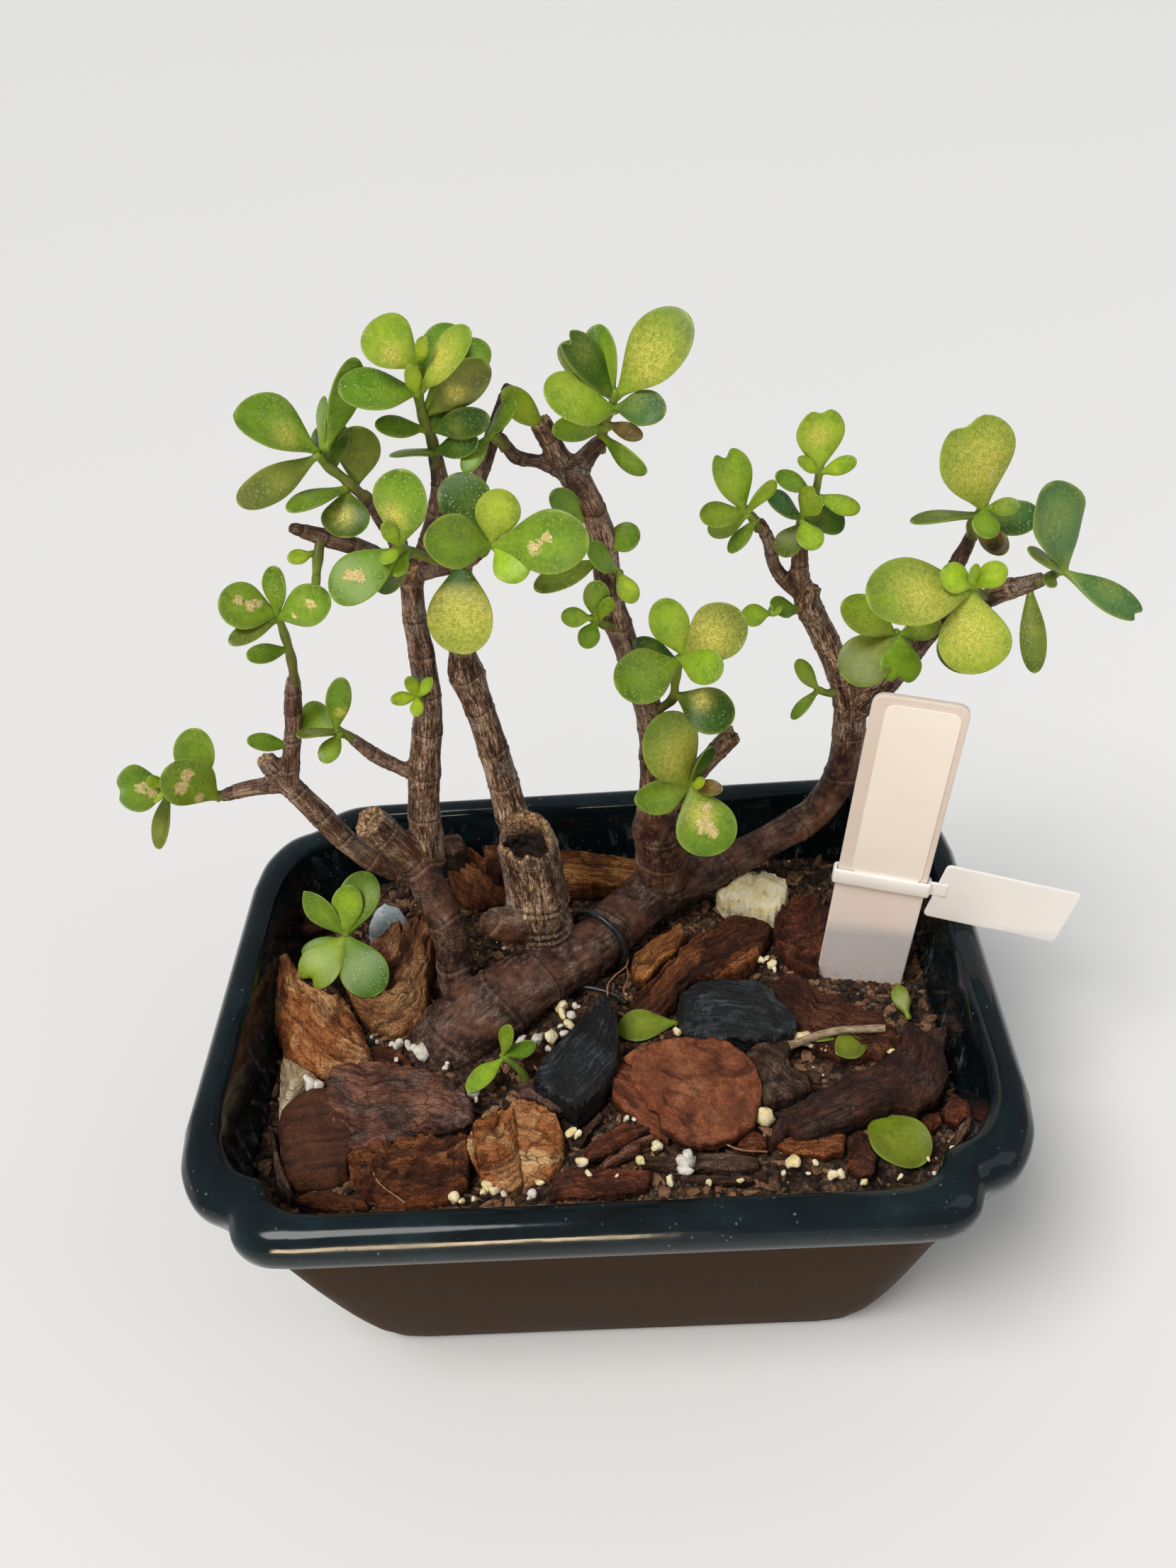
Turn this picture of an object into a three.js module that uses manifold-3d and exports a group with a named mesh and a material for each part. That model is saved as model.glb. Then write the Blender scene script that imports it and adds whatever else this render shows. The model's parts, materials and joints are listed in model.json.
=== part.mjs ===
// Dwarf jade bonsai (Portulacaria afra) in an oblong glazed pot.
// Millimetres, +Z up, +X to the viewer's right, +Y away from the viewer.
// The origin is the bottom centre of the pot, on the surface that it stands on.

import * as THREE from 'three';
import { mergeVertices } from 'three/addons/utils/BufferGeometryUtils.js';
import Module from 'manifold-3d';

const wasm = await Module();
wasm.setup();
const { Manifold, Mesh: ManifoldMesh } = wasm;

// Pot: the driving dimensions.
const POT_HALF_LENGTH = 105;
const POT_HALF_WIDTH = 80.5;
const POT_HEIGHT = 80.5;
const POT_BOTTOM_INSET = 22;
const RIM_WIDTH = 9.2;
const RIM_BAND = 11.8;
const RIM_OVERHANG = 4.2;
const WALL = 7;
const FLOOR_TOP = 12;
const WALL_TOP = 61;
const FLOOR_CORNER = 0.86;
const WALL_TOP_CORNER = 0.92;

// Soil and the clearance between pieces that touch.
const SOIL_LEVEL = 58;
const SOIL_EDGE_DROP = 1.5;
const SOIL_CLEARANCE = 0.35;
const GAP = 0.3;

// One quarter of the pot's plan, as distances in from the box's corner: a lobe from the
// short side, a shallow re-entrant notch near the diagonal, and a lobe to the long side.
const CORNER = [
  [0, 36], [2, 24], [7.4, 15], [14, 11.4], [16, 10.2], [19, 4.4], [24.6, 1], [33, 0],
];

// Leaves.
const LEAF_THICKNESS = 2;
const LEAF_STATIONS = [[0, 0.15], [0.3, 0.66], [0.6, 1], [0.88, 0.66]];
const SMALL_LEAF = 9.5;
const SMALL_LEAF_STATIONS = [[0, 0.24], [0.6, 1]];
const PETIOLE_HALF_WIDTH = 0.8;
const ROOT_SINK = 0.8;
const FACING = new THREE.Vector3(0.05, -0.7, 0.71).normalize();
const STEM_SIDES = 4;
const STEM_ROOT_RADIUS = 1.5;
const STEM_TIP_RADIUS = 1.1;

// Wood.
const LIMB_SIDES = 8;
const TWIG_SIDES = 6;
const LIMB_STEP = 10.5;
const TWIG_RADIUS = 3;
const RING_SWELL = 1.06;

// Every limb: points x, y, z with the limb's radius there.
const LIMBS = {
  trunk: [
    [-51, -3, 51.5, 10.8], [-44, -2, 58, 10.9], [-31, 5, 63, 10.4], [-19, 12, 66, 9.2],
    [-3, 22, 67, 8], [6, 33, 67, 7.8], [16, 42, 69, 7.8], [27, 46, 70, 6.8],
    [39, 50, 72, 5.6], [53, 54, 77, 5], [66, 59, 82, 5], [73, 61, 93, 4.9],
    [75, 61, 106, 4.7], [75, 60, 121, 4.6],
  ],
  fork_left_arm: [
    [75, 60, 117, 4], [72, 59, 131, 3.8], [66, 57, 147, 3.5], [61, 55, 160, 3.5],
    [62, 55, 164, 3.3],
  ],
  fork_left_twig: [
    [61, 55, 161, 2.4], [56, 54, 165, 2], [52, 53, 172, 1.8], [51, 52, 178, 1.8],
    [48, 50, 186, 1.5],
  ],
  fork_top_twig: [[60, 55, 160, 2.5], [59, 55, 170, 2.3], [59, 54, 177, 2]],
  fork_right_arm: [
    [75, 60, 118, 4.2], [85, 56, 131, 3], [90, 51, 144, 2.7], [95, 46, 156, 2.5],
    [104, 39, 166, 2.4], [107, 36, 170, 2.8], [110, 34, 172, 2.3], [115, 32, 175, 1.8],
  ],
  fork_right_twig: [
    [94, 47, 154, 2], [96, 46, 166, 1.9], [97, 45, 173, 2.1], [99, 45, 178, 1.8],
    [100, 45, 182, 1.4],
  ],
  middle: [
    [19, 44, 68, 8], [19, 43, 84, 7.6], [18, 42, 95, 6.9], [18, 41, 103, 5.3],
    [19, 40, 118, 4.6], [18, 39, 136, 3.8], [14, 38, 155, 3.4], [10, 37, 173, 3.4],
    [9, 36, 192, 3.4], [7, 35, 201, 3.1], [3, 34, 211, 3.5],
  ],
  middle_left_stub: [[4, 34, 207, 3], [0, 34, 216, 2.5], [-3, 33, 224, 2.6]],
  middle_right_twig: [[3, 34, 208, 2.8], [7, 34, 214, 2.3], [11, 34, 218, 1.8]],
  middle_left_twig: [
    [2, 34, 210, 1.9], [-4, 33, 214, 1.6], [-9, 32, 216, 1.7], [-12, 31, 222, 1.3],
  ],
  middle_dead_stub: [[21, 40, 104, 3.6], [30, 38, 117, 2.9], [35, 37, 124, 2.7], [40, 36, 131, 2.8]],
  stump: [
    [-17, 18, 56, 8], [-17, 21, 68, 8], [-17, 23, 80, 8.1], [-17, 25, 92, 7.4],
    [-18, 26, 100, 6.3], [-19, 27, 106, 6],
  ],
  stump_bud: [[-18, 21, 76, 4], [-24, 17, 83, 4.9], [-28, 15, 87, 3]],
  second: [
    [-19, 28, 92, 5], [-20, 30, 101, 4.9], [-22, 32, 113, 4.5], [-23, 33, 122, 4.2],
    [-25, 35, 134, 4], [-27, 36, 146, 3.9], [-29, 37, 156, 4.5], [-29, 37, 162, 3.4],
    [-28, 38, 175, 2.8], [-24, 38, 193, 2.4], [-20, 38, 206, 2.1], [-16, 38, 215, 2],
    [-12, 38, 224, 1.8], [-9, 37, 231, 1.4],
  ],
  left_limb: [
    [-38, 13, 55, 6], [-42, 14, 64, 5.4], [-42, 18, 75, 5.1], [-44, 22, 83, 5],
    [-48, 27, 93, 5], [-50, 30, 98, 4.6],
  ],
  cut_stub: [[-50, 30, 95, 4.6], [-54, 28, 105, 4.6], [-60, 25, 117, 4.9]],
  tall: [
    [-48, 31, 95, 5], [-47, 33, 101, 4.9], [-46, 34, 113, 4.4], [-43, 34, 131, 4.2],
    [-40, 34, 146, 3.8], [-39, 34, 162, 3.3], [-39, 34, 175, 3], [-38, 33, 186, 3.2],
    [-38, 33, 189, 4.3],
  ],
  left_branch: [
    [-51, 30, 92, 3.6], [-62, 30, 98, 3.3], [-68, 30, 105, 3.2], [-74, 30, 116, 3.3],
    [-79, 30, 125, 3.1], [-82, 30, 130, 2.9], [-85, 30, 137, 2.7],
  ],
  left_side_twig: [[-80, 30, 127, 2.1], [-87, 29, 128, 2.3], [-92, 28, 128, 2.2], [-98, 27, 127, 1.7]],
  left_up_twig: [
    [-80, 30, 128, 2.7], [-77, 30, 139, 2.4], [-75, 30, 146, 2.3], [-73, 29, 155, 2.3],
    [-71, 28, 163, 1.8],
  ],
  tall_side_twig: [[-44, 33, 124, 2.1], [-51, 32, 130, 1.9], [-55, 30, 135, 2], [-60, 28, 143, 1.5]],
  tall_top_twig: [
    [-38, 33, 186, 2.2], [-33, 33, 195, 2], [-29, 32, 205, 2], [-27, 31, 212, 2],
    [-27, 30, 219, 1.7],
  ],
  tall_left_twig: [[-39, 33, 187, 2.2], [-39, 29, 199, 2.2], [-41, 26, 207, 2.1], [-44, 24, 214, 1.4]],
  tall_dead_stub: [[-39, 33, 187, 2], [-46, 28, 197, 2], [-53, 25, 202, 2.1], [-57, 23, 205, 1.9], [-61, 21, 208, 1.2]],
  tall_right_twig: [[-37, 33, 187, 2], [-29, 26, 192, 1.8], [-23, 20, 196, 1.6], [-18, 15, 201, 1.2]],
};

// Every leafy spray: its green stem, and its leaves as base, tip, width and roll in degrees.
const SPRAYS = {
  spray_crown_left: {
    stem: [[-43, 24, 212], [-47, 23, 218], [-50, 22, 222], [-51, 21, 225]],
    leaves: [
      [[-51, 21, 226], [-65, 16, 238], 13, 15],
      [[-51, 20, 225], [-69, 14, 218], 8, -35],
      [[-49, 22, 226], [-40, 26, 244], 8, 55],
      [[-50, 22, 226], [-48, 26, 236], 7, -60],
      [[-49, 23, 220], [-49, 31, 228], 9, 0],
      [[-45, 25, 215], [-43, 30, 227], 10, 15],
      [[-47, 22, 216], [-58, 12, 217], 7, 30],
      [[-47, 23, 215], [-47, 14, 208], 11, 0],
    ],
  },
  spray_crown_top: {
    stem: [[-27, 30, 216], [-27, 29, 223], [-28, 28, 229], [-28, 27, 235], [-27, 27, 241]],
    leaves: [
      [[-27, 27, 241], [-37, 27, 250], 13, 10],
      [[-28, 27, 235], [-43, 18, 240], 12, 15],
      [[-27, 26, 236], [-14, 19, 250], 10, -15],
      [[-28, 26, 235], [-28, 21, 243], 4, 20],
      [[-27, 27, 241], [-24, 23, 248], 3.6, 0],
      [[-27, 29, 235], [-19, 38, 245], 10, 10],
      [[-27, 29, 231], [-13, 37, 241], 10, 0],
      [[-27, 29, 229], [-12, 27, 240], 9, 25],
      [[-28, 28, 226], [-37, 20, 231], 6, 10],
      [[-28, 28, 226], [-19, 34, 231], 6, 0],
      [[-27, 29, 225], [-13, 22, 230], 7, 35],
      [[-27, 29, 220], [-36, 24, 222], 7, 60],
      [[-27, 29, 220], [-16, 24, 224], 6, 10],
    ],
  },
  spray_crown_small: {
    stem: [[-11, 31, 219], [-13, 30, 222], [-14, 29, 224]],
    leaves: [
      [[-14, 29, 223], [-7, 25, 232], 5.5, -20],
      [[-14, 29, 223], [-20, 22, 218], 5, 10],
    ],
  },
  spray_crown_right: {
    stem: [[10, 34, 215], [11, 34, 220], [13, 33, 225], [15, 32, 230]],
    leaves: [
      [[15, 32, 229], [31, 30, 246], 15, -10],
      [[14, 31, 226], [0, 21, 235], 13.5, 10],
      [[14, 33, 228], [4, 33, 243], 10, 20],
      [[14, 33, 228], [11, 40, 242], 8, -25],
      [[14, 34, 227], [3, 41, 238], 8, 0],
      [[14, 32, 226], [25, 24, 228], 8, 15],
      [[12, 33, 221], [0, 27, 224], 6, -20],
      [[12, 33, 222], [20, 29, 220], 4, 30],
      [[11, 33, 219], [20, 25, 213], 6, 60],
    ],
  },
  spray_hanging_left: {
    stem: [[-25, 24, 194], [-30, 19, 199], [-34, 14, 204], [-35, 11, 208]],
    leaves: [
      [[-35, 11, 207], [-31, 12, 224], 13, -10],
      [[-35, 11, 206], [-50, 2, 200], 12, 10],
      [[-35, 11, 207], [-37, 8, 214], 4, 0],
      [[-35, 11, 206], [-38, 5, 206], 4, 20],
      [[-34, 13, 204], [-36, 6, 202], 4, 0],
      [[-34, 13, 203], [-42, 12, 195], 6, -15],
    ],
  },
  spray_hanging_right: {
    stem: [[-20, 17, 199], [-17, 15, 202], [-15, 13, 205]],
    leaves: [
      [[-15, 13, 205], [-11, 12, 218], 10, 15],
      [[-14, 12, 204], [-8, 3, 201], 9, 0],
      [[-14, 12, 205], [7, 3, 209], 14, 15],
      [[-15, 12, 205], [-28, 5, 211], 12, -15],
      [[-16, 14, 205], [-23, 21, 218], 12, 0],
    ],
  },
  leaf_hanging: {
    stem: [],
    leaves: [[[-23, 20, 197], [-24, 7, 180], 16, 10]],
  },
  leaf_crown_stub: {
    stem: [],
    leaves: [[[-2, 33, 222], [-10, 29, 233], 7, 0]],
  },
  leaf_middle_front: {
    stem: [],
    leaves: [[[8, 34, 187], [-7, 21, 188], 7, 10]],
  },
  leaf_middle_up: {
    stem: [],
    leaves: [[[5, 34, 198], [-1.5, 27, 209], 6.5, -20]],
  },
  leaf_middle_back: {
    stem: [],
    leaves: [[[9, 36, 190], [18, 34, 194], 7, 10]],
  },
  spray_middle_buds: {
    stem: [[10, 36, 182], [13, 34, 183]],
    leaves: [
      [[12, 35, 183], [6, 28, 194], 7, 10],
      [[12, 35, 183], [16, 30, 177], 5.5, 0],
    ],
  },
  spray_middle_front: {
    stem: [[11, 36, 167], [8, 32, 170], [5, 29, 174]],
    leaves: [
      [[6, 29, 174], [7, 28, 185], 6.5, 10],
      [[5, 29, 174], [-2, 24, 178], 5, -15],
      [[6, 29, 173], [3, 22, 170], 5.5, 0],
      [[7, 30, 173], [10, 26, 181], 4, 40],
    ],
  },
  spray_low_right: {
    stem: [[19, 38, 138], [24, 35, 144], [25, 32, 152], [27, 30, 162]],
    leaves: [
      [[27, 30, 161], [22, 30, 177], 10, -10],
      [[27, 30, 161], [42, 24, 175], 14, 10],
      [[26, 30, 159], [10, 18, 161], 14, -10],
      [[26, 30, 160], [36, 20, 162], 10, 15],
      [[26, 31, 158], [15, 33, 164], 6, 10],
      [[25, 33, 147], [39, 25, 143], 12, 10],
    ],
  },
  spray_low_front: {
    stem: [[20, 39, 106], [26, 34, 113], [28, 31, 119]],
    leaves: [
      [[28, 31, 118], [19, 26, 145], 17.5, 10],
      [[28, 31, 118], [13, 22, 121], 10, -25],
      [[28, 31, 118], [34, 18, 104], 17, 0],
      [[28, 31, 118], [33, 27, 134], 7, 60],
      [[28, 31, 118], [31, 25, 124], 3.6, 0],
      [[28, 31, 118], [36, 26, 120], 4.5, 10],
    ],
  },
  spray_fork_small: {
    stem: [[62, 55, 158], [56, 52, 158], [51, 50, 160]],
    leaves: [
      [[58, 53, 158], [51, 47, 163], 6.5, 10],
      [[51, 50, 159], [43, 46, 161], 6, -15],
      [[51, 50, 159], [53, 44, 163], 3.6, 0],
    ],
  },
  spray_fork_left: {
    stem: [[48, 50, 184], [46, 49, 188], [44, 48, 191]],
    leaves: [
      [[44, 48, 190], [39, 50, 206], 10.5, 10],
      [[44, 48, 190], [33, 40, 193], 7.5, 10],
      [[45, 48, 189], [35, 46, 186], 6, -20],
      [[45, 48, 190], [51, 46, 199], 6, 65],
      [[47, 49, 187], [40, 42, 182], 5, 30],
    ],
  },
  spray_fork_top: {
    stem: [[59, 54, 174], [59, 53, 184], [62, 52, 192], [63, 52, 199]],
    leaves: [
      [[59, 53, 185], [62, 47, 195], 7.5, -10],
      [[59, 53, 184], [50, 48, 194], 6.5, 15],
      [[59, 52, 184], [61, 43, 181], 7, 0],
      [[59, 53, 183], [53, 48, 177], 7, 10],
      [[59, 53, 185], [70, 53, 182], 8, 0],
      [[62, 52, 191], [73, 50, 187], 5, 20],
      [[61, 52, 192], [52, 51, 198], 5, -10],
      [[63, 52, 198], [63, 54, 213], 12.5, 10],
      [[63, 52, 197], [71, 47, 202], 4.5, 10],
      [[63, 52, 197], [57, 48, 203], 3.8, 0],
    ],
  },
  spray_arm_top: {
    stem: [[100, 45, 180], [99, 43, 185], [101, 41, 191]],
    leaves: [
      [[101, 41, 190], [95, 42, 213], 20.5, 5],
      [[100, 42, 188], [83, 38, 190], 7, 50],
      [[101, 41, 190], [100, 32, 187], 7, 0],
      [[101, 41, 190], [108, 36, 193], 4.5, 15],
      [[100, 43, 185], [115, 42, 187], 8.5, 10],
      [[100, 44, 184], [106, 35, 181], 6, 20],
    ],
  },
  spray_arm_end: {
    stem: [[113, 32, 174], [116, 31, 176], [119, 30, 179]],
    leaves: [
      [[119, 30, 178], [112, 30, 201], 15, 10],
      [[118, 30, 178], [108, 25, 187], 6, 35],
      [[119, 30, 178], [136, 20, 170], 9, -15],
      [[117, 31, 176], [113, 24, 178], 4, 0],
    ],
  },
  leaf_arm_hanging: {
    stem: [],
    leaves: [[[112, 33, 173], [115, 28, 150], 6.5, 20]],
  },
  spray_arm_front: {
    stem: [[105, 39, 166], [101, 35, 170], [98, 32, 174]],
    leaves: [
      [[98, 32, 173], [71, 22, 179], 18, 10],
      [[98, 32, 173], [96, 18, 158], 18, 0],
      [[99, 34, 171], [99, 31, 149], 16, 10],
      [[98, 32, 174], [89, 28, 181], 7.5, -10],
      [[98, 32, 174], [96, 27, 183], 4, 0],
      [[98, 32, 174], [104, 27, 182], 6.5, 10],
    ],
  },
  spray_arm_low: {
    stem: [[90, 51, 145], [86, 47, 150], [83, 45, 154]],
    leaves: [
      [[83, 45, 153], [68, 40, 167], 10, -15],
      [[84, 45, 153], [69, 38, 145], 14, 10],
      [[84, 45, 153], [83, 35, 144], 11, 0],
      [[84, 45, 153], [93, 39, 160], 7, 10],
    ],
  },
  sprout_fork: {
    stem: [[74, 59, 127], [68, 56, 128], [65, 55, 130]],
    leaves: [
      [[65, 55, 130], [58, 52, 142], 5.5, 10],
      [[65, 55, 130], [57, 49, 125], 4.5, 40],
    ],
  },
  spray_far_left: {
    stem: [[-97, 27, 127], [-104, 25, 130], [-111, 23, 134]],
    leaves: [
      [[-99, 26, 127], [-107, 19, 143], 14, -10],
      [[-104, 26, 130], [-101, 31, 147], 11, 0],
      [[-110, 23, 134], [-121, 17, 139], 13, 10],
      [[-110, 23, 133], [-115, 16, 119], 6, 20],
      [[-111, 23, 134], [-112, 19, 141], 3.8, 0],
      [[-111, 23, 134], [-112, 17, 134], 3.8, 20],
    ],
  },
  spray_left_upright: {
    stem: [[-71, 28, 161], [-70, 27, 171], [-70, 26, 178], [-70, 25, 184]],
    leaves: [
      [[-70, 25, 183], [-82, 21, 190], 12, 10],
      [[-70, 25, 183], [-68, 25, 196], 6.5, -15],
      [[-70, 25, 182], [-80, 15, 182], 5.5, 10],
      [[-70, 25, 182], [-55, 18, 191], 10, 15],
      [[-70, 27, 172], [-79, 21, 174], 5.5, 10],
    ],
  },
  leaf_left_twig: {
    stem: [],
    leaves: [[[-77, 30, 140], [-86, 24, 147], 5, 10]],
  },
  spray_left_side: {
    stem: [[-58, 29, 139], [-60, 28, 143], [-63, 26, 148]],
    leaves: [
      [[-63, 26, 147], [-58, 25, 164], 6.5, 15],
      [[-63, 26, 147], [-71, 19, 151], 7, 60],
      [[-62, 26, 146], [-66, 18, 143], 5.5, 0],
      [[-62, 27, 145], [-73, 34, 149], 9, -10],
    ],
  },
  sprout_dead_stub: {
    stem: [[-55, 24, 204], [-56, 20, 200], [-57, 17, 195]],
    leaves: [[[-57, 21, 201], [-62, 17, 202], 3.8, 0]],
  },
  sprout_tall_trunk: {
    stem: [[-40, 34, 150], [-41, 29, 154]],
    leaves: [
      [[-41, 29, 154], [-47, 25, 156], 3.8, 0],
      [[-41, 29, 154], [-42, 26, 162], 3.6, 10],
      [[-41, 29, 154], [-36, 26, 161], 3.6, -10],
      [[-41, 29, 154], [-41, 23, 152], 3.6, 0],
    ],
  },
  offshoot: {
    stem: [[-75, 32, 50], [-76, 28, 62], [-76, 25, 75]],
    leaves: [
      [[-76, 25, 74], [-74, 33, 86], 9, 10],
      [[-76, 25, 74], [-69, 37, 86], 12, 0],
      [[-76, 25, 74], [-87, 31, 84], 9, -15],
      [[-76, 25, 73], [-88, 21, 71], 6, 10],
      [[-76, 25, 74], [-86, 13, 67], 13, 15],
      [[-76, 25, 74], [-67, 8, 67], 15, 0],
    ],
  },
  seedling: {
    stem: [[-21, -18, 50], [-22, -17, 59], [-27, -15, 65]],
    leaves: [
      [[-27, -15, 64], [-34, -25, 66], 4.5, 10],
      [[-27, -15, 65], [-25, -14, 74], 4.5, -30],
      [[-27, -15, 65], [-20, -13, 69], 4, 20],
    ],
  },
};

// Leaves that have fallen on the soil: base, tip, width, roll, as on the sprays.
const FALLEN = {
  fallen_leaf_middle: [[20, -2, 59.4], [3, -4, 60.2], 10, 0],
  fallen_leaf_right: [[68, -35, 59.2], [79, -52, 60], 15, 0],
};
const FALLEN_FACING = new THREE.Vector3(0.05, -0.25, 0.97).normalize();

// Bark chips and stones: centre, size, turn, tilt about their own x and y, seed, colour.
const CHIPS = {
  charcoal_wedge: [[-8, -13, 62], [20, 38, 12], 8, 0, 4, 3, 0x2a2a2c],
  charcoal_block: [[38, 0, 63], [36, 24, 10], -12, 5, -4, 5, 0x2c2b2d],
  pumice_rock: [[46, 50, 61], [23, 19, 11], 20, 0, 0, 7, 0xe2d9c3],
  pale_stone: [[-66, 52, 60], [13, 12, 8], 30, 0, 0, 8, 0xc9d2d8],
  chip_spiked: [[-64, 28, 61.5], [23, 44, 7], 10, 10, 4, 11, 0xa87d55],
  chip_corky: [[-81, 8, 61.5], [24, 40, 7], -18, 3, 4, 12, 0xb98d60],
  chip_flat: [[-53, -25, 60.5], [38, 26, 5], 12, -3, 3, 13, 0x6d4740],
  chip_round: [[-78, -32, 60.5], [18, 34, 7], 14, 0, 4, 14, 0x8d5140],
  chip_front_left: [[-50, -50, 61], [32, 21, 6], 10, 6, -4, 15, 0xa5633d],
  chip_front: [[-23, -42, 61], [24, 27, 7], -14, 0, 5, 16, 0xb68357],
  chip_cream: [[-83, -17, 63.5], [9, 26, 5], -20, 4, 14, 17, 0xd6c4a0],
  chip_large: [[21, -26, 61], [40, 36, 7], 24, 4, 0, 18, 0x7e4436],
  chip_grey: [[47, -20, 60.5], [14, 19, 6], 0, 0, 6, 19, 0x7f6a5c],
  chip_red: [[64, -1, 61], [37, 20, 6], 14, 4, 0, 20, 0x84402f],
  chip_curved: [[71, -24, 62], [62, 13, 7], 42, 8, 5, 21, 0x4b3630],
  chip_orange: [[30, 25, 60.5], [40, 34, 6], -20, 3, 3, 22, 0xaa6437],
  chip_dark: [[56, 31, 60.5], [13, 26, 6], -8, 0, 6, 23, 0x5d3029],
  chip_back: [[-39, 63, 60], [22, 16, 6], 16, 0, 0, 24, 0xa8673f],
};
const CHIP_SIDES = 8;

// The plant label, its tag, the anchor wire and the loose stick.
const STAKE_WIDTH = 23.7;
const STAKE_THICKNESS = 1.6;
const STAKE_ABOVE = 96;
const STAKE_BELOW = 24;
const STAKE_CORNER = 4;
const STAKE_TOP_LEFT = new THREE.Vector3(72.7, 16.6, 155.6);
const STAKE_ACROSS = new THREE.Vector3(0.971, -0.214, -0.109).normalize();
const STAKE_UP = new THREE.Vector3(0.114, 0.01, 0.993).normalize();
const BAND_DROP = 59;
const BAND_HEIGHT = 4.5;
const TAG_LENGTH = 37;
const TAG_HEIGHT = 19;
const TAG_THICKNESS = 0.9;
const TAG_DROP = 50;
const TAG_DROOP = -0.16;
const TAG_NECK = 4;
const WIRE_RADIUS = 0.9;
const WIRE_STEPS = 18;
const WIRE_ROUTE = [
  [-6, 29.6, 50], [-6, 29.6, 59], [-7.9, 31.1, 67], [-5.8, 29.4, 73.8], [-0.5, 25.1, 76.6],
  [4.8, 20.8, 73.8], [7, 19, 67], [4.7, 20.9, 59], [4.9, 20.7, 50],
];
const STICK_ROUTE = [[50, -15, 63.4], [62, -12, 64.6], [76, -12, 65]];
const STICK_RADIUS = 1.2;
const STICK_STEPS = 8;

// Repeatable numbers from 0 to 1 for the broken outlines of the chips.
function seeded(seed) {
  let state = seed * 2654435761 % 4294967296;
  return () => {
    state = (state * 1664525 + 1013904223) % 4294967296;
    return state / 4294967296;
  };
}

// A closed solid from rings of equal count, each end closed by a fan about its centre,
// or the last end about a tip point.
function loft(rings, tipPoint) {
  const count = rings[0].length;
  const points = rings.flat();
  const triangles = [];
  for (let i = 0; i + 1 < rings.length; i += 1) {
    for (let j = 0; j < count; j += 1) {
      const a = i * count + j;
      const b = i * count + (j + 1) % count;
      triangles.push([a, b, b + count], [a, b + count, a + count]);
    }
  }
  const ends = [rings[0], rings.at(-1)];
  ends.forEach((ring, end) => {
    const mean = ring.reduce((sum, p) => sum.add(p), new THREE.Vector3()).divideScalar(count);
    const middle = points.push(end === 1 && tipPoint ? tipPoint : mean) - 1;
    const first = end === 0 ? 0 : (rings.length - 1) * count;
    for (let j = 0; j < count; j += 1) {
      const a = first + j;
      const b = first + (j + 1) % count;
      triangles.push(end === 0 ? [middle, b, a] : [middle, a, b]);
    }
  });
  return solid(points, triangles);
}

// A manifold solid from points and triangles, turned so that its faces point out.
function solid(points, triangles) {
  let volume = 0;
  const cross = new THREE.Vector3();
  triangles.forEach(([a, b, c]) => {
    volume += points[a].dot(cross.crossVectors(points[b], points[c]));
  });
  const faces = volume > 0 ? triangles : triangles.map(([a, b, c]) => [a, c, b]);
  return new Manifold(new ManifoldMesh({
    numProp: 3,
    vertProperties: new Float32Array(points.flatMap((p) => [p.x, p.y, p.z])),
    triVerts: new Uint32Array(faces.flat()),
  }));
}

// A manifold solid from a closed three.js geometry.
function solidFromGeometry(geometry) {
  const bare = geometry.clone();
  bare.deleteAttribute('normal');
  bare.deleteAttribute('uv');
  const merged = mergeVertices(bare);
  return new Manifold(new ManifoldMesh({
    numProp: 3,
    vertProperties: new Float32Array(merged.attributes.position.array),
    triVerts: new Uint32Array(merged.index.array),
  }));
}

function join(solids) {
  return solids.reduce((whole, piece) => whole.add(piece));
}

// The largest separate body of a solid, so that a cut leaves no crumbs.
function largest(whole) {
  const bodies = whole.decompose();
  return bodies.reduce((best, body) => (body.volume() > best.volume() ? body : best));
}

function vector([x, y, z]) {
  return new THREE.Vector3(x, y, z);
}

// Ring frames carried along a curve without twist; a reach moves the two end frames out.
function carriedFrames(curve, steps, reach = 0) {
  const frames = [];
  const across = new THREE.Vector3(0.3, -0.2, 0.9);
  for (let i = 0; i <= steps; i += 1) {
    const centre = curve.getPoint(i / steps);
    const along = curve.getTangent(i / steps);
    across.addScaledVector(along, -across.dot(along)).normalize();
    const side = new THREE.Vector3().crossVectors(along, across);
    if (i === 0) {
      centre.addScaledVector(along, -reach);
    }
    if (i === steps) {
      centre.addScaledVector(along, reach);
    }
    frames.push({ centre, across: across.clone(), side });
  }
  return frames;
}

function ringAt({ centre, across, side }, radius, sides) {
  return Array.from({ length: sides }, (_, k) => {
    const angle = (2 * Math.PI * k) / sides;
    return centre.clone()
      .addScaledVector(across, radius * Math.cos(angle))
      .addScaledVector(side, radius * Math.sin(angle));
  });
}

// A tapering limb through points with radii; every third ring swells like a leaf scar.
function limb(route, grow = 0) {
  const curve = new THREE.CatmullRomCurve3(route.map(vector), false, 'centripetal');
  const steps = Math.max(2, Math.round(curve.getLength() / LIMB_STEP));
  const thickest = Math.max(...route.map((p) => p[3]));
  const sides = thickest > TWIG_RADIUS ? LIMB_SIDES : TWIG_SIDES;
  const rings = carriedFrames(curve, steps, grow).map((frame, i) => {
    const place = (i / steps) * (route.length - 1);
    const before = Math.min(Math.floor(place), route.length - 2);
    const radius = THREE.MathUtils.lerp(route[before][3], route[before + 1][3], place - before);
    const swell = i % 3 === 1 ? RING_SWELL : 1;
    return ringAt(frame, radius * swell + grow, sides);
  });
  return loft(rings);
}

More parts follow.
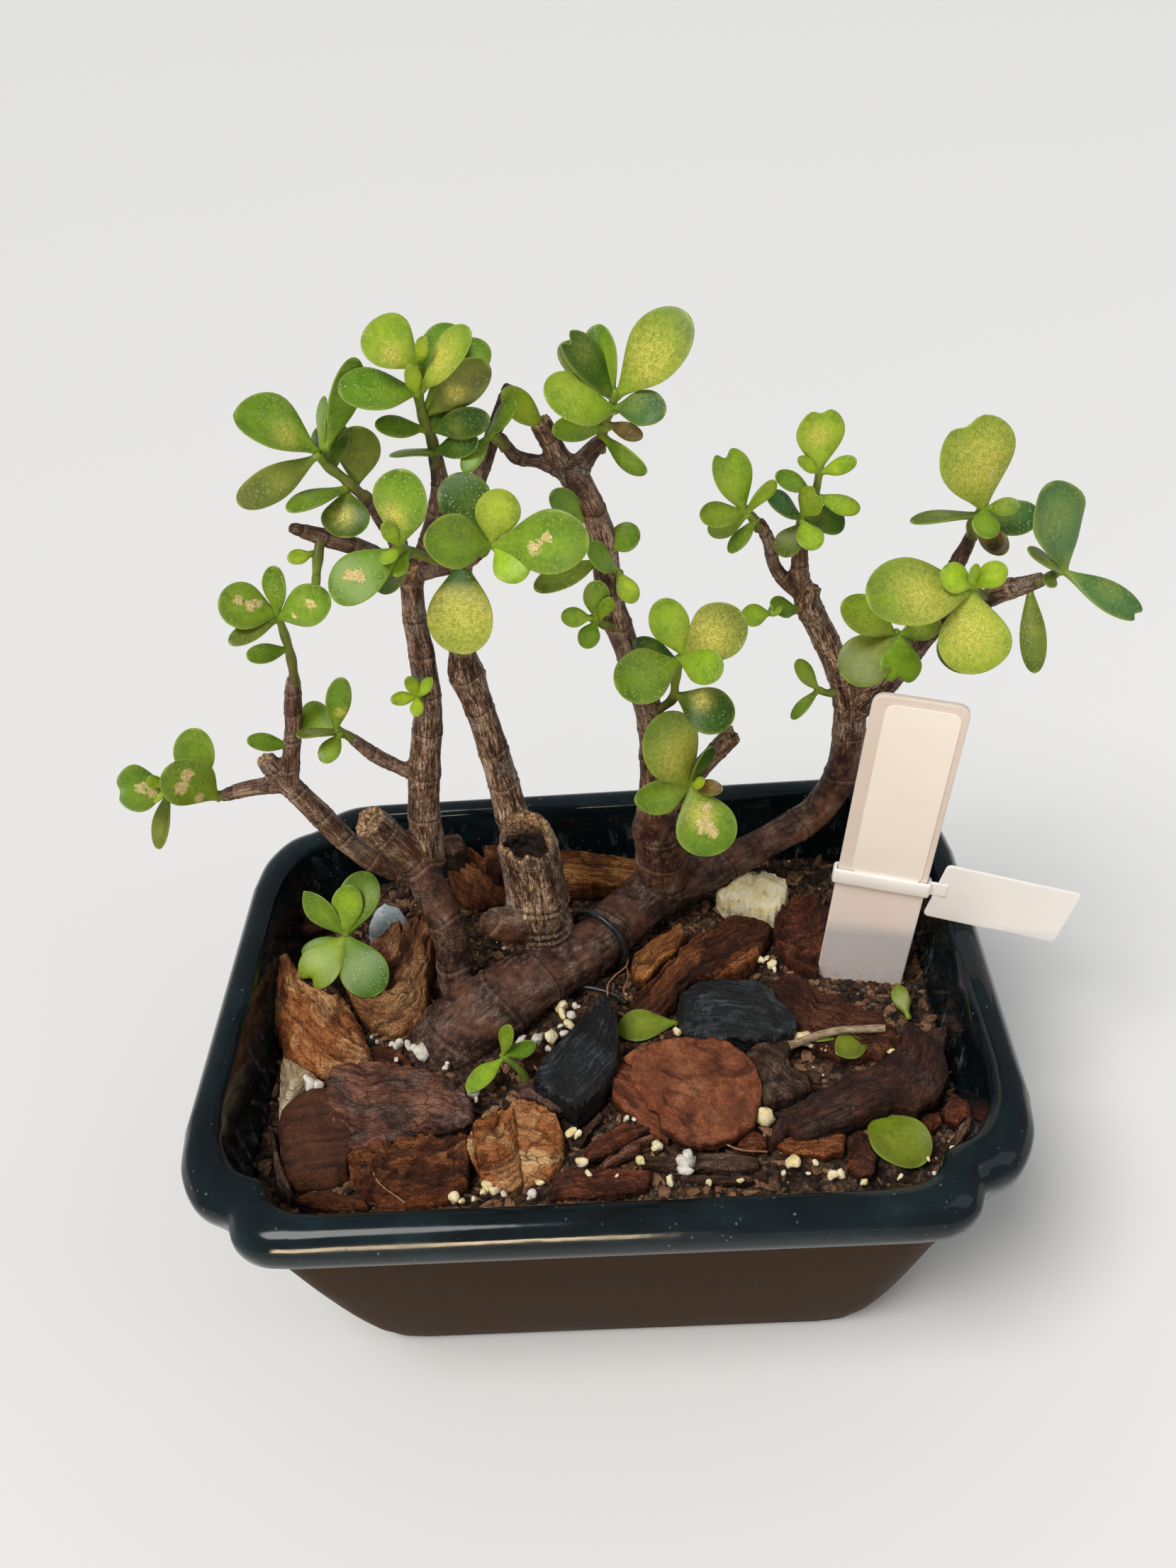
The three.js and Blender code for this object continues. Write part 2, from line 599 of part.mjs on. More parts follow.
// A green stem through points, thinner at its tip.
function stem(route, grow) {
  const curve = new THREE.CatmullRomCurve3(route.map(vector), false, 'centripetal');
  const steps = Math.max(2, route.length - 1);
  const rings = carriedFrames(curve, steps, grow).map((frame, i) => {
    const radius = THREE.MathUtils.lerp(STEM_ROOT_RADIUS, STEM_TIP_RADIUS, i / steps);
    return ringAt(frame, radius + grow, STEM_SIDES);
  });
  return loft(rings);
}

// A fleshy leaf, widest past its middle, with a lens section and a short petiole.
function leaf([base, tip, width, roll], facing, grow = 0) {
  const start = vector(base);
  const end = vector(tip);
  const along = end.clone().sub(start);
  const length = along.length();
  along.normalize();
  const normal = facing.clone().addScaledVector(along, -facing.dot(along)).normalize();
  normal.applyAxisAngle(along, THREE.MathUtils.degToRad(roll));
  const across = new THREE.Vector3().crossVectors(along, normal);
  const stations = length < SMALL_LEAF ? SMALL_LEAF_STATIONS : LEAF_STATIONS;
  const rings = stations.map(([place, fraction]) => {
    const centre = start.clone().addScaledVector(along, place * length);
    if (place === 0) {
      centre.addScaledVector(along, -ROOT_SINK);
    }
    centre.addScaledVector(normal, 0.25 * width * 0.25 * Math.sin(Math.PI * place));
    const half = Math.max(fraction * width / 2, PETIOLE_HALF_WIDTH) + grow;
    const thick = Math.min(LEAF_THICKNESS / 2, 0.55 + width * 0.08) * (1 - 0.35 * place) + grow;
    return [
      centre.clone().addScaledVector(across, -half),
      centre.clone().addScaledVector(normal, -thick),
      centre.clone().addScaledVector(across, half),
      centre.clone().addScaledVector(normal, thick),
    ];
  });
  return loft(rings, end.addScaledVector(along, grow));
}

function spray({ stem: route, leaves }, grow = 0) {
  const pieces = leaves.map((one) => leaf(one, FACING, grow));
  if (route.length > 0) {
    pieces.unshift(stem(route, grow));
  }
  return join(pieces);
}

// The pot's plan at a height: half sizes and how round the corners are, ring by ring.
function potOutline(inset, z, cornerScale) {
  const halfLength = POT_HALF_LENGTH - inset;
  const halfWidth = POT_HALF_WIDTH - inset;
  const quarter = CORNER.map(([dx, dy]) => [
    halfLength - dx * cornerScale, halfWidth - dy * cornerScale,
  ]);
  const reversed = [...quarter].reverse();
  const corners = [
    ...quarter,
    ...reversed.map(([x, y]) => [-x, y]),
    ...quarter.map(([x, y]) => [-x, -y]),
    ...reversed.map(([x, y]) => [x, -y]),
  ];
  return corners.map(([x, y]) => new THREE.Vector3(x, y, z));
}

function wallInset(z) {
  const bandBottom = POT_HEIGHT - RIM_BAND;
  const rise = z / bandBottom;
  return THREE.MathUtils.lerp(POT_BOTTOM_INSET, RIM_OVERHANG, Math.pow(rise, 0.8));
}

// The inside of the wall at a height, a little further in where something stands clear.
function innerOutline(z, clearance) {
  const rise = (z - FLOOR_TOP) / (WALL_TOP - FLOOR_TOP);
  const inset = THREE.MathUtils.lerp(wallInset(FLOOR_TOP) + WALL, RIM_OVERHANG + WALL, rise);
  const cornerScale = THREE.MathUtils.lerp(FLOOR_CORNER, WALL_TOP_CORNER, rise);
  return potOutline(inset + clearance, z, cornerScale);
}

// The pot, from its underside up the outside, over the rim and down to the inner floor.
function pot(grow = 0) {
  const bandBottom = POT_HEIGHT - RIM_BAND;
  return loft([
    potOutline(POT_BOTTOM_INSET + 2, 0, 0.9),
    potOutline(POT_BOTTOM_INSET - 1, 2.5, 0.92),
    potOutline(wallInset(36), 36, 0.96),
    potOutline(RIM_OVERHANG, bandBottom, 0.98),
    potOutline(0.4, bandBottom + 1.6, 1),
    potOutline(0, POT_HEIGHT - 3.6, 1),
    potOutline(1.4, POT_HEIGHT - 0.9, 1),
    potOutline(3.6, POT_HEIGHT, 1),
    potOutline(RIM_WIDTH - 1.2 + grow, POT_HEIGHT - 0.4, 0.96),
    potOutline(RIM_WIDTH + grow, POT_HEIGHT - 2.4, 0.94),
    innerOutline(WALL_TOP, grow),
    innerOutline(FLOOR_TOP, grow),
  ]);
}

// Soil mix that fills the pot, with a gently uneven top.
function soil(grow = 0) {
  const level = SOIL_LEVEL + grow;
  const edge = innerOutline(level - SOIL_EDGE_DROP, SOIL_CLEARANCE);
  const bump = (x, y) => 1.1 * Math.sin(x / 13 + 1) * Math.cos(y / 11) + 0.5 * Math.sin(x / 5 + y / 6);
  const terraces = [0.8, 0.5, 0.2].map((shrink) => edge.map(({ x, y }) => new THREE.Vector3(
    x * shrink, y * shrink, level + bump(x * shrink, y * shrink),
  )));
  return loft([innerOutline(FLOOR_TOP + GAP, SOIL_CLEARANCE), edge, ...terraces]);
}

// A flat piece with a broken outline, thinner at its rim.
function chip([centre, size, turn, tiltX, tiltY, seed], grow = 0) {
  const random = seeded(seed);
  const radii = Array.from({ length: CHIP_SIDES }, () => 0.78 + 0.3 * random());
  const matrix = new THREE.Matrix4().makeRotationFromEuler(new THREE.Euler(
    THREE.MathUtils.degToRad(tiltX), THREE.MathUtils.degToRad(tiltY),
    THREE.MathUtils.degToRad(turn), 'ZYX',
  ));
  matrix.setPosition(...centre);
  const [length, width, height] = size.map((s) => s / 2 + grow);
  const levels = [[-1, 0.82], [0.1, 1], [1, 0.74]];
  const rings = levels.map(([level, spread]) => radii.map((radius, k) => {
    const angle = (2 * Math.PI * k) / CHIP_SIDES;
    const lump = level > 0 ? 0.8 + 0.4 * radii[(k + 3) % CHIP_SIDES] * 0.5 : 1;
    return new THREE.Vector3(
      length * radius * spread * Math.cos(angle),
      width * radius * spread * Math.sin(angle),
      height * level * lump,
    ).applyMatrix4(matrix);
  }));
  return loft(rings);
}

const stakeNormal = new THREE.Vector3().crossVectors(STAKE_ACROSS, STAKE_UP);
const stakeFrame = new THREE.Matrix4()
  .makeBasis(STAKE_ACROSS, STAKE_UP, stakeNormal)
  .setPosition(STAKE_TOP_LEFT);

// The blank label: a flat stake with rounded top corners and a pointed foot.
function stake(grow = 0) {
  const outline = new THREE.Shape();
  const low = -(STAKE_ABOVE + STAKE_BELOW) - grow;
  const right = STAKE_WIDTH + grow;
  const middle = STAKE_WIDTH / 2;
  outline.moveTo(-grow, -STAKE_CORNER);
  outline.lineTo(-grow, low + 12);
  outline.lineTo(middle - 2, low);
  outline.lineTo(middle + 2, low);
  outline.lineTo(right, low + 12);
  outline.lineTo(right, -STAKE_CORNER);
  outline.quadraticCurveTo(right, grow, right - STAKE_CORNER, grow);
  outline.lineTo(STAKE_CORNER - grow, grow);
  outline.quadraticCurveTo(-grow, grow, -grow, -STAKE_CORNER);
  const depth = STAKE_THICKNESS + 2 * grow;
  const geometry = new THREE.ExtrudeGeometry(outline, { depth, bevelEnabled: false, curveSegments: 4 });
  geometry.translate(0, 0, -depth / 2).applyMatrix4(stakeFrame);
  return solidFromGeometry(geometry);
}

// The tag: a band round the stake with a plain flag to its right, in one piece.
function tag() {
  const inner = GAP + STAKE_THICKNESS / 2;
  const outer = inner + TAG_THICKNESS;
  const band = new THREE.Shape();
  band.moveTo(-GAP - TAG_THICKNESS, -outer);
  band.lineTo(STAKE_WIDTH + GAP + TAG_THICKNESS, -outer);
  band.lineTo(STAKE_WIDTH + GAP + TAG_THICKNESS, outer);
  band.lineTo(-GAP - TAG_THICKNESS, outer);
  const slot = new THREE.Path();
  slot.moveTo(-GAP, -inner);
  slot.lineTo(-GAP, inner);
  slot.lineTo(STAKE_WIDTH + GAP, inner);
  slot.lineTo(STAKE_WIDTH + GAP, -inner);
  band.holes.push(slot);
  const loop = new THREE.ExtrudeGeometry(band, { depth: BAND_HEIGHT, bevelEnabled: false });
  loop.rotateX(Math.PI / 2);
  loop.translate(0, -BAND_DROP + BAND_HEIGHT / 2, 0);
  const flag = new THREE.BoxGeometry(TAG_LENGTH, TAG_HEIGHT, TAG_THICKNESS);
  flag.translate(TAG_LENGTH / 2, -TAG_HEIGHT / 2, 0);
  flag.rotateY(0.12).rotateZ(TAG_DROOP);
  flag.translate(STAKE_WIDTH + TAG_NECK, -TAG_DROP, 0);
  const neck = new THREE.BoxGeometry(TAG_NECK + 1, BAND_HEIGHT, TAG_THICKNESS);
  neck.translate(STAKE_WIDTH + GAP + (TAG_NECK + 1) / 2, -BAND_DROP, 0);
  loop.applyMatrix4(stakeFrame);
  flag.applyMatrix4(stakeFrame);
  neck.applyMatrix4(stakeFrame);
  return join([loop, flag, neck].map(solidFromGeometry));
}

// A route with both ends pushed out, for the pocket that holds a rod's end.
function lengthened(route, reach) {
  const points = route.map(vector);
  points[0].add(points[0].clone().sub(points[1]).setLength(reach));
  points.at(-1).add(points.at(-1).clone().sub(points.at(-2)).setLength(reach));
  return points;
}

// A round rod along a curve.
function rod(points, radius, segments) {
  const section = new THREE.Shape();
  section.absarc(0, 0, radius, 0, 2 * Math.PI);
  const path = new THREE.CatmullRomCurve3(points, false, 'centripetal');
  const options = { steps: segments, extrudePath: path, bevelEnabled: false, curveSegments: 3 };
  return solidFromGeometry(new THREE.ExtrudeGeometry(section, options));
}

const model = new THREE.Group();

function addPiece(name, piece, colour, roughness, metalness = 0) {
  const { vertProperties, triVerts } = piece.getMesh();
  const geometry = new THREE.BufferGeometry();
  geometry.setAttribute('position', new THREE.BufferAttribute(new Float32Array(vertProperties), 3));
  geometry.setIndex(new THREE.BufferAttribute(new Uint32Array(triVerts), 1));
  geometry.computeVertexNormals();
  const material = new THREE.MeshStandardMaterial({ color: colour, roughness, metalness });
  const mesh = new THREE.Mesh(geometry, material);
  mesh.name = name;
  model.add(mesh);
}

function boxesMeet(one, other) {
  const a = one.boundingBox();
  const b = other.boundingBox();
  return [0, 1, 2].every((k) => a.min[k] < b.max[k] && b.min[k] < a.max[k]);
}

// Cut from a piece whatever it would share with pieces that are already placed.
function clearOf(piece, placed) {
  const cut = placed
    .filter((other) => boxesMeet(piece, other))
    .reduce((rest, other) => rest.subtract(other), piece);
  return largest(cut);
}

// What is placed so far, each a little larger than it is, in the order of placing.
const placed = [];

const wood = join(Object.values(LIMBS).map((route) => limb(route)));
const grownWood = join(Object.values(LIMBS).map((route) => limb(route, GAP)));
addPiece('wood', wood, 0x7a6654, 0.85);
placed.push(grownWood);

addPiece('label_stake', stake(), 0xf2efe6, 0.45);
addPiece('label_tag', tag(), 0xf4f3ee, 0.5);
placed.push(stake(GAP));
const wire = rod(WIRE_ROUTE.map(vector), WIRE_RADIUS, WIRE_STEPS);
const grownWire = rod(lengthened(WIRE_ROUTE, GAP), WIRE_RADIUS + GAP, WIRE_STEPS);
addPiece('anchor_wire', wire.subtract(grownWood), 0x161616, 0.5);
placed.push(grownWire);

for (const [name, plan] of Object.entries(SPRAYS)) {
  addPiece(name, clearOf(spray(plan), placed), 0x6fa33c, 0.4);
  placed.push(spray(plan, GAP));
}

addPiece('soil', clearOf(soil(), placed), 0x4a3a2c, 0.95);
placed.push(soil(GAP), pot(GAP));

for (const [name, plan] of Object.entries(CHIPS)) {
  addPiece(name, clearOf(chip(plan), placed), plan[6], 0.9);
  placed.push(chip(plan, GAP));
}

for (const [name, plan] of Object.entries(FALLEN)) {
  addPiece(name, clearOf(leaf(plan, FALLEN_FACING), placed), 0x86a24a, 0.5);
  placed.push(leaf(plan, FALLEN_FACING, GAP));
}

const stick = rod(STICK_ROUTE.map(vector), STICK_RADIUS, STICK_STEPS);
addPiece('loose_stick', clearOf(stick, placed), 0xa58a66, 0.9);
addPiece('pot', pot(), 0x1a1f22, 0.15);

export default model;
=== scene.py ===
# %% [markdown]
# # A dwarf jade bonsai in its glazed pot
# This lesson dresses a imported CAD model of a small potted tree. The CAD solids are plain and
# faceted. Each step replaces one of them, or a family of them, with a fine mesh of the same
# form, and gives it a finish that is made of shader nodes alone. Lengths are written in
# millimetres and turned into metres once, where a mesh is made.

import json
import math

import bmesh
import bpy
import numpy as np
from mathutils import Matrix, Vector
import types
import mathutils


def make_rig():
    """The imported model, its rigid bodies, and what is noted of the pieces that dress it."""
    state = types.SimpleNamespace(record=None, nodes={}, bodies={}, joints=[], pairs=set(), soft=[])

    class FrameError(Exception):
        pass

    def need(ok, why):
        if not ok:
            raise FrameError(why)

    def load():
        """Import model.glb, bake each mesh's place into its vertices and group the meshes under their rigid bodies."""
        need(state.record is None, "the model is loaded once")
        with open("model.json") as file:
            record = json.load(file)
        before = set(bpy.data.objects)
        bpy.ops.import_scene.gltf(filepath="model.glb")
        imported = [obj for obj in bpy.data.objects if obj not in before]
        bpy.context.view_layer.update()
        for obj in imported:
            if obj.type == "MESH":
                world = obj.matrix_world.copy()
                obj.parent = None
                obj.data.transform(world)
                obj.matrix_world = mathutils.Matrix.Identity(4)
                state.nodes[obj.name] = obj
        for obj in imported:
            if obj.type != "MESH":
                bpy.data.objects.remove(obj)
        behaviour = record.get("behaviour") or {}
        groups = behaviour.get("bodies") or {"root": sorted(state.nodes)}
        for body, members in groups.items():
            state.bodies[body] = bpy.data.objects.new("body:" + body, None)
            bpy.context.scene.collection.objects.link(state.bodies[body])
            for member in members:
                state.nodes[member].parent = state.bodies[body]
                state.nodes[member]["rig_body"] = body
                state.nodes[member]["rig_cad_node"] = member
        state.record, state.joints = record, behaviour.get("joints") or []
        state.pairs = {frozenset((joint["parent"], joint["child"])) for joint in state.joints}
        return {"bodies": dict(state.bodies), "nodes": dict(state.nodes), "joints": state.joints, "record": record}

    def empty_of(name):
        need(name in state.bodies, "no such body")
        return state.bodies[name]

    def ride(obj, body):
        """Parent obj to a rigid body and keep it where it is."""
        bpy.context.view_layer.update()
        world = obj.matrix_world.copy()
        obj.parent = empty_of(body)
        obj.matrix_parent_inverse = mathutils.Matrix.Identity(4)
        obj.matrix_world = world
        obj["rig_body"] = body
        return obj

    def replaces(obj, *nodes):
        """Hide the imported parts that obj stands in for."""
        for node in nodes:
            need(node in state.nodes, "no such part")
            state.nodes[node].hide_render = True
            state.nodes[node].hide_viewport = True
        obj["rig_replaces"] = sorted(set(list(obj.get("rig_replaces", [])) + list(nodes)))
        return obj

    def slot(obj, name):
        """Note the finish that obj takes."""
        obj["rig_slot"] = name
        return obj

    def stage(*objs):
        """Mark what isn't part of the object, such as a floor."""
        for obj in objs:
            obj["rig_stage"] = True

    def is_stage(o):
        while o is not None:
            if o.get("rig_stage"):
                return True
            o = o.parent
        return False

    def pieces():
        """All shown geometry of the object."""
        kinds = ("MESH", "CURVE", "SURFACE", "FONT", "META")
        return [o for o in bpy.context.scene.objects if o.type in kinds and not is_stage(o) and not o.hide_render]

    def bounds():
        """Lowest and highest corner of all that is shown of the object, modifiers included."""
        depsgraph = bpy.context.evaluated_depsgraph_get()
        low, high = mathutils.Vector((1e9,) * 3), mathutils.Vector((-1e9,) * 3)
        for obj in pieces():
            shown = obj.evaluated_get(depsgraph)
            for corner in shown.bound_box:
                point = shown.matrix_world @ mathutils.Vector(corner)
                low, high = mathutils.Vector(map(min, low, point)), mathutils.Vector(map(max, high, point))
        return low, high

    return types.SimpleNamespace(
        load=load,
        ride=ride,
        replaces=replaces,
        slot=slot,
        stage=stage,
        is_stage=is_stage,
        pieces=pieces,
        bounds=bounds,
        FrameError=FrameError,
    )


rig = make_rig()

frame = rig.load()
CAD_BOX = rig.bounds()
MM = 0.001
print("CAD nodes:", len(frame["nodes"]))

# %% [markdown]
# ## The camera
# The camera stands in front of the pot and looks down at it by nearly forty degrees, as one
# does at a plant on a table. Its eye, direction and roll are written out, so that the view is
# the same each time. The picture is upright, so the sensor's long side is its height.

# %% Camera
PICTURE_HEIGHT_PX = 2212
FOCAL_PX = 1900
EYE = Vector((17.71, -253.40, 347.91)) * MM
AZIMUTH, ELEVATION, ROLL = (math.radians(a) for a in (-3.534, 38.587, -5.577))


def camera_axes():
    """The camera's right, up and backward directions."""
    forward = Vector((math.sin(AZIMUTH) * math.cos(ELEVATION),
                      math.cos(AZIMUTH) * math.cos(ELEVATION), -math.sin(ELEVATION)))
    level = Vector((math.cos(AZIMUTH), -math.sin(AZIMUTH), 0))
    upright = level.cross(forward)
    right = level * math.cos(ROLL) + upright * math.sin(ROLL)
    up = -level * math.sin(ROLL) + upright * math.cos(ROLL)
    return right, up, -forward


def in_scene(name, data):
    """A new object for some data, placed in the scene."""
    obj = bpy.data.objects.new(name, data)
    bpy.context.scene.collection.objects.link(obj)
    return obj


lens = bpy.data.cameras.new("camera")
lens.sensor_width = 36
lens.lens = lens.sensor_width * FOCAL_PX / PICTURE_HEIGHT_PX
lens.clip_start = 0.01
camera = in_scene("camera", lens)
camera.matrix_world = Matrix.Translation(EYE) @ Matrix(camera_axes()).transposed().to_4x4()
bpy.context.scene.camera = camera
print("lens:", round(lens.lens, 2), "mm")

# %% [markdown]
# ## Floor and light
# A plain pale floor runs far past the view, so it is the background as well. The light is a
# pale sky all round, a soft sun from the front left, a cool panel on the right, and a low,
# narrow, warm panel in front, whose reflection draws the long highlight on the glazed rim.

# %% Floor, sky and panels
FLOOR_HALF = 6.0
floor_mesh = bpy.data.meshes.new("floor")
floor_mesh.from_pydata(
    [(x * FLOOR_HALF, y * FLOOR_HALF, -0.0002) for x, y in ((-1, -1), (1, -1), (1, 1), (-1, 1))],
    [], [(0, 1, 2, 3)])
floor = in_scene("floor", floor_mesh)
floor_finish = bpy.data.materials.new("pale_floor")
floor_finish.use_nodes = True
floor_surface = floor_finish.node_tree.nodes["Principled BSDF"]
floor_surface.inputs["Base Color"].default_value = (0.82, 0.82, 0.815, 1)
floor_surface.inputs["Roughness"].default_value = 0.7
floor_mesh.materials.append(floor_finish)
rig.stage(floor)

sky = bpy.data.worlds.new("sky")
sky.use_nodes = True
sky.node_tree.nodes["Background"].inputs["Color"].default_value = (0.93, 0.96, 1.0, 1)
sky.node_tree.nodes["Background"].inputs["Strength"].default_value = 0.36
bpy.context.scene.world = sky
bpy.context.scene.view_settings.view_transform = "Standard"


def panel(name, place, aim, size, watts, colour):
    """A soft rectangular light that faces a point."""
    light = bpy.data.lights.new(name, "AREA")
    light.shape = "RECTANGLE"
    light.size, light.size_y = size
    light.energy = watts
    light.color = colour
    holder = in_scene(name, light)
    holder.location = place
    direction = Vector(aim) - Vector(place)
    holder.rotation_euler = direction.to_track_quat("-Z", "Y").to_euler()


sun = bpy.data.lights.new("soft_sun", "SUN")
sun.energy = 2.3
sun.angle = math.radians(30)
sun.color = (1.0, 0.975, 0.94)
sun_holder = in_scene("soft_sun", sun)
sun_holder.rotation_euler = Vector((0.42, 0.38, -1.0)).to_track_quat("-Z", "Y").to_euler()
panel("panel_right", (0.95, -0.35, 0.75), (0, 0, 0.1), (0.5, 0.9), 1.2, (0.94, 0.97, 1.0))
panel("panel_front", (-0.31, -1.3, 0.115), (0, 0, 0.08), (0.60, 0.07), 5.0, (1.0, 0.76, 0.50))
print("lights:", len(bpy.data.lights))

# %% [markdown]
# ## Tools for shapes
# Most pieces here are lofts: rings of points joined by quads, with a fan at each end. Curves
# through given points are Catmull-Rom splines, and value noise gives bark, soil and
# stones their relief. The noise is written out in numpy, because it is needed at whole
# arrays of points at once and has to be the same each run. Long lists of points
# stand in tables of plain text, which are easier to read and change than nested brackets.

# %% Tables
def word(text):
    """A word of a table: a whole number, a number with a point, or the word itself."""
    for kind in (int, float):
        try:
            return kind(text)
        except ValueError:
            pass
    return text


def row(text):
    """A row of entries parted by commas, each a tuple of its words."""
    return [tuple(word(w) for w in entry.split()) for entry in text.split(",") if entry.strip()]


def table(text):
    """Lines that end in a semicolon: a title, a colon, and rows parted by upright strokes."""
    for line in text.strip().rstrip(";").split(";"):
        title, rows = line.split(":")
        yield row(title)[0], [row(r) for r in rows.split("|")]


# %% Noise
def lattice(ix, iy, iz, seed):
    """A repeatable number from 0 to 1 for each corner of a cubic lattice."""
    n = (ix * 374761393 + iy * 668265263 + iz * 1442695041 + seed * 97531) & 0xFFFFFFFF
    n = ((n ^ (n >> 13)) * 1274126177) & 0xFFFFFFFF
    return ((n ^ (n >> 16)) & 0xFFFF) / 65535.0


def value_noise(points, seed):
    cell = np.floor(points).astype(np.int64)
    f = points - cell
    f = f * f * (3 - 2 * f)
    total = 0
    for dx in (0, 1):
        for dy in (0, 1):
            for dz in (0, 1):
                weight = (np.abs(1 - dx - f[:, 0]) * np.abs(1 - dy - f[:, 1])
                          * np.abs(1 - dz - f[:, 2]))
                corner = lattice(cell[:, 0] + dx, cell[:, 1] + dy, cell[:, 2] + dz, seed)
                total = total + weight * corner
    return total * 2 - 1


def relief(points, size, seed=0, octaves=3):
    """Fractal noise from about -1 to 1 whose largest lumps are size millimetres across."""
    points = np.asarray(points, float)
    total, strength = 0, 1.0
    for octave in range(octaves):
        total = total + strength * value_noise(points * (2 ** octave / size) + 17.3 * octave, seed)
        strength *= 0.5
    return total / (2 - 0.5 ** (octaves - 1))


# %% Curves
def unit(v):
    return v / np.linalg.norm(v)


def spline(route, step):
    """Points every step or so along a centripetal Catmull-Rom curve; extra columns follow."""
    p = np.array(route, float)
    p = np.vstack([2 * p[0] - p[1], p, 2 * p[-1] - p[-2]])
    out = []
    for a, b, c, d in zip(p[:-3], p[1:-2], p[2:-1], p[3:]):
        t1 = np.linalg.norm((b - a)[:3]) ** 0.5
        t2 = t1 + np.linalg.norm((c - b)[:3]) ** 0.5
        t3 = t2 + np.linalg.norm((d - c)[:3]) ** 0.5
        count = max(1, round(np.linalg.norm((c - b)[:3]) / step))
        for t in t1 + (t2 - t1) * np.arange(count) / count:
            ab = a + (b - a) * t / t1
            bc = b + (c - b) * (t - t1) / (t2 - t1)
            cd = c + (d - c) * (t - t2) / (t3 - t2)
            abc = ab + (bc - ab) * t / t2
            bcd = bc + (cd - bc) * (t - t1) / (t3 - t1)
            out.append(abc + (bcd - abc) * (t - t1) / (t2 - t1))
    out.append(p[-2])
    return np.array(out)


def carried_frames(points):
    """Two directions square to a line of points, carried along it without twist."""
    along = np.gradient(points[:, :3], axis=0)
    along /= np.linalg.norm(along, axis=1)[:, None]
    across = np.array([0.3, -0.2, 0.9])
    first, second = [], []
    for direction in along:
        across = unit(across - direction * across.dot(direction))
        first.append(across)
        second.append(np.cross(direction, across))
    return along, np.array(first), np.array(second)


# %% Rings and tubes
def ring_faces(rings, around):
    """Quads for rings of points, and fans to two extra points at the end of the list."""
    faces = []
    for i in range(rings - 1):
        for j in range(around):
            a, b = i * around + j, i * around + (j + 1) % around
            faces.append((a, b, b + around, a + around))
    start, end, last = rings * around, rings * around + 1, (rings - 1) * around
    for j in range(around):
        k = (j + 1) % around
        faces.append((start, k, j))
        faces.append((end, last + j, last + k))
    return faces


def tube(points, sides, radii):
    """Points and faces of a closed round tube along a line of points."""
    along, first, second = carried_frames(points)
    angle = 2 * np.pi * np.arange(sides) / sides
    ring = (first[:, None] * np.cos(angle)[None, :, None]
            + second[:, None] * np.sin(angle)[None, :, None])
    verts = (points[:, None, :3] + ring * np.asarray(radii)[:, None, None]).reshape(-1, 3)
    verts = np.vstack([verts, points[0, :3], points[-1, :3]])
    return verts, ring_faces(len(points), sides)


# %% From points to a piece
class Pile:
    """Collects points, faces and point attributes of many shapes into one mesh."""

    def __init__(self):
        self.verts, self.faces, self.values, self.count = [], [], {}, 0

    def add(self, verts, faces, **values):
        self.faces.extend([tuple(i + self.count for i in face) for face in faces])
        self.verts.append(np.asarray(verts, float))
        for key, value in values.items():
            self.values.setdefault(key, []).append(np.asarray(value, float))
        self.count += len(verts)


def make_mesh(name, pile, finish, smooth=True):
    """A mesh in metres from a pile, with its attributes and its finish."""
    mesh = bpy.data.meshes.new(name)
    mesh.from_pydata((np.vstack(pile.verts) * MM).tolist(), [], pile.faces)
    for key, parts in pile.values.items():
        data = np.concatenate(parts)
        kind = "FLOAT" if data.ndim == 1 else "FLOAT_VECTOR" if data.shape[1] == 3 else "FLOAT_COLOR"
        attribute = mesh.attributes.new(key, kind, "POINT")
        field = {"FLOAT": "value", "FLOAT_VECTOR": "vector", "FLOAT_COLOR": "color"}[kind]
        attribute.data.foreach_set(field, data.astype(np.float32).ravel())
    mesh.materials.append(finish)
    mesh.shade_smooth() if smooth else mesh.shade_flat()
    return mesh


def settle(mesh, slot, *nodes):
    """Puts a finished mesh in the scene, riding on the body, in place of its CAD nodes."""
    obj = in_scene(mesh.name, mesh)
    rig.ride(obj, "root")
    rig.slot(obj, slot)
    if nodes:
        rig.replaces(obj, *nodes)
    return obj


def dress(name, pile, finish, slot):
    """Makes the finer mesh that takes the place of one CAD node, and settles it."""
    mesh = make_mesh(name + "_dressed", pile, finish)
    settle(mesh, slot, name)
    return mesh


def triangles(mesh):
    return sum(len(polygon.vertices) - 2 for polygon in mesh.polygons)


# %% [markdown]
# ## Tools for finishes
# Every finish is a Principled surface fed by noise, ramps and attributes. This small class
# only shortens the making of nodes. Patterns read Object coordinates, in metres, or an
# attribute that the shape code wrote, so they stay put when the view turns.

# %% Nodes
def feed(tree, socket, value):
    """Links a socket to another one, or gives it a constant."""
    if isinstance(value, bpy.types.NodeSocket):
        tree.links.new(value, socket)
    elif socket.type == "RGBA" and len(value) == 3:
        socket.default_value = (*value, 1)
    else:
        socket.default_value = value


def add_node(tree, kind, inputs=(), **properties):
    """A new node: its properties are set first, then its inputs are fed."""
    node = tree.nodes.new(kind)
    for key, value in properties.items():
        setattr(node, key, value)
    for key, value in dict(inputs).items():
        feed(tree, node.inputs[key], value)
    return node


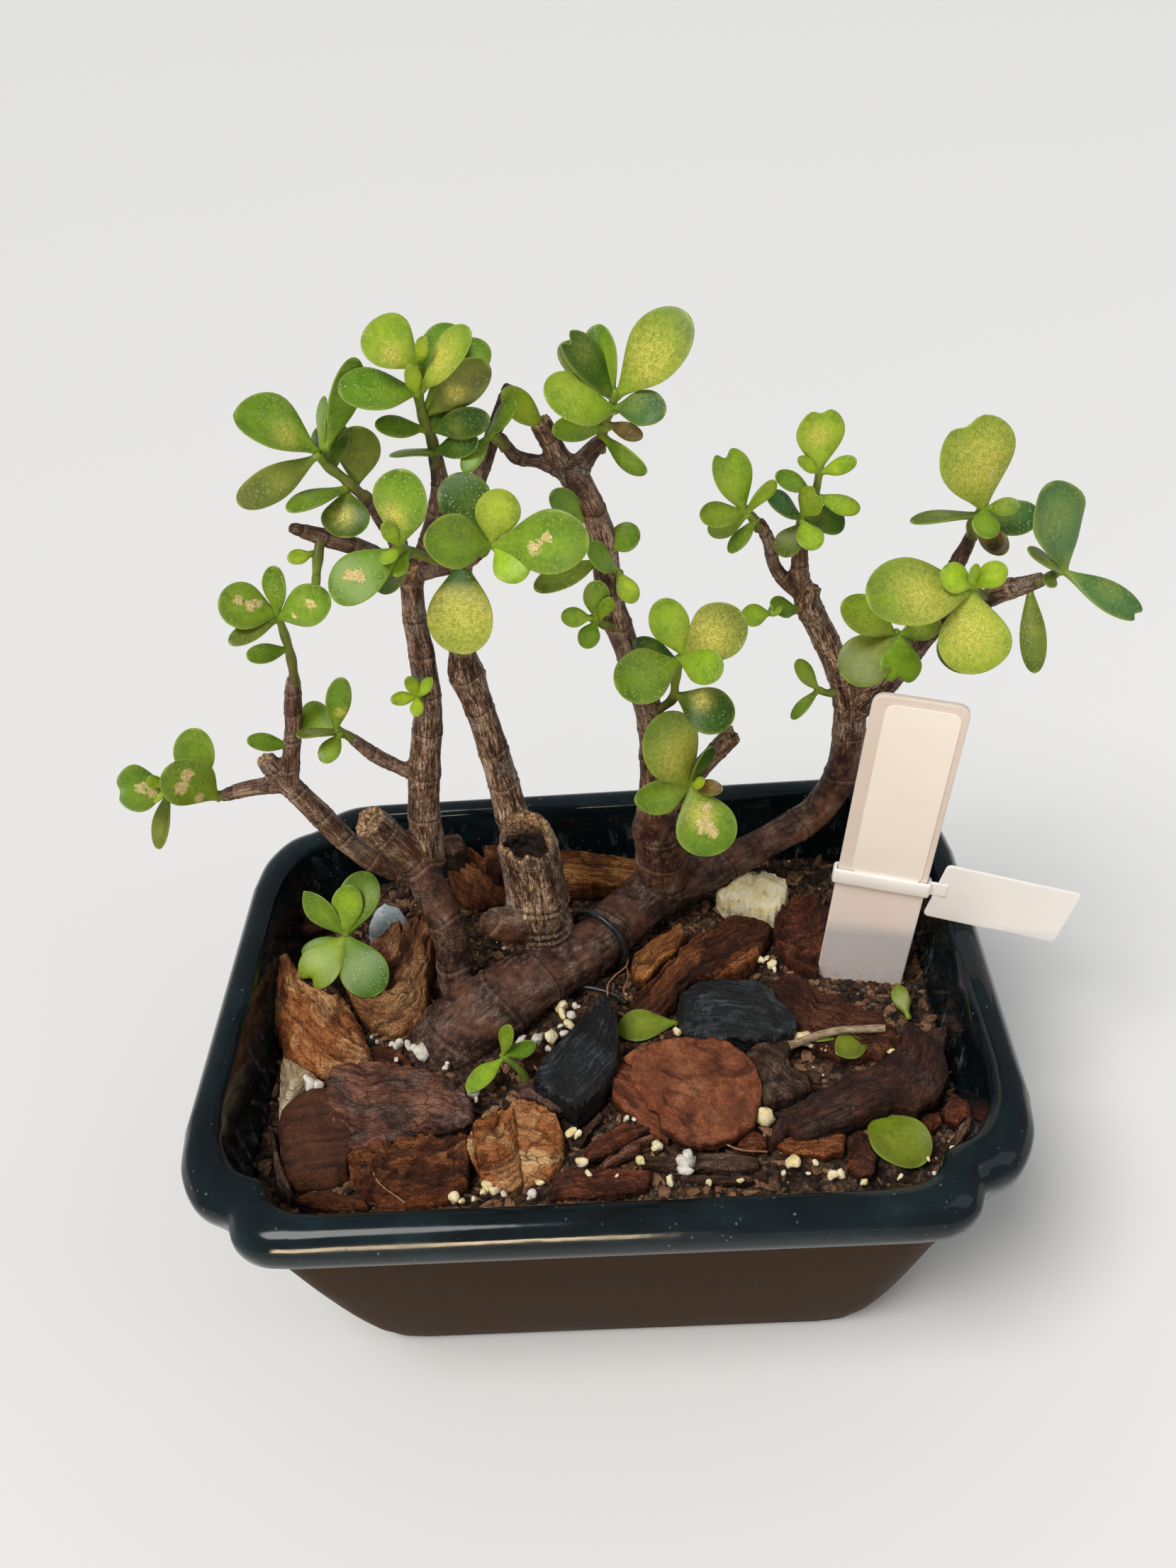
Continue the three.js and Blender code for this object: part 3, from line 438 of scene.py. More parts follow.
# %% Paint
class Paint:
    """A material under construction."""

    def __init__(self, name, **constants):
        self.material = bpy.data.materials.new(name)
        self.material.use_nodes = True
        self.tree = self.material.node_tree
        self.surface = self.tree.nodes["Principled BSDF"]
        for key, value in constants.items():
            self.surface.inputs[key.replace("_", " ")].default_value = value

    def node(self, kind, inputs=(), **properties):
        return add_node(self.tree, kind, inputs, **properties)

    def place(self, stretch=(1, 1, 1)):
        """Object coordinates, stretched along each axis."""
        source = self.node("ShaderNodeTexCoord").outputs["Object"]
        return self.scaled(source, stretch)

    def scaled(self, source, stretch):
        return self.node("ShaderNodeVectorMath", {0: source, 1: stretch},
                         operation="MULTIPLY").outputs[0]

    def attribute(self, name, output="Fac"):
        return self.node("ShaderNodeAttribute", attribute_name=name).outputs[output]

    def noise(self, source, scale, detail=4, roughness=0.55, distortion=0):
        return self.node("ShaderNodeTexNoise", {
            "Vector": source, "Scale": scale, "Detail": detail,
            "Roughness": roughness, "Distortion": distortion}).outputs["Fac"]

    def cells(self, source, scale, feature="F1"):
        return self.node("ShaderNodeTexVoronoi", {"Vector": source, "Scale": scale},
                         feature=feature).outputs["Distance"]

    def remap(self, value, low, high, to_low=0.0, to_high=1.0):
        return self.node("ShaderNodeMapRange", {
            "Value": value, "From Min": low, "From Max": high,
            "To Min": to_low, "To Max": to_high}).outputs[0]

    def math(self, operation, a, b=0.5):
        return self.node("ShaderNodeMath", {0: a, 1: b}, operation=operation).outputs[0]

    def times(self, a, b):
        return self.math("MULTIPLY", a, b)

    def plus(self, a, b):
        return self.math("ADD", a, b)

    def tint(self, colour, by):
        return self.mix(1.0, colour, by, "MULTIPLY")

    def mix(self, amount, a, b, blend="MIX"):
        return self.node("ShaderNodeMix", {0: amount, 6: a, 7: b}, data_type="RGBA",
                         blend_type=blend).outputs[2]

    def ramp(self, value, *stops):
        node = self.node("ShaderNodeValToRGB", {0: value})
        elements = node.color_ramp.elements
        while len(elements) < len(stops):
            elements.new(0.5)
        for element, (place, colour) in zip(elements, stops):
            element.position = place
            element.color = (*colour, 1)
        return node.outputs[0]

    def parts(self, colour):
        """The red, green and blue of a colour, as three values."""
        return self.node("ShaderNodeSeparateColor", {0: colour}).outputs

    def bump(self, height, depth_mm, strength=1.0, under=None):
        inputs = {"Height": height, "Distance": depth_mm * MM, "Strength": strength}
        if under is not None:
            inputs["Normal"] = under
        return self.node("ShaderNodeBump", inputs).outputs[0]

    def finish(self, colour, roughness=None, normal=None):
        for key, value in (("Base Color", colour), ("Roughness", roughness), ("Normal", normal)):
            if value is not None:
                feed(self.tree, self.surface.inputs[key], value)
        return self.material


# %% [markdown]
# ## The wood
# The trunk of this plant is a soft, swollen stem that turns to bark. It slants out of the
# soil, lies almost flat, and then carries its limbs upright. Its marks are the rings left
# where pairs of leaves once grew, with fine long wrinkles between them. Each limb is a route
# of points with a radius, as in the CAD source. The limbs are swept as tubes, fused
# by a voxel remesh, which rounds the forks as growth does, and the rings and wrinkles are
# then pressed into the fused skin, because a remesh would wipe them out.

# %% Routes of the limbs: x, y, z and radius
LIMBS = list(table("""
trunk: -57 -8 38 11.5, -50 -4 49 11.2, -42 0 57 10.9, -31 5 62.5 10.4, -19 12 66 9.2, -3 22 67 8,
    6 33 67 7.8, 16 42 69 7.8, 27 46 70 6.8, 39 50 72 5.6, 53 54 77 5, 66 59 82 5, 73 61 93 4.9,
    75 61 106 4.7, 75 60 121 4.6;
fork_left_arm: 75 60 117 4, 72 59 131 3.8, 66 57 147 3.5, 61 55 160 3.5, 62 55 164 3.3;
fork_left_twig: 61 55 161 2.4, 56 54 165 2, 52 53 172 1.8, 51 52 178 1.8, 48 50 186 1.5;
fork_top_twig: 60 55 160 2.5, 59 55 170 2.3, 59 54 177 2;
fork_right_arm: 75 60 118 4.2, 85 56 131 3, 90 51 144 2.7, 95 46 156 2.5, 104 39 166 2.4, 107 36 170 2.8,
    110 34 172 2.3, 115 32 175 1.8;
fork_right_twig: 94 47 154 2, 96 46 166 1.9, 97 45 173 2.1, 99 45 178 1.8, 100 45 182 1.4;
middle: 19 44 68 8, 19 43 84 7.6, 18 42 95 6.9, 18 41 103 5.3, 19 40 118 4.6, 18 39 136 3.8,
    14 38 155 3.4, 10 37 173 3.4, 9 36 192 3.4, 7 35 201 3.1, 3 34 211 3.5;
middle_left_stub: 4 34 207 3, 0 34 216 2.5, -3 33 224 2.6;
middle_right_twig: 3 34 208 2.8, 7 34 214 2.3, 11 34 218 1.8;
middle_left_twig: 2 34 210 1.9, -4 33 214 1.6, -9 32 216 1.7, -12 31 222 1.3;
middle_dead_stub: 21 40 104 3.6, 30 38 117 2.9, 35 37 124 2.7, 40 36 131 2.8;
stump: -17 18 56 8.2, -17 21 68 8.3, -17 23 80 8.4, -17 24.5 92 8.3, -17.2 24.5 102 8.1, -18 22.5 110 7.6;
stump_bud: -18 21 76 4, -25 17 83 5, -29 15 86 4.2, -32 14 88 2;
second: -19 28 92 5, -20 30 101 4.9, -22 32 113 4.5, -23 33 122 4.2, -25 35 134 4, -27 36 146 3.9,
    -29 37 156 4.5, -29 37 162 3.4, -28 38 175 2.8, -24 38 193 2.4, -20 38 206 2.1, -16 38 215 2,
    -12 38 224 1.8, -9 37 231 1.4;
left_limb: -38 13 55 6, -42 14 64 5.4, -42 18 75 5.1, -44 22 83 5, -48 27 93 5, -50 30 98 4.6;
cut_stub: -50 30 95 4.6, -54 28 105 4.6, -60 25 117 4.9;
tall: -48 31 95 5, -47 33 101 4.9, -46 34 113 4.4, -43 34 131 4.2, -40 34 146 3.8, -39 34 162 3.3,
    -39 34 175 3, -38 33 186 3.2, -38 33 189 4.3;
left_branch: -51 30 92 3.6, -62 30 98 3.3, -68 30 105 3.2, -74 30 116 3.3, -79 30 125 3.1, -82 30 130 2.9,
    -85 30 137 2.7;
left_side_twig: -80 30 127 2.1, -87 29 128 2.3, -92 28 128 2.2, -98 27 127 1.7;
left_up_twig: -80 30 128 2.7, -77 30 139 2.4, -75 30 146 2.3, -73 29 155 2.3, -71 28 163 1.8;
tall_side_twig: -44 33 124 2.1, -51 32 130 1.9, -55 30 135 2, -60 28 143 1.5;
tall_top_twig: -38 33 186 2.2, -33 33 195 2, -29 32 205 2, -27 31 212 2, -27 30 219 1.7;
tall_left_twig: -39 33 187 2.2, -39 29 199 2.2, -41 26 207 2.1, -44 24 214 1.4;
tall_dead_stub: -39 33 187 2, -46 28 197 2, -53 25 202 2.1, -57 23 205 1.9, -61 21 208 1.2;
tall_right_twig: -37 33 187 2, -29 26 192 1.8, -23 20 196 1.6, -18 15 201 1.2;
"""))
# The lower limbs have a dark purple skin, which fades out at this height, in millimetres.
DARK_BELOW = 118
# Ends that were cut or broke off: how deep the face is hollowed, in millimetres.
CUT_ENDS = {"stump": 7, "cut_stub": 1.2, "middle_left_stub": 0.8, "tall": 1.0,
            "middle_dead_stub": 1.5, "left_branch": 0.6, "fork_left_arm": 0.6}

# %% Sweep each limb and fuse them
LIMB_STEP = 0.8
VOXEL = 0.69
RING_SPACING = 2.1
STUMP_RINGS = (9, 15, 21.5, 24, 31)
LIMB_SIDES = 28


def ring_places(name, length, radius, draw):
    """Where the leaf scars ring a limb: closer together on a thin one."""
    if name == "stump":
        return np.array(STUMP_RINGS)
    places, at = [], 2 + 4 * draw.random()
    while at < length - 1.5:
        places.append(at)
        spread = 0.6 + 0.8 * draw.random()
        at += 3.5 + radius * RING_SPACING * spread
    return np.array(places)


limbs = []
for number, ((name,), (route,)) in enumerate(LIMBS):
    line = spline(route, LIMB_STEP)
    distance = np.concatenate([[0], np.cumsum(np.linalg.norm(np.diff(line[:, :3], axis=0), axis=1))])
    draw = np.random.default_rng(100 + number)
    rings = ring_places(name, distance[-1], line[:, 3].mean(), draw)
    limbs.append({"name": name, "line": line, "distance": distance, "rings": rings,
                  "cut": CUT_ENDS.get(name, 0)})


def limb_mesh(one):
    """A limb's tube, swollen at its rings; a cut end is hollowed by rings that step back in."""
    line, distance = one["line"], one["distance"]
    swell = sum(0.055 * np.exp(-((distance - place) / 1.6) ** 2) for place in one["rings"])
    radii = line[:, 3] * (1 + swell)
    points = line[:, :3]
    if one["cut"]:
        back = unit(points[-2] - points[-1])
        inner = [(0.86, 0.03), (0.78, 0.35), (0.62, 0.72), (0.42, 0.80), (0.12, 0.92)]
        radii = np.concatenate([radii, [radii[-1] * share for share, _ in inner]])
        verts, _ = tube(points, LIMB_SIDES, radii[:len(points)])
        end_ring = slice((len(points) - 1) * LIMB_SIDES, len(points) * LIMB_SIDES)
        around = verts[end_ring]
        centre = points[-1]
        turn = np.linspace(0, 2 * np.pi, LIMB_SIDES, endpoint=False)
        waves = np.sin(2 * turn + 1) + 0.6 * np.sin(5 * turn) + 0.4 * np.sin(9 * turn + 2)
        torn = one["cut"] * 0.26 * waves
        verts[end_ring] += back * torn[:, None]
        extra = [centre + (around - centre) * share
                 + back * (one["cut"] * depth + torn[:, None] * (1 - depth)) for share, depth in inner]
        verts = np.vstack([verts[:-2], *extra, points[0], centre + back * one["cut"]])
        return verts, ring_faces(len(points) + len(inner), LIMB_SIDES)
    return tube(points, LIMB_SIDES, radii)


wood_pile = Pile()
for one in limbs:
    wood_pile.add(*limb_mesh(one))
rough = make_mesh("rough_wood", wood_pile, bpy.data.materials.new("bare"))
rough_object = in_scene("rough_wood", rough)
remesh = rough_object.modifiers.new("fuse", "REMESH")
remesh.mode = "VOXEL"
remesh.voxel_size = VOXEL * MM
relax = rough_object.modifiers.new("relax", "SMOOTH")
relax.factor = 0.5
relax.iterations = 6
fused = bpy.data.meshes.new_from_object(
    rough_object.evaluated_get(bpy.context.evaluated_depsgraph_get()))
bpy.data.objects.remove(rough_object)
print("fused wood:", len(fused.vertices), "points")

# %% [markdown]
# ### Where each point of the skin lies
# To press rings and wrinkles into the fused skin, every point has to know its limb: how far
# along it lies and on which side. The nearest centre line is found by distance less radius,
# so a thick limb wins where two meet. The place is kept as an attribute too: the bark finish
# stretches its grain along each limb by it.

# %% Find the limb of each point
skin = np.empty(len(fused.vertices) * 3)
fused.vertices.foreach_get("co", skin)
skin = skin.reshape(-1, 3) / MM
skin_normals = np.empty(len(fused.vertices) * 3)
fused.vertices.foreach_get("normal", skin_normals)
skin_normals = skin_normals.reshape(-1, 3)

best = np.full(len(skin), 1e9)
limb_of = np.zeros(len(skin), int)
sample_of = np.zeros(len(skin), int)
for number, one in enumerate(limbs):
    line = one["line"]
    low, high = line[:, :3].min(0) - 14, line[:, :3].max(0) + 14
    near = np.where(((skin > low) & (skin < high)).all(1))[0]
    for start in range(0, len(near), 20000):
        chunk = near[start:start + 20000]
        gap = np.linalg.norm(skin[chunk, None] - line[None, :, :3], axis=2) - line[None, :, 3]
        closest = gap.argmin(1)
        value = gap[np.arange(len(chunk)), closest]
        better = value < best[chunk]
        best[chunk[better]] = value[better]
        limb_of[chunk[better]] = number
        sample_of[chunk[better]] = closest[better]

# %% Press rings, wrinkles and lumps into the skin
radius_of = np.ones(len(skin))
grain = np.zeros((len(skin), 3))
ring_off = np.full(len(skin), 4.0)
hollow = np.zeros(len(skin))
groove = np.zeros(len(skin))
cut_mark = np.zeros(len(skin))
for number, one in enumerate(limbs):
    mine = np.where(limb_of == number)[0]
    if not len(mine):
        continue
    line = one["line"]
    along, first, second = carried_frames(line)
    k = sample_of[mine]
    offset = skin[mine] - line[k, :3]
    s = one["distance"][k] + (offset * along[k]).sum(1)
    x, y = (offset * first[k]).sum(1), (offset * second[k]).sum(1)
    radius_of[mine] = line[k, 3]
    grain[mine] = np.stack([x, y, s + 37.0 * number], 1)
    angle = np.arctan2(y, x)
    wobble = 0.5 * np.sin(angle * 2 + number) + 0.3 * np.sin(angle * 3 + 2 * number)
    deep_rings = 2.3 if one["name"] == "stump" else 1
    for place in one["rings"]:
        off = s - place - wobble * min(1.0, line[k, 3].mean() / 5)
        groove[mine] -= deep_rings * 0.40 * np.exp(-(off / 0.42) ** 2)
        groove[mine] += deep_rings * 0.20 * np.exp(-((off + 0.95) / 0.6) ** 2)
        groove[mine] += 0.10 * np.exp(-((off - 1.0) / 0.8) ** 2)
        nearer = np.abs(off) < np.abs(ring_off[mine])
        ring_off[mine[nearer]] = off[nearer]
    if one["cut"]:
        reach = np.hypot(x, y) / line[-1, 3]
        facing = (skin_normals[mine] * along[-1]).sum(1)
        inside = (s > one["distance"][-1] - one["cut"] - 2) & (reach < 0.95)
        cut_mark[mine] = np.where(inside, np.clip((0.97 - reach) / 0.12, 0, 1), 0)
        cut_mark[mine] = np.maximum(cut_mark[mine], np.where(
            (s > one["distance"][-1] - 0.8) & (facing > 0.5), 1, 0))
        hollow[mine] = cut_mark[mine] * np.clip((one["distance"][-1] - s - 0.8) / 3, 0, 1)

thick = np.clip((radius_of - 1.5) / 6, 0.15, 1)
dark_trunk = np.isin(limb_of, [i for i, one in enumerate(limbs)
                               if one["name"] in ("trunk", "left_limb", "middle", "cut_stub",
                                                  "stump_bud", "left_branch")]).astype(float)
dark_trunk *= np.clip((DARK_BELOW - skin[:, 2]) / 20, 0.25, 1)
fibres = 1 - 2 * np.abs(relief(grain * [1, 1, 0.2], 2.2, 3, 3))
lumps = relief(grain * [1, 1, 0.7], 7.0, 5, 2)
on_stump = limb_of == [one["name"] for one in limbs].index("stump")
wrinkles = relief(grain * [0.5, 0.5, 1], 1.8, 6, 2) * on_stump
push = (groove * np.clip(radius_of / 5, 0.45, 1) + fibres * 0.30 * thick * (1 - 0.75 * dark_trunk)
        + lumps * 0.55 * thick + wrinkles * 0.40 + relief(grain, 2.4, 8, 2) * 0.24 * thick)
push = push * (1 - cut_mark) + cut_mark * (0.9 + 0.9 * hollow) * relief(skin, 1.6, 9, 3)
skin += skin_normals * push[:, None]

wood_pile = Pile()
wood_faces = [tuple(p.vertices) for p in fused.polygons]
age = np.clip((radius_of - 1.8) / 3.2, 0, 1)
wood_pile.add(skin, wood_faces, grain=grain * MM,
              bark=np.stack([age, hollow, cut_mark, dark_trunk], 1), ring_off=ring_off)

# %% [markdown]
# ### Bark
# Young wood is smooth and purple brown. Old wood is grey brown, drawn out in pale and dark
# threads along the limb, with paler lips at the rings. A cut face is fibrous and tan.

# %% Bark finish
paint = Paint("living_bark", Specular_IOR_Level=0.26)
marks = paint.attribute("bark", "Color")
age_of, deep, cut = (paint.parts(marks)[i] for i in range(3))
dark = paint.attribute("bark", "Alpha")
ring = paint.attribute("ring_off")
limb_place = paint.attribute("grain", "Vector")
threads_at = paint.scaled(limb_place, (1, 1, 0.16))
threads = paint.noise(threads_at, 1500, 5, 0.68, 0.0)
wide = paint.noise(threads_at, 330, 4, 0.6, 0.3)
patches = paint.noise(paint.place(), 130, 3, 0.55)
flecks = paint.noise(paint.place(), 2400, 4, 0.75)
plates = paint.cells(paint.scaled(limb_place, (1, 1, 0.16)), 900, "DISTANCE_TO_EDGE")
crevice = paint.times(paint.remap(plates, 0.08, 0.0), paint.remap(wide, 0.42, 0.56))
mixed = paint.plus(paint.times(threads, 0.36), paint.times(wide, 0.34))
mixed = paint.plus(mixed, paint.times(flecks, 0.30))
old = paint.ramp(mixed, (0.435, (0.016, 0.0070, 0.0042)), (0.48, (0.095, 0.045, 0.025)),
                 (0.515, (0.230, 0.135, 0.080)), (0.555, (0.56, 0.42, 0.30)))
leather = paint.plus(paint.times(flecks, 0.45),
                     paint.times(paint.noise(paint.place(), 520, 5, 0.68), 0.55))
purple = paint.ramp(leather, (0.42, (0.011, 0.0036, 0.0028)), (0.49, (0.040, 0.0145, 0.0100)),
                    (0.55, (0.082, 0.035, 0.024)), (0.61, (0.20, 0.115, 0.080)))
# Painted sheen: paler red-brown patches in the purple skin's colour stand in for its gloss.
sheen = paint.remap(paint.noise(paint.place(), 95, 3, 0.5), 0.47, 0.60)
purple = paint.mix(paint.times(sheen, 0.65), purple, (0.190, 0.080, 0.046))
skin_colour = paint.mix(paint.times(dark, paint.remap(patches, 0.40, 0.64, 1.0, 0.65)), old, purple)
young = paint.ramp(wide, (0.35, (0.050, 0.020, 0.014)), (0.5, (0.12, 0.058, 0.042)),
                   (0.68, (0.27, 0.17, 0.13)))
skin_colour = paint.mix(paint.remap(age_of, 0.0, 0.5, 0.7, 0.0), skin_colour, young)
grey = paint.times(paint.remap(patches, 0.52, 0.66), paint.remap(flecks, 0.45, 0.60))
grey = paint.times(grey, paint.remap(dark, 0.0, 1.0, 0.75, 0.2))
blotches = paint.noise(paint.place(), 300, 3, 0.6)
skin_colour = paint.mix(paint.remap(blotches, 0.50, 0.60, 0.0, 0.7), skin_colour,
                        paint.tint(skin_colour, (0.50, 0.36, 0.30)))
skin_colour = paint.mix(grey, skin_colour, (0.42, 0.37, 0.31))
crevice = paint.times(crevice, paint.remap(dark, 0.0, 1.0, 0.7, 0.2))
skin_colour = paint.mix(crevice, skin_colour, (0.014, 0.008, 0.006))
line = paint.times(paint.remap(paint.math("ABSOLUTE", ring), 0.42, 0.12),
                  paint.remap(flecks, 0.36, 0.50, 0.35, 1.0))
lip = paint.times(paint.times(paint.remap(ring, -1.5, -0.9), paint.remap(ring, -0.25, -0.5)),
                 paint.remap(flecks, 0.44, 0.60, 0.1, 0.8))
lip = paint.times(lip, paint.remap(dark, 0.0, 1.0, 0.6, 0.25))
skin_colour = paint.mix(lip, skin_colour, (0.40, 0.29, 0.19))
skin_colour = paint.mix(paint.times(line, 0.6), skin_colour, (0.020, 0.010, 0.007))
fibre = paint.ramp(paint.noise(paint.place(), 900, 4, 0.7), (0.36, (0.05, 0.024, 0.012)),
                   (0.5, (0.24, 0.13, 0.065)), (0.64, (0.62, 0.44, 0.25)))
# Deeper in the hollow of a cut end the colour turns nearly black.
deeper_hollow_colour = paint.ramp(flecks, (0.4, (0.004, 0.002, 0.0015)), (0.6, (0.032, 0.016, 0.009)))
skin_colour = paint.mix(cut, skin_colour, paint.mix(deep, fibre, deeper_hollow_colour))
height = paint.math("SUBTRACT", mixed, paint.times(crevice, 0.35))
normal = paint.bump(height, 0.6, 1.0)
rough_value = paint.plus(paint.remap(flecks, 0.35, 0.65, 0.45, 0.75),
                         paint.remap(dark, 0.0, 1.0, 0.05, -0.10))
bark = paint.finish(skin_colour, rough_value, normal)

wood_mesh = make_mesh("wood_dressed", wood_pile, bark)
settle(wood_mesh, "bark", "wood")
print("wood:", triangles(wood_mesh), "triangles")

# %% [markdown]
# ## The leaves
# The leaves are small fleshy paddles, widest past their middle, that sit in pairs on green
# shoots. No two are alike: some are notched at the tip like a heart, some folded, many have
# gold patches and corky scabs. Each leaf is listed with its base, tip, width and roll, as in
# the CAD source, and with a word of letters that says how it looks. The first letter is the
# tone: l light, m middle, d dark, t teal, o olive, y young, b brown. The others are marks:
# g and G a small and a large gold patch, z a gold band, s flecks, c a scab, r a ring scar,
# n and h a shallow and a deep notch, w wavy, f folded, p pointed, k curled.

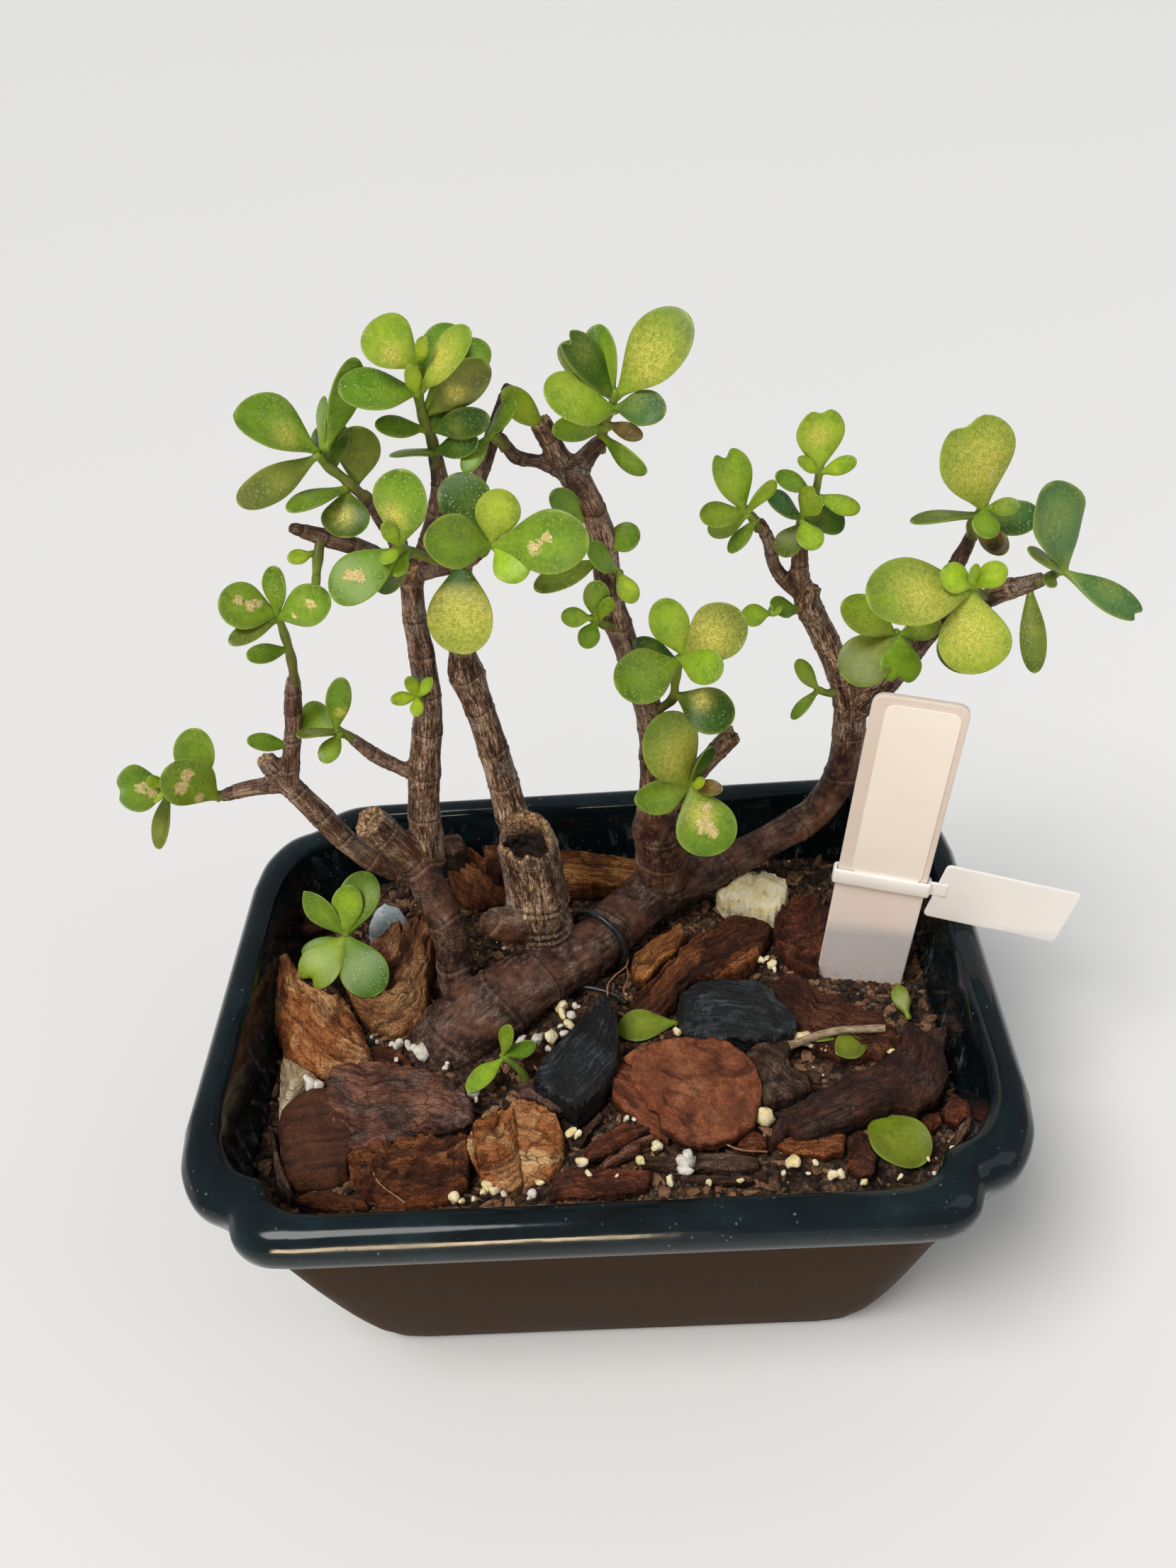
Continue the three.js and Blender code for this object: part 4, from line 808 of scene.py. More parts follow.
# %% Shoots and their leaves: base, tip, width, roll and look
SPRAYS = list(table("""
spray_crown_left: -43 24 212, -47 23 218, -50 22 222, -51 21 225 | -51 21 226 -65 16 238 13 15 mgf,
    -51 20 225 -69 14 218 8 -35 ow, -49 22 226 -40 26 244 8 55 m, -50 22 226 -48 26 236 7 -60 m,
    -49 23 220 -49 31 228 9 0 d, -45 25 215 -43 30 227 10 15 o, -47 22 216 -58 12 217 7 30 m,
    -47 23 215 -47 14 208 11 0 dg;
spray_crown_top: -27 30 216, -27 29 223, -28 28 229, -28 27 235, -27 27 241 |
    -27 27 241 -37 27 250 13 10 lg, -28 27 235 -43 18 240 12 15 ms, -27 26 236 -14 19 250 10 -15 lsG,
    -28 26 235 -28 21 243 4 20 y, -27 27 241 -24 23 248 3.6 0 y, -27 29 235 -19 38 245 10 10 mw,
    -27 29 231 -13 37 241 10 0 m, -27 29 229 -12 27 240 9 25 og, -28 28 226 -37 20 231 6 10 m,
    -28 28 226 -19 34 231 6 0 d, -27 29 225 -13 22 230 7 35 d, -27 29 220 -36 24 222 7 60 m,
    -27 29 220 -16 24 224 6 10 d;
spray_crown_small: -11 31 219, -13 30 222, -14 29 224 | -14 29 223 -7 25 232 5.5 -20 m,
    -14 29 223 -20 22 218 5 10 m;
spray_crown_right: 10 34 215, 11 34 220, 13 33 225, 15 32 230 | 15 32 229 31 30 246 15 -10 mG,
    14 31 226 0 21 235 13.5 10 ls, 14 33 228 4 33 243 10 20 dh, 14 33 228 11 40 242 8 -25 mf,
    14 34 227 3 41 238 8 0 o, 14 32 226 25 24 228 8 15 tw, 12 33 221 0 27 224 6 -20 m,
    12 33 222 20 29 220 4 30 b, 11 33 219 20 25 213 6 60 m;
spray_hanging_left: -25 24 194, -30 19 199, -34 14 204, -35 11 208 | -35 11 207 -31 12 224 13 -10 mgs,
    -35 11 206 -50 2 200 12 10 mc, -35 11 207 -37 8 214 4 0 y, -35 11 206 -38 5 206 4 20 y,
    -34 13 204 -36 6 202 4 0 l, -34 13 203 -42 12 195 6 -15 d;
spray_hanging_right: -20 17 199, -17 15 202, -15 13 205 | -15 13 205 -11 12 218 10 15 y,
    -14 12 204 -8 3 201 9 0 y, -14 12 205 7 3 209 14 15 mc, -15 12 205 -28 5 211 12 -15 mf,
    -16 14 205 -23 21 218 12 0 ds;
leaf_hanging: | -23 20 197 -24 7 180 16 10 mz;
leaf_crown_stub: | -2 33 222 -10 29 233 7 0 l;
leaf_middle_front: | 8 34 187 -7 21 188 7 10 o;
leaf_middle_up: | 5 34 198 -1.5 27 209 6.5 -20 m;
leaf_middle_back: | 9 36 190 18 34 194 7 10 m;
spray_middle_buds: 10 36 182, 13 34 183 | 12 35 183 6 28 194 7 10 m, 12 35 183 16 30 177 5.5 0 l;
spray_middle_front: 11 36 167, 8 32 170, 5 29 174 | 6 29 174 7 28 185 6.5 10 m,
    5 29 174 -2 24 178 5 -15 l, 6 29 173 3 22 170 5.5 0 m, 7 30 173 10 26 181 4 40 l;
spray_low_right: 19 38 138, 24 35 144, 25 32 152, 27 30 162 | 27 30 161 22 30 177 10 -10 l,
    27 30 161 42 24 175 14 10 oGs, 26 30 159 10 18 161 14 -10 ms, 26 30 160 36 20 162 10 15 l,
    26 31 158 15 33 164 6 10 d, 25 33 147 39 25 143 12 10 dg;
spray_low_front: 20 39 106, 26 34 113, 28 31 119 | 28 31 118 19 26 145 17.5 10 mG,
    28 31 118 13 22 121 10 -25 mf, 28 31 118 34 18 104 17 0 mcg, 28 31 118 33 27 134 7 60 d,
    28 31 118 31 25 124 3.6 0 y, 28 31 118 36 26 120 4.5 10 b;
spray_fork_small: 62 55 158, 56 52 158, 51 50 160 | 58 53 158 51 47 163 6.5 10 m,
    51 50 159 43 46 161 6 -15 l, 51 50 159 53 44 163 3.6 0 y;
spray_fork_left: 48 50 184, 46 49 188, 44 48 191 | 44 48 190 39 50 206 10.5 10 lh,
    44 48 190 33 40 193 7.5 10 l, 45 48 189 35 46 186 6 -20 m, 45 48 190 51 46 199 6 65 l,
    47 49 187 40 42 182 5 30 m;
spray_fork_top: 59 54 174, 59 53 184, 62 52 192, 63 52 199 | 59 53 185 62 47 195 7.5 -10 lh,
    59 53 184 50 48 194 6.5 15 t, 59 52 184 61 43 181 7 0 l, 59 53 183 53 48 177 7 10 o,
    59 53 185 70 53 182 8 0 d, 62 52 191 73 50 187 5 20 l, 61 52 192 52 51 198 5 -10 m,
    63 52 198 63 54 213 12.5 10 lgn, 63 52 197 71 47 202 4.5 10 l, 63 52 197 57 48 203 3.8 0 y;
spray_arm_top: 100 45 180, 99 43 185, 101 41 191 | 101 41 190 95 42 213 20.5 5 mnGr,
    100 42 188 83 38 190 7 50 o, 101 41 190 100 32 187 7 0 m, 101 41 190 108 36 193 4.5 15 m,
    100 43 185 115 42 187 8.5 10 t, 100 44 184 106 35 181 6 20 b;
spray_arm_end: 113 32 174, 116 31 176, 119 30 179 | 119 30 178 112 30 201 15 10 tw,
    118 30 178 108 25 187 6 35 o, 119 30 178 136 20 170 9 -15 tn, 117 31 176 113 24 178 4 0 o;
leaf_arm_hanging: | 112 33 173 115 28 150 6.5 20 o;
spray_arm_front: 105 39 166, 101 35 170, 98 32 174 | 98 32 173 71 22 179 18 10 mGr,
    98 32 173 96 18 158 18 0 lG, 99 34 171 99 31 149 16 10 t, 98 32 174 89 28 181 7.5 -10 y,
    98 32 174 96 27 183 4 0 y, 98 32 174 104 27 182 6.5 10 y;
spray_arm_low: 90 51 145, 86 47 150, 83 45 154 | 83 45 153 68 40 167 10 -15 l,
    84 45 153 69 38 145 14 10 o, 84 45 153 83 35 144 11 0 lh, 84 45 153 93 39 160 7 10 m;
sprout_fork: 74 59 127, 68 56 128, 65 55 130 | 65 55 130 58 52 142 5.5 10 l, 65 55 130 57 49 125 4.5 40 m;
spray_far_left: -97 27 127, -104 25 130, -111 23 134 | -99 26 127 -107 19 143 14 -10 mc,
    -104 26 130 -101 31 147 11 0 m, -110 23 134 -121 17 139 13 10 mcn, -110 23 133 -115 16 119 6 20 o,
    -111 23 134 -112 19 141 3.8 0 y, -111 23 134 -112 17 134 3.8 20 y;
spray_left_upright: -71 28 161, -70 27 171, -70 26 178, -70 25 184 | -70 25 183 -82 21 190 12 10 mc,
    -70 25 183 -68 25 196 6.5 -15 m, -70 25 182 -80 15 182 5.5 10 o, -70 25 182 -55 18 191 10 15 mc,
    -70 27 172 -79 21 174 5.5 10 m;
leaf_left_twig: | -77 30 140 -86 24 147 5 10 m;
spray_left_side: -58 29 139, -60 28 143, -63 26 148 | -63 26 147 -58 25 164 6.5 15 mg,
    -63 26 147 -71 19 151 7 60 o, -62 26 146 -66 18 143 5.5 0 m, -62 27 145 -73 34 149 9 -10 m;
sprout_dead_stub: -55 24 204, -56 20 200, -57 17 195 | -57 21 201 -62 17 202 3.8 0 y;
sprout_tall_trunk: -40 34 150, -41 29 154 | -41 29 154 -47 25 156 3.8 0 y, -41 29 154 -42 26 162 3.6 10 y,
    -41 29 154 -36 26 161 3.6 -10 y, -41 29 154 -41 23 152 3.6 0 y;
offshoot: -75 32 50, -75 28 62, -74 25 75 | -74 25 74 -72 33 87 9 10 l, -74 25 74 -67 38 87 12 0 m,
    -74 25 74 -85 31 87 8 -15 mpf, -74 25 73 -87 21 72 6 10 m, -74 25 74 -86 13 67 13 15 lh,
    -74 25 74 -64 9 66 14 0 es;
seedling: -21 -18 50, -22 -17 59, -27 -15 65 | -27 -15 64 -36 -26 65 5.5 10 lk,
    -27 -15 65 -24 -14 76 5 -30 lk, -27 -15 65 -18 -14 68 5 20 mk;
"""))

# %% [markdown]
# ### One leaf
# A leaf is a loft of lens-shaped rings along its length. The width follows a quarter sine out
# of the stalk and then an ellipse to the tip. The blade is then bent: cupped, folded, waved
# or twisted by a little, and a notch is pushed back into its tip. Along with the points, each
# leaf writes its tone and four marks (gold, scab, rim, flecks) for the finish to read.

# %% Measures and tones of a leaf
LEAF_RINGS = 20
LEAF_AROUND = 26
WIDEST = 0.62
STALK_HALF_WIDTH = 0.8
STALK_SINK = 0.8
FACING = unit(np.array([0.05, -0.7, 0.71]))
TONES = {"l": (0.260, 0.400, 0.022), "m": (0.145, 0.265, 0.016), "d": (0.036, 0.105, 0.006),
         "t": (0.065, 0.165, 0.045), "o": (0.135, 0.190, 0.022), "y": (0.320, 0.480, 0.026),
         "b": (0.150, 0.085, 0.030), "v": (0.150, 0.200, 0.010), "e": (0.070, 0.200, 0.003)}
STALK_TONE = np.array((0.26, 0.38, 0.035))


# %% Leaf shape
def soft(x, low, high):
    x = np.clip((x - low) / (high - low), 0, 1)
    return x * x * (3 - 2 * x)


def kept_inside(points):
    """The points, moved back by however far they reach out of the CAD box."""
    low, high = np.array(CAD_BOX) / MM
    over = np.maximum(points.max(0) - high + 0.05, 0) + np.minimum(points.min(0) - low - 0.05, 0)
    return points - over


def blade(plan, draw, facing=FACING):
    """Points, faces and looks of one leaf: its plan is base, tip, width, roll and look."""
    start, end = np.array(plan[:3], float), np.array(plan[3:6], float)
    width, roll, look = plan[6:]
    length = np.linalg.norm(end - start)
    along = (end - start) / length
    normal = unit(facing - along * facing.dot(along))
    turn = math.radians(roll)
    normal = normal * math.cos(turn) + np.cross(along, normal) * math.sin(turn)
    across = np.cross(along, normal)
    t = (1 - np.cos(np.linspace(0, math.pi * 0.975, LEAF_RINGS))) / 2
    rise = 0.13 + 0.87 * np.sin(math.pi / 2 * np.clip(t / WIDEST, 0, 1)) ** 1.35
    fall = np.sqrt(np.clip(1 - (np.clip(t - WIDEST, 0, 1) / (1 - WIDEST)) ** 2, 0, 1))
    share = np.where(t < WIDEST, rise, fall ** (1.7 if "p" in look else 1.0))
    half = np.maximum(share * width / 2, STALK_HALF_WIDTH * (t < 0.5))
    thick = min(1.0, 0.55 + width * 0.08) * (1 - 0.35 * t) * np.sqrt(np.clip(1 - t ** 5, 0, 1))
    angle = 2 * np.pi * np.arange(LEAF_AROUND) / LEAF_AROUND
    side = np.cos(angle)[None, :] * np.ones((LEAF_RINGS, 1))
    up = -np.sin(angle)[None, :] * np.ones((LEAF_RINGS, 1))
    tt = t[:, None] * np.ones((1, LEAF_AROUND))
    seed = int(draw.integers(1, 9999))
    edge = relief(np.stack([side * 1.5, tt * 3, up * 0], 2).reshape(-1, 3), 1.0, seed, 2)
    x = side * half[:, None] * (1 + 0.05 * edge.reshape(side.shape))
    z = up * thick[:, None] * np.where(up > 0, 0.85, 1.1)
    reach = np.abs(x) / (width / 2)
    y = tt * length - STALK_SINK * (tt == 0)
    cup = (0.05 + 0.11 * draw.random()) * (2.2 if "k" in look else 1)
    z = z + cup * width / 2 * (reach ** 2 - 0.3)
    z = z + 0.0625 * width * np.sin(math.pi * tt)
    z = z - (draw.random() - 0.35) * 0.06 * length * tt ** 3
    if "f" in look:
        z = z + 0.34 * np.abs(x) - 0.05 * width
    if "w" in look:
        z = z + 0.055 * width * np.sin(tt * 9 + np.sign(x) * 1.3) * reach ** 2
    twist = (draw.random() - 0.5) * (0.5 if "w" in look else 0.22) * (tt - 0.4)
    x, z = x * np.cos(twist) - z * np.sin(twist), x * np.sin(twist) + z * np.cos(twist)
    x = x + (draw.random() - 0.5) * 0.07 * width * np.sin(math.pi * tt)
    depth = 0.16 if "h" in look else 0.09 if "n" in look else 0
    middle = (draw.random() - 0.5) * 0.1 * width
    y = y - depth * length * np.exp(-((x - middle) / (0.15 * width)) ** 2) * tt ** 7
    points = (start + x[..., None] * across + y[..., None] * along + z[..., None] * normal)
    points = kept_inside(points.reshape(-1, 3))
    last = points[-LEAF_AROUND:].mean(0)
    points = np.vstack([points, points[:LEAF_AROUND].mean(0), last])
    values = leaf_looks(x, tt, side, up, length, width, look, draw)
    return points, ring_faces(LEAF_RINGS, LEAF_AROUND), values


# %% Tone and marks of a leaf
def leaf_looks(x, tt, side, up, length, width, look, draw):
    """The tone of every point, and how much gold, scab, rim and flecks it has."""

    def patch(cx, cy, size):
        d = np.hypot((x / (width / 2) - cx), (tt - cy) * 2 * length / width)
        return np.exp(-(d / size) ** 2)

    gold = np.zeros_like(x)
    gx, gy = draw.uniform(-0.35, 0.35), draw.uniform(0.35, 0.7)
    if "g" in look:
        gold = patch(gx, gy, 0.45)
    if "G" in look:
        gold = 0.85 * patch(gx * 0.7, 0.5, 0.95)
    if "z" in look:
        gold = 0.8 * soft(tt, 0.22, 0.36) * (1 - 0.55 * soft(tt, 0.6, 0.9))
    gold = np.maximum(gold, 0.22 * draw.random() * patch(gx, gy, 0.7))
    scab = np.zeros_like(x)
    if "c" in look:
        for _ in range(3):
            scab = np.maximum(scab, patch(draw.uniform(-0.3, 0.3), draw.uniform(0.3, 0.75),
                                          draw.uniform(0.14, 0.3)))
    if "r" in look:
        d = np.hypot(x / (width / 2) - gx * 0.6 - 0.1, (tt - gy) * 2 * length / width)
        scab = np.maximum(scab, np.exp(-((d - 0.11) / 0.035) ** 2))
    rim = np.maximum(np.abs(side) ** 10, soft(tt, 0.95, 1.0))
    flecks = np.full_like(x, 0.85 if "s" in look else 0.0 if "v" in look else 0.25 + 0.4 * draw.random())
    tone = np.array(TONES[look[0]]) * (0.86 + 0.28 * draw.random())
    tone = tone * (1 + (draw.random(3) - 0.5) * (0.16, 0.10, 0.2))
    blend = (1 - soft(tt, 0.0, 0.35))[..., None] * 0.55
    colour = tone * (1 - blend) + STALK_TONE * blend
    if "z" in look:
        green = (1 - soft(tt, 0.2, 0.34))[..., None]
        colour = colour * (1 - green) + np.array(TONES["d"]) * 1.3 * green
    # Painted shade: each leaf is darker towards its sides and tip and on its underside, and a little lighter in its
    # middle.
    shade = 1 - 0.30 * np.abs(side) ** 3 - 0.22 * soft(tt, 0.75, 1.0) + 0.12 * patch(0, 0.55, 0.8)
    colour = colour * (shade * np.where(up < -0.2, 0.82, 1.0))[..., None]
    tones = np.concatenate([colour, np.ones_like(x)[..., None]], 2).reshape(-1, 4)
    marks = np.stack([gold, scab, rim, flecks], 2).reshape(-1, 4)
    tones = np.vstack([tones, tones[0], tones[-1]])
    marks = np.vstack([marks, marks[0], marks[-1]])
    return dict(tone=tones, marks=marks)


# %% [markdown]
# ### Leaf finish
# The skin is satin over juicy flesh, so light enters it a little. The tone comes from the
# leaf, mottled at two scales. Gold breaks up into grains, pale flecks are the centres of a
# fine cell pattern, scabs are tan, dry and raised, and the rim is a thin paler line.

# %% Leaf finish
paint = Paint("fleshy_leaf", Subsurface_Weight=0.12, Subsurface_Scale=0.0016,
              Subsurface_Radius=(0.5, 1.0, 0.25), Specular_IOR_Level=0.26)
tone = paint.attribute("tone", "Color")
marks = paint.attribute("marks", "Color")
gold_mark, scab_mark, rim_mark = (paint.parts(marks)[i] for i in range(3))
fleck_mark = paint.attribute("marks", "Alpha")
here = paint.place()
cloudy = paint.noise(here, 210, 4, 0.6)
mottle = paint.noise(here, 900, 4, 0.65)
fine = paint.noise(here, 3200, 2, 0.5)
colour = paint.mix(paint.remap(cloudy, 0.42, 0.62, 0.0, 0.55), tone,
                   paint.tint(tone, (0.40, 0.55, 0.50)))
colour = paint.mix(paint.remap(mottle, 0.46, 0.64, 0.0, 0.35), colour,
                   paint.tint(tone, (1.60, 1.35, 1.1)))
grains_of_gold = paint.times(gold_mark, paint.remap(mottle, 0.28, 0.56, 0.35, 1.15))
golden = paint.ramp(fine, (0.38, (0.34, 0.38, 0.035)), (0.50, (0.56, 0.52, 0.075)),
                    (0.62, (0.78, 0.68, 0.20)))
colour = paint.mix(grains_of_gold, colour, golden)
dots = paint.cells(here, 1500)
dot = paint.times(paint.remap(dots, 0.30, 0.16), fleck_mark)
dot = paint.times(dot, paint.remap(cloudy, 0.40, 0.62, 0.05, 1.0))
colour = paint.mix(dot, colour, (0.60, 0.64, 0.25))
colour = paint.mix(paint.times(rim_mark, 0.45), colour, (0.40, 0.50, 0.09))
crust = paint.remap(paint.times(scab_mark, paint.remap(mottle, 0.25, 0.62, 0.4, 1.4)), 0.38, 0.60)
scab = paint.ramp(fine, (0.36, (0.34, 0.25, 0.08)), (0.52, (0.62, 0.50, 0.20)),
                  (0.68, (0.80, 0.72, 0.42)))
colour = paint.mix(crust, colour, scab)
height = paint.plus(paint.times(crust, 0.9), paint.times(mottle, 0.5))
normal = paint.bump(height, 0.10, 0.55)
normal = paint.bump(dot, 0.05, 0.35, normal)
rough_value = paint.plus(paint.remap(mottle, 0.3, 0.7, 0.30, 0.42), paint.times(crust, 0.4))
leaf_finish = paint.finish(colour, rough_value, normal)

# %% [markdown]
# ### Shoots
# A shoot is a thin green tube with a slight knuckle below each pair of leaves. Its tube and
# its leaves go into one mesh, which stands for the spray's CAD solid.

# %% Grow every spray
SHOOT_ROOT, SHOOT_TIP = 1.5, 1.1
SHOOT_TONE_OLD = np.array((0.13, 0.11, 0.03))
SHOOT_TONE_YOUNG = np.array((0.17, 0.25, 0.028))


def add_shoot(pile, route):
    line = spline([(*p, 0) for p in route], 0.6)
    place = np.linspace(0, 1, len(line))
    knuckles = 1 + 0.10 * np.cos(place * 2 * np.pi * max(2, len(route) - 1)) * (place < 0.95)
    verts, faces = tube(line, 12, (SHOOT_ROOT + (SHOOT_TIP - SHOOT_ROOT) * place) * knuckles * 0.92)
    mixed = np.append(np.repeat(place, 12), [0, 1])[:, None]
    tone = SHOOT_TONE_OLD * (1 - mixed) + SHOOT_TONE_YOUNG * mixed
    pile.add(verts, faces, tone=np.hstack([tone, np.ones((len(tone), 1))]),
             marks=np.tile([0.0, 0.0, 0.0, 0.2], (len(verts), 1)))


leaf_count = leaf_triangles = 0
for number, ((name,), (route, leaves)) in enumerate(SPRAYS):
    draw = np.random.default_rng(700 + number)
    pile = Pile()
    if route:
        add_shoot(pile, route)
    for plan in leaves:
        points, faces, values = blade(plan, draw)
        pile.add(points, faces, **values)
    leaf_count += len(leaves)
    leaf_triangles += triangles(dress(name, pile, leaf_finish, "leaves"))
print("leaves:", leaf_count, "in", len(SPRAYS), "sprays,", leaf_triangles, "triangles")

# %% [markdown]
# ### Fallen leaves
# Two leaves lie on the soil, and a few small bits of leaf that the CAD model leaves out. They
# are the same paddles, laid nearly flat.

# %% Fallen leaves
FALLEN = list(table("""
fallen_leaf_middle: 20 -2 59.4 3 -4 60.2 10 0 vp;
fallen_leaf_right: 68 -35 59.2 79 -52 60 15 0 vk;
"""))
LEAF_BITS = row("""73 -11 61 62 -18 62.5 8 0 vp, 64 -12 62 56 -13 63 4 40 vp,
    88 26 59 84 34 66 4 30 vp, 84 -4 60 82 4 64 5 -20 v""")
LYING = unit(np.array([0.05, -0.25, 0.97]))
LEAF_LIFT = [0, 0, 0.5]
for seed, ((name,), ((plan,),)) in enumerate(FALLEN, 40):
    pile = Pile()
    points, faces, values = blade(plan, np.random.default_rng(seed), LYING)
    pile.add(points + LEAF_LIFT, faces, **values)
    dress(name, pile, leaf_finish, "leaves")
pile = Pile()
for seed, plan in enumerate(LEAF_BITS, 60):
    points, faces, values = blade(plan, np.random.default_rng(seed), LYING)
    pile.add(points, faces, **values)
settle(make_mesh("fallen_leaf_bits", pile, leaf_finish), "leaves")
print("fallen leaves:", len(FALLEN), "and", len(LEAF_BITS), "bits")

# %% [markdown]
# ## The pot
# The pot is an oblong of black glazed stoneware with notched corners and a thick rolled rim.
# Its plan is one quarter outline mirrored twice, and its section is one profile, so it is
# swept as a loft: the same plan at many heights, drawn in by the profile.

# %% Plan and section of the pot
POT_HALF_LENGTH, POT_HALF_WIDTH, POT_HEIGHT = 105, 80.5, 80.5
BOTTOM_INSET, RIM_WIDTH, RIM_BAND, RIM_OVERHANG = 22, 9.2, 11.8, 4.2
WALL, FLOOR_TOP, WALL_TOP = 7, 12, 61
CORNER = [(0, 36), (2, 24), (7.4, 15), (14, 11.4), (16, 10.2), (19, 4.4), (24.6, 1), (33, 0)]
QUARTER = spline([(x, y, 0) for x, y in CORNER], 1.6)[:, :2]


def pot_plan(inset, z, corner=1.0):
    """The pot's outline at a height, drawn in by an inset; corner below 1 squares it."""
    quarter = np.array([(POT_HALF_LENGTH - inset, POT_HALF_WIDTH - inset)]) - QUARTER * corner
    straight = np.linspace(0, 1, 14)[1:-1, None]
    right_side = quarter[0] * (1, -1) * (1 - straight) + quarter[0] * straight
    back_side = quarter[-1] * (1 - straight) + quarter[-1] * (-1, 1) * straight
    half = np.vstack([right_side, quarter, back_side, quarter[::-1] * (-1, 1)])
    whole = np.vstack([half, half * (-1, -1)])
    return np.column_stack([whole, np.full(len(whole), float(z))])


def wall_inset(z):
    rise = z / (POT_HEIGHT - RIM_BAND)
    return BOTTOM_INSET + (RIM_OVERHANG - BOTTOM_INSET) * rise ** 0.8


def inner_inset(z):
    rise = (z - FLOOR_TOP) / (WALL_TOP - FLOOR_TOP)
    low = wall_inset(FLOOR_TOP) + WALL
    return low + (RIM_OVERHANG + WALL - low) * rise, 0.86 + 0.06 * rise


BAND_BOTTOM = POT_HEIGHT - RIM_BAND
OUTSIDE_RINGS = 20
profile = [(BOTTOM_INSET + 2, 0, 0.9), (BOTTOM_INSET + 0.6, 0.3, 0.905), (BOTTOM_INSET - 0.6, 1.4, 0.915),
           (wall_inset(4) + 0.3, 4, 0.92)]
profile += [(wall_inset(z), z, 0.92 + 0.06 * z / BAND_BOTTOM)
            for z in (8, 14, 20, 27, 34, 41, 48, 55, 61, 65.5)]
profile += [(RIM_OVERHANG + 0.1, BAND_BOTTOM - 0.6, 0.98), (RIM_OVERHANG - 0.3, BAND_BOTTOM, 0.98),
            (2.6, BAND_BOTTOM + 0.15, 0.985), (1.1, BAND_BOTTOM + 0.7, 0.99), (0.35, BAND_BOTTOM + 1.9, 1),
            (0.05, BAND_BOTTOM + 4, 1), (0, POT_HEIGHT - 6.2, 1), (0.10, POT_HEIGHT - 4.9, 1),
            (0.32, POT_HEIGHT - 4.2, 1), (0.64, POT_HEIGHT - 3.6, 1), (0.97, POT_HEIGHT - 3.0, 1),
            (1.31, POT_HEIGHT - 2.4, 1), (1.9, POT_HEIGHT - 1.6, 1), (2.8, POT_HEIGHT - 0.9, 1),
            (4.0, POT_HEIGHT - 0.3, 1), (5.3, POT_HEIGHT, 0.99),
            (6.4, POT_HEIGHT - 0.02, 0.98), (7.4, POT_HEIGHT - 0.15, 0.97),
            (8.2, POT_HEIGHT - 0.5, 0.96), (8.9, POT_HEIGHT - 1.2, 0.95), (9.2, POT_HEIGHT - 2.4, 0.94)]
for z in (74, 70, 66, 62, WALL_TOP, 50, 40, 30, 20, 13):
    if z > WALL_TOP:
        blend = (z - WALL_TOP) / (POT_HEIGHT - 2.4 - WALL_TOP)
        inset = RIM_OVERHANG + WALL + (RIM_WIDTH - RIM_OVERHANG - WALL) * blend
        profile.append((inset, z, 0.92 + 0.02 * blend))
    else:
        profile.append((inner_inset(z)[0], z, inner_inset(z)[1]))
profile.append((inner_inset(FLOOR_TOP)[0] + 0.8, FLOOR_TOP, 0.86))
rings = [pot_plan(inset, z, corner) for inset, z, corner in profile]
pot_pile = Pile()
around = len(rings[0])
verts = np.vstack(rings + [rings[0].mean(0), rings[-1].mean(0)])
pot_pile.add(verts, ring_faces(len(rings), around))

# %% [markdown]
# ### Glaze
# The rim has a near black glaze with a blue-green depth. It is glossy, with a faint ripple, a
# few pinholes, and a bloom of pale water marks on the inner wall just above the soil. The body
# below the rim is a dull dark brown. It is a second material on the faces of the lowest rings.

# %% Glaze finish: where the inner wall lies in x and y, and where the water marks fade, in metres
INNER_X, INNER_Y, WATER_MARKS = (0.0962, 0.0952), (0.0717, 0.0707), (0.0765, 0.062)
paint = Paint("black_glaze", Specular_IOR_Level=0.27)
here = paint.place()
split = paint.node("ShaderNodeSeparateXYZ", {0: here}).outputs
height_at = split["Z"]
ripple = paint.noise(here, 60, 3, 0.5)
smudge = paint.noise(paint.place((1, 1, 3)), 45, 5, 0.6, 0.4)
specks = paint.cells(here, 420)
speck = paint.times(paint.remap(specks, 0.16, 0.07),
                   paint.remap(paint.noise(here, 90, 3, 0.6), 0.5, 0.62))
colour = paint.ramp(smudge, (0.3, (0.0025, 0.0045, 0.0052)), (0.55, (0.0045, 0.0105, 0.0135)),
                    (0.75, (0.009, 0.022, 0.027)))
scale_marks = paint.noise(paint.place((1, 1, 0.5)), 260, 5, 0.7)
in_x = paint.math("ABSOLUTE", split["X"])
in_y = paint.math("ABSOLUTE", split["Y"])
inside = paint.times(paint.remap(in_x, *INNER_X), paint.remap(in_y, *INNER_Y))
waterline = paint.times(inside, paint.remap(height_at, *WATER_MARKS))
bloom = paint.times(paint.remap(scale_marks, 0.56, 0.70), waterline)
colour = paint.mix(paint.times(bloom, 0.5), colour, (0.30, 0.31, 0.30))
colour = paint.mix(paint.times(speck, 0.5), colour, (0.26, 0.27, 0.26))
rough_value = paint.plus(paint.remap(smudge, 0.35, 0.7, 0.07, 0.16), paint.times(bloom, 0.5))
normal = paint.bump(ripple, 0.5, 0.25)
normal = paint.bump(speck, 0.05, 0.5, normal)
glaze_finish = paint.finish(colour, rough_value, normal)

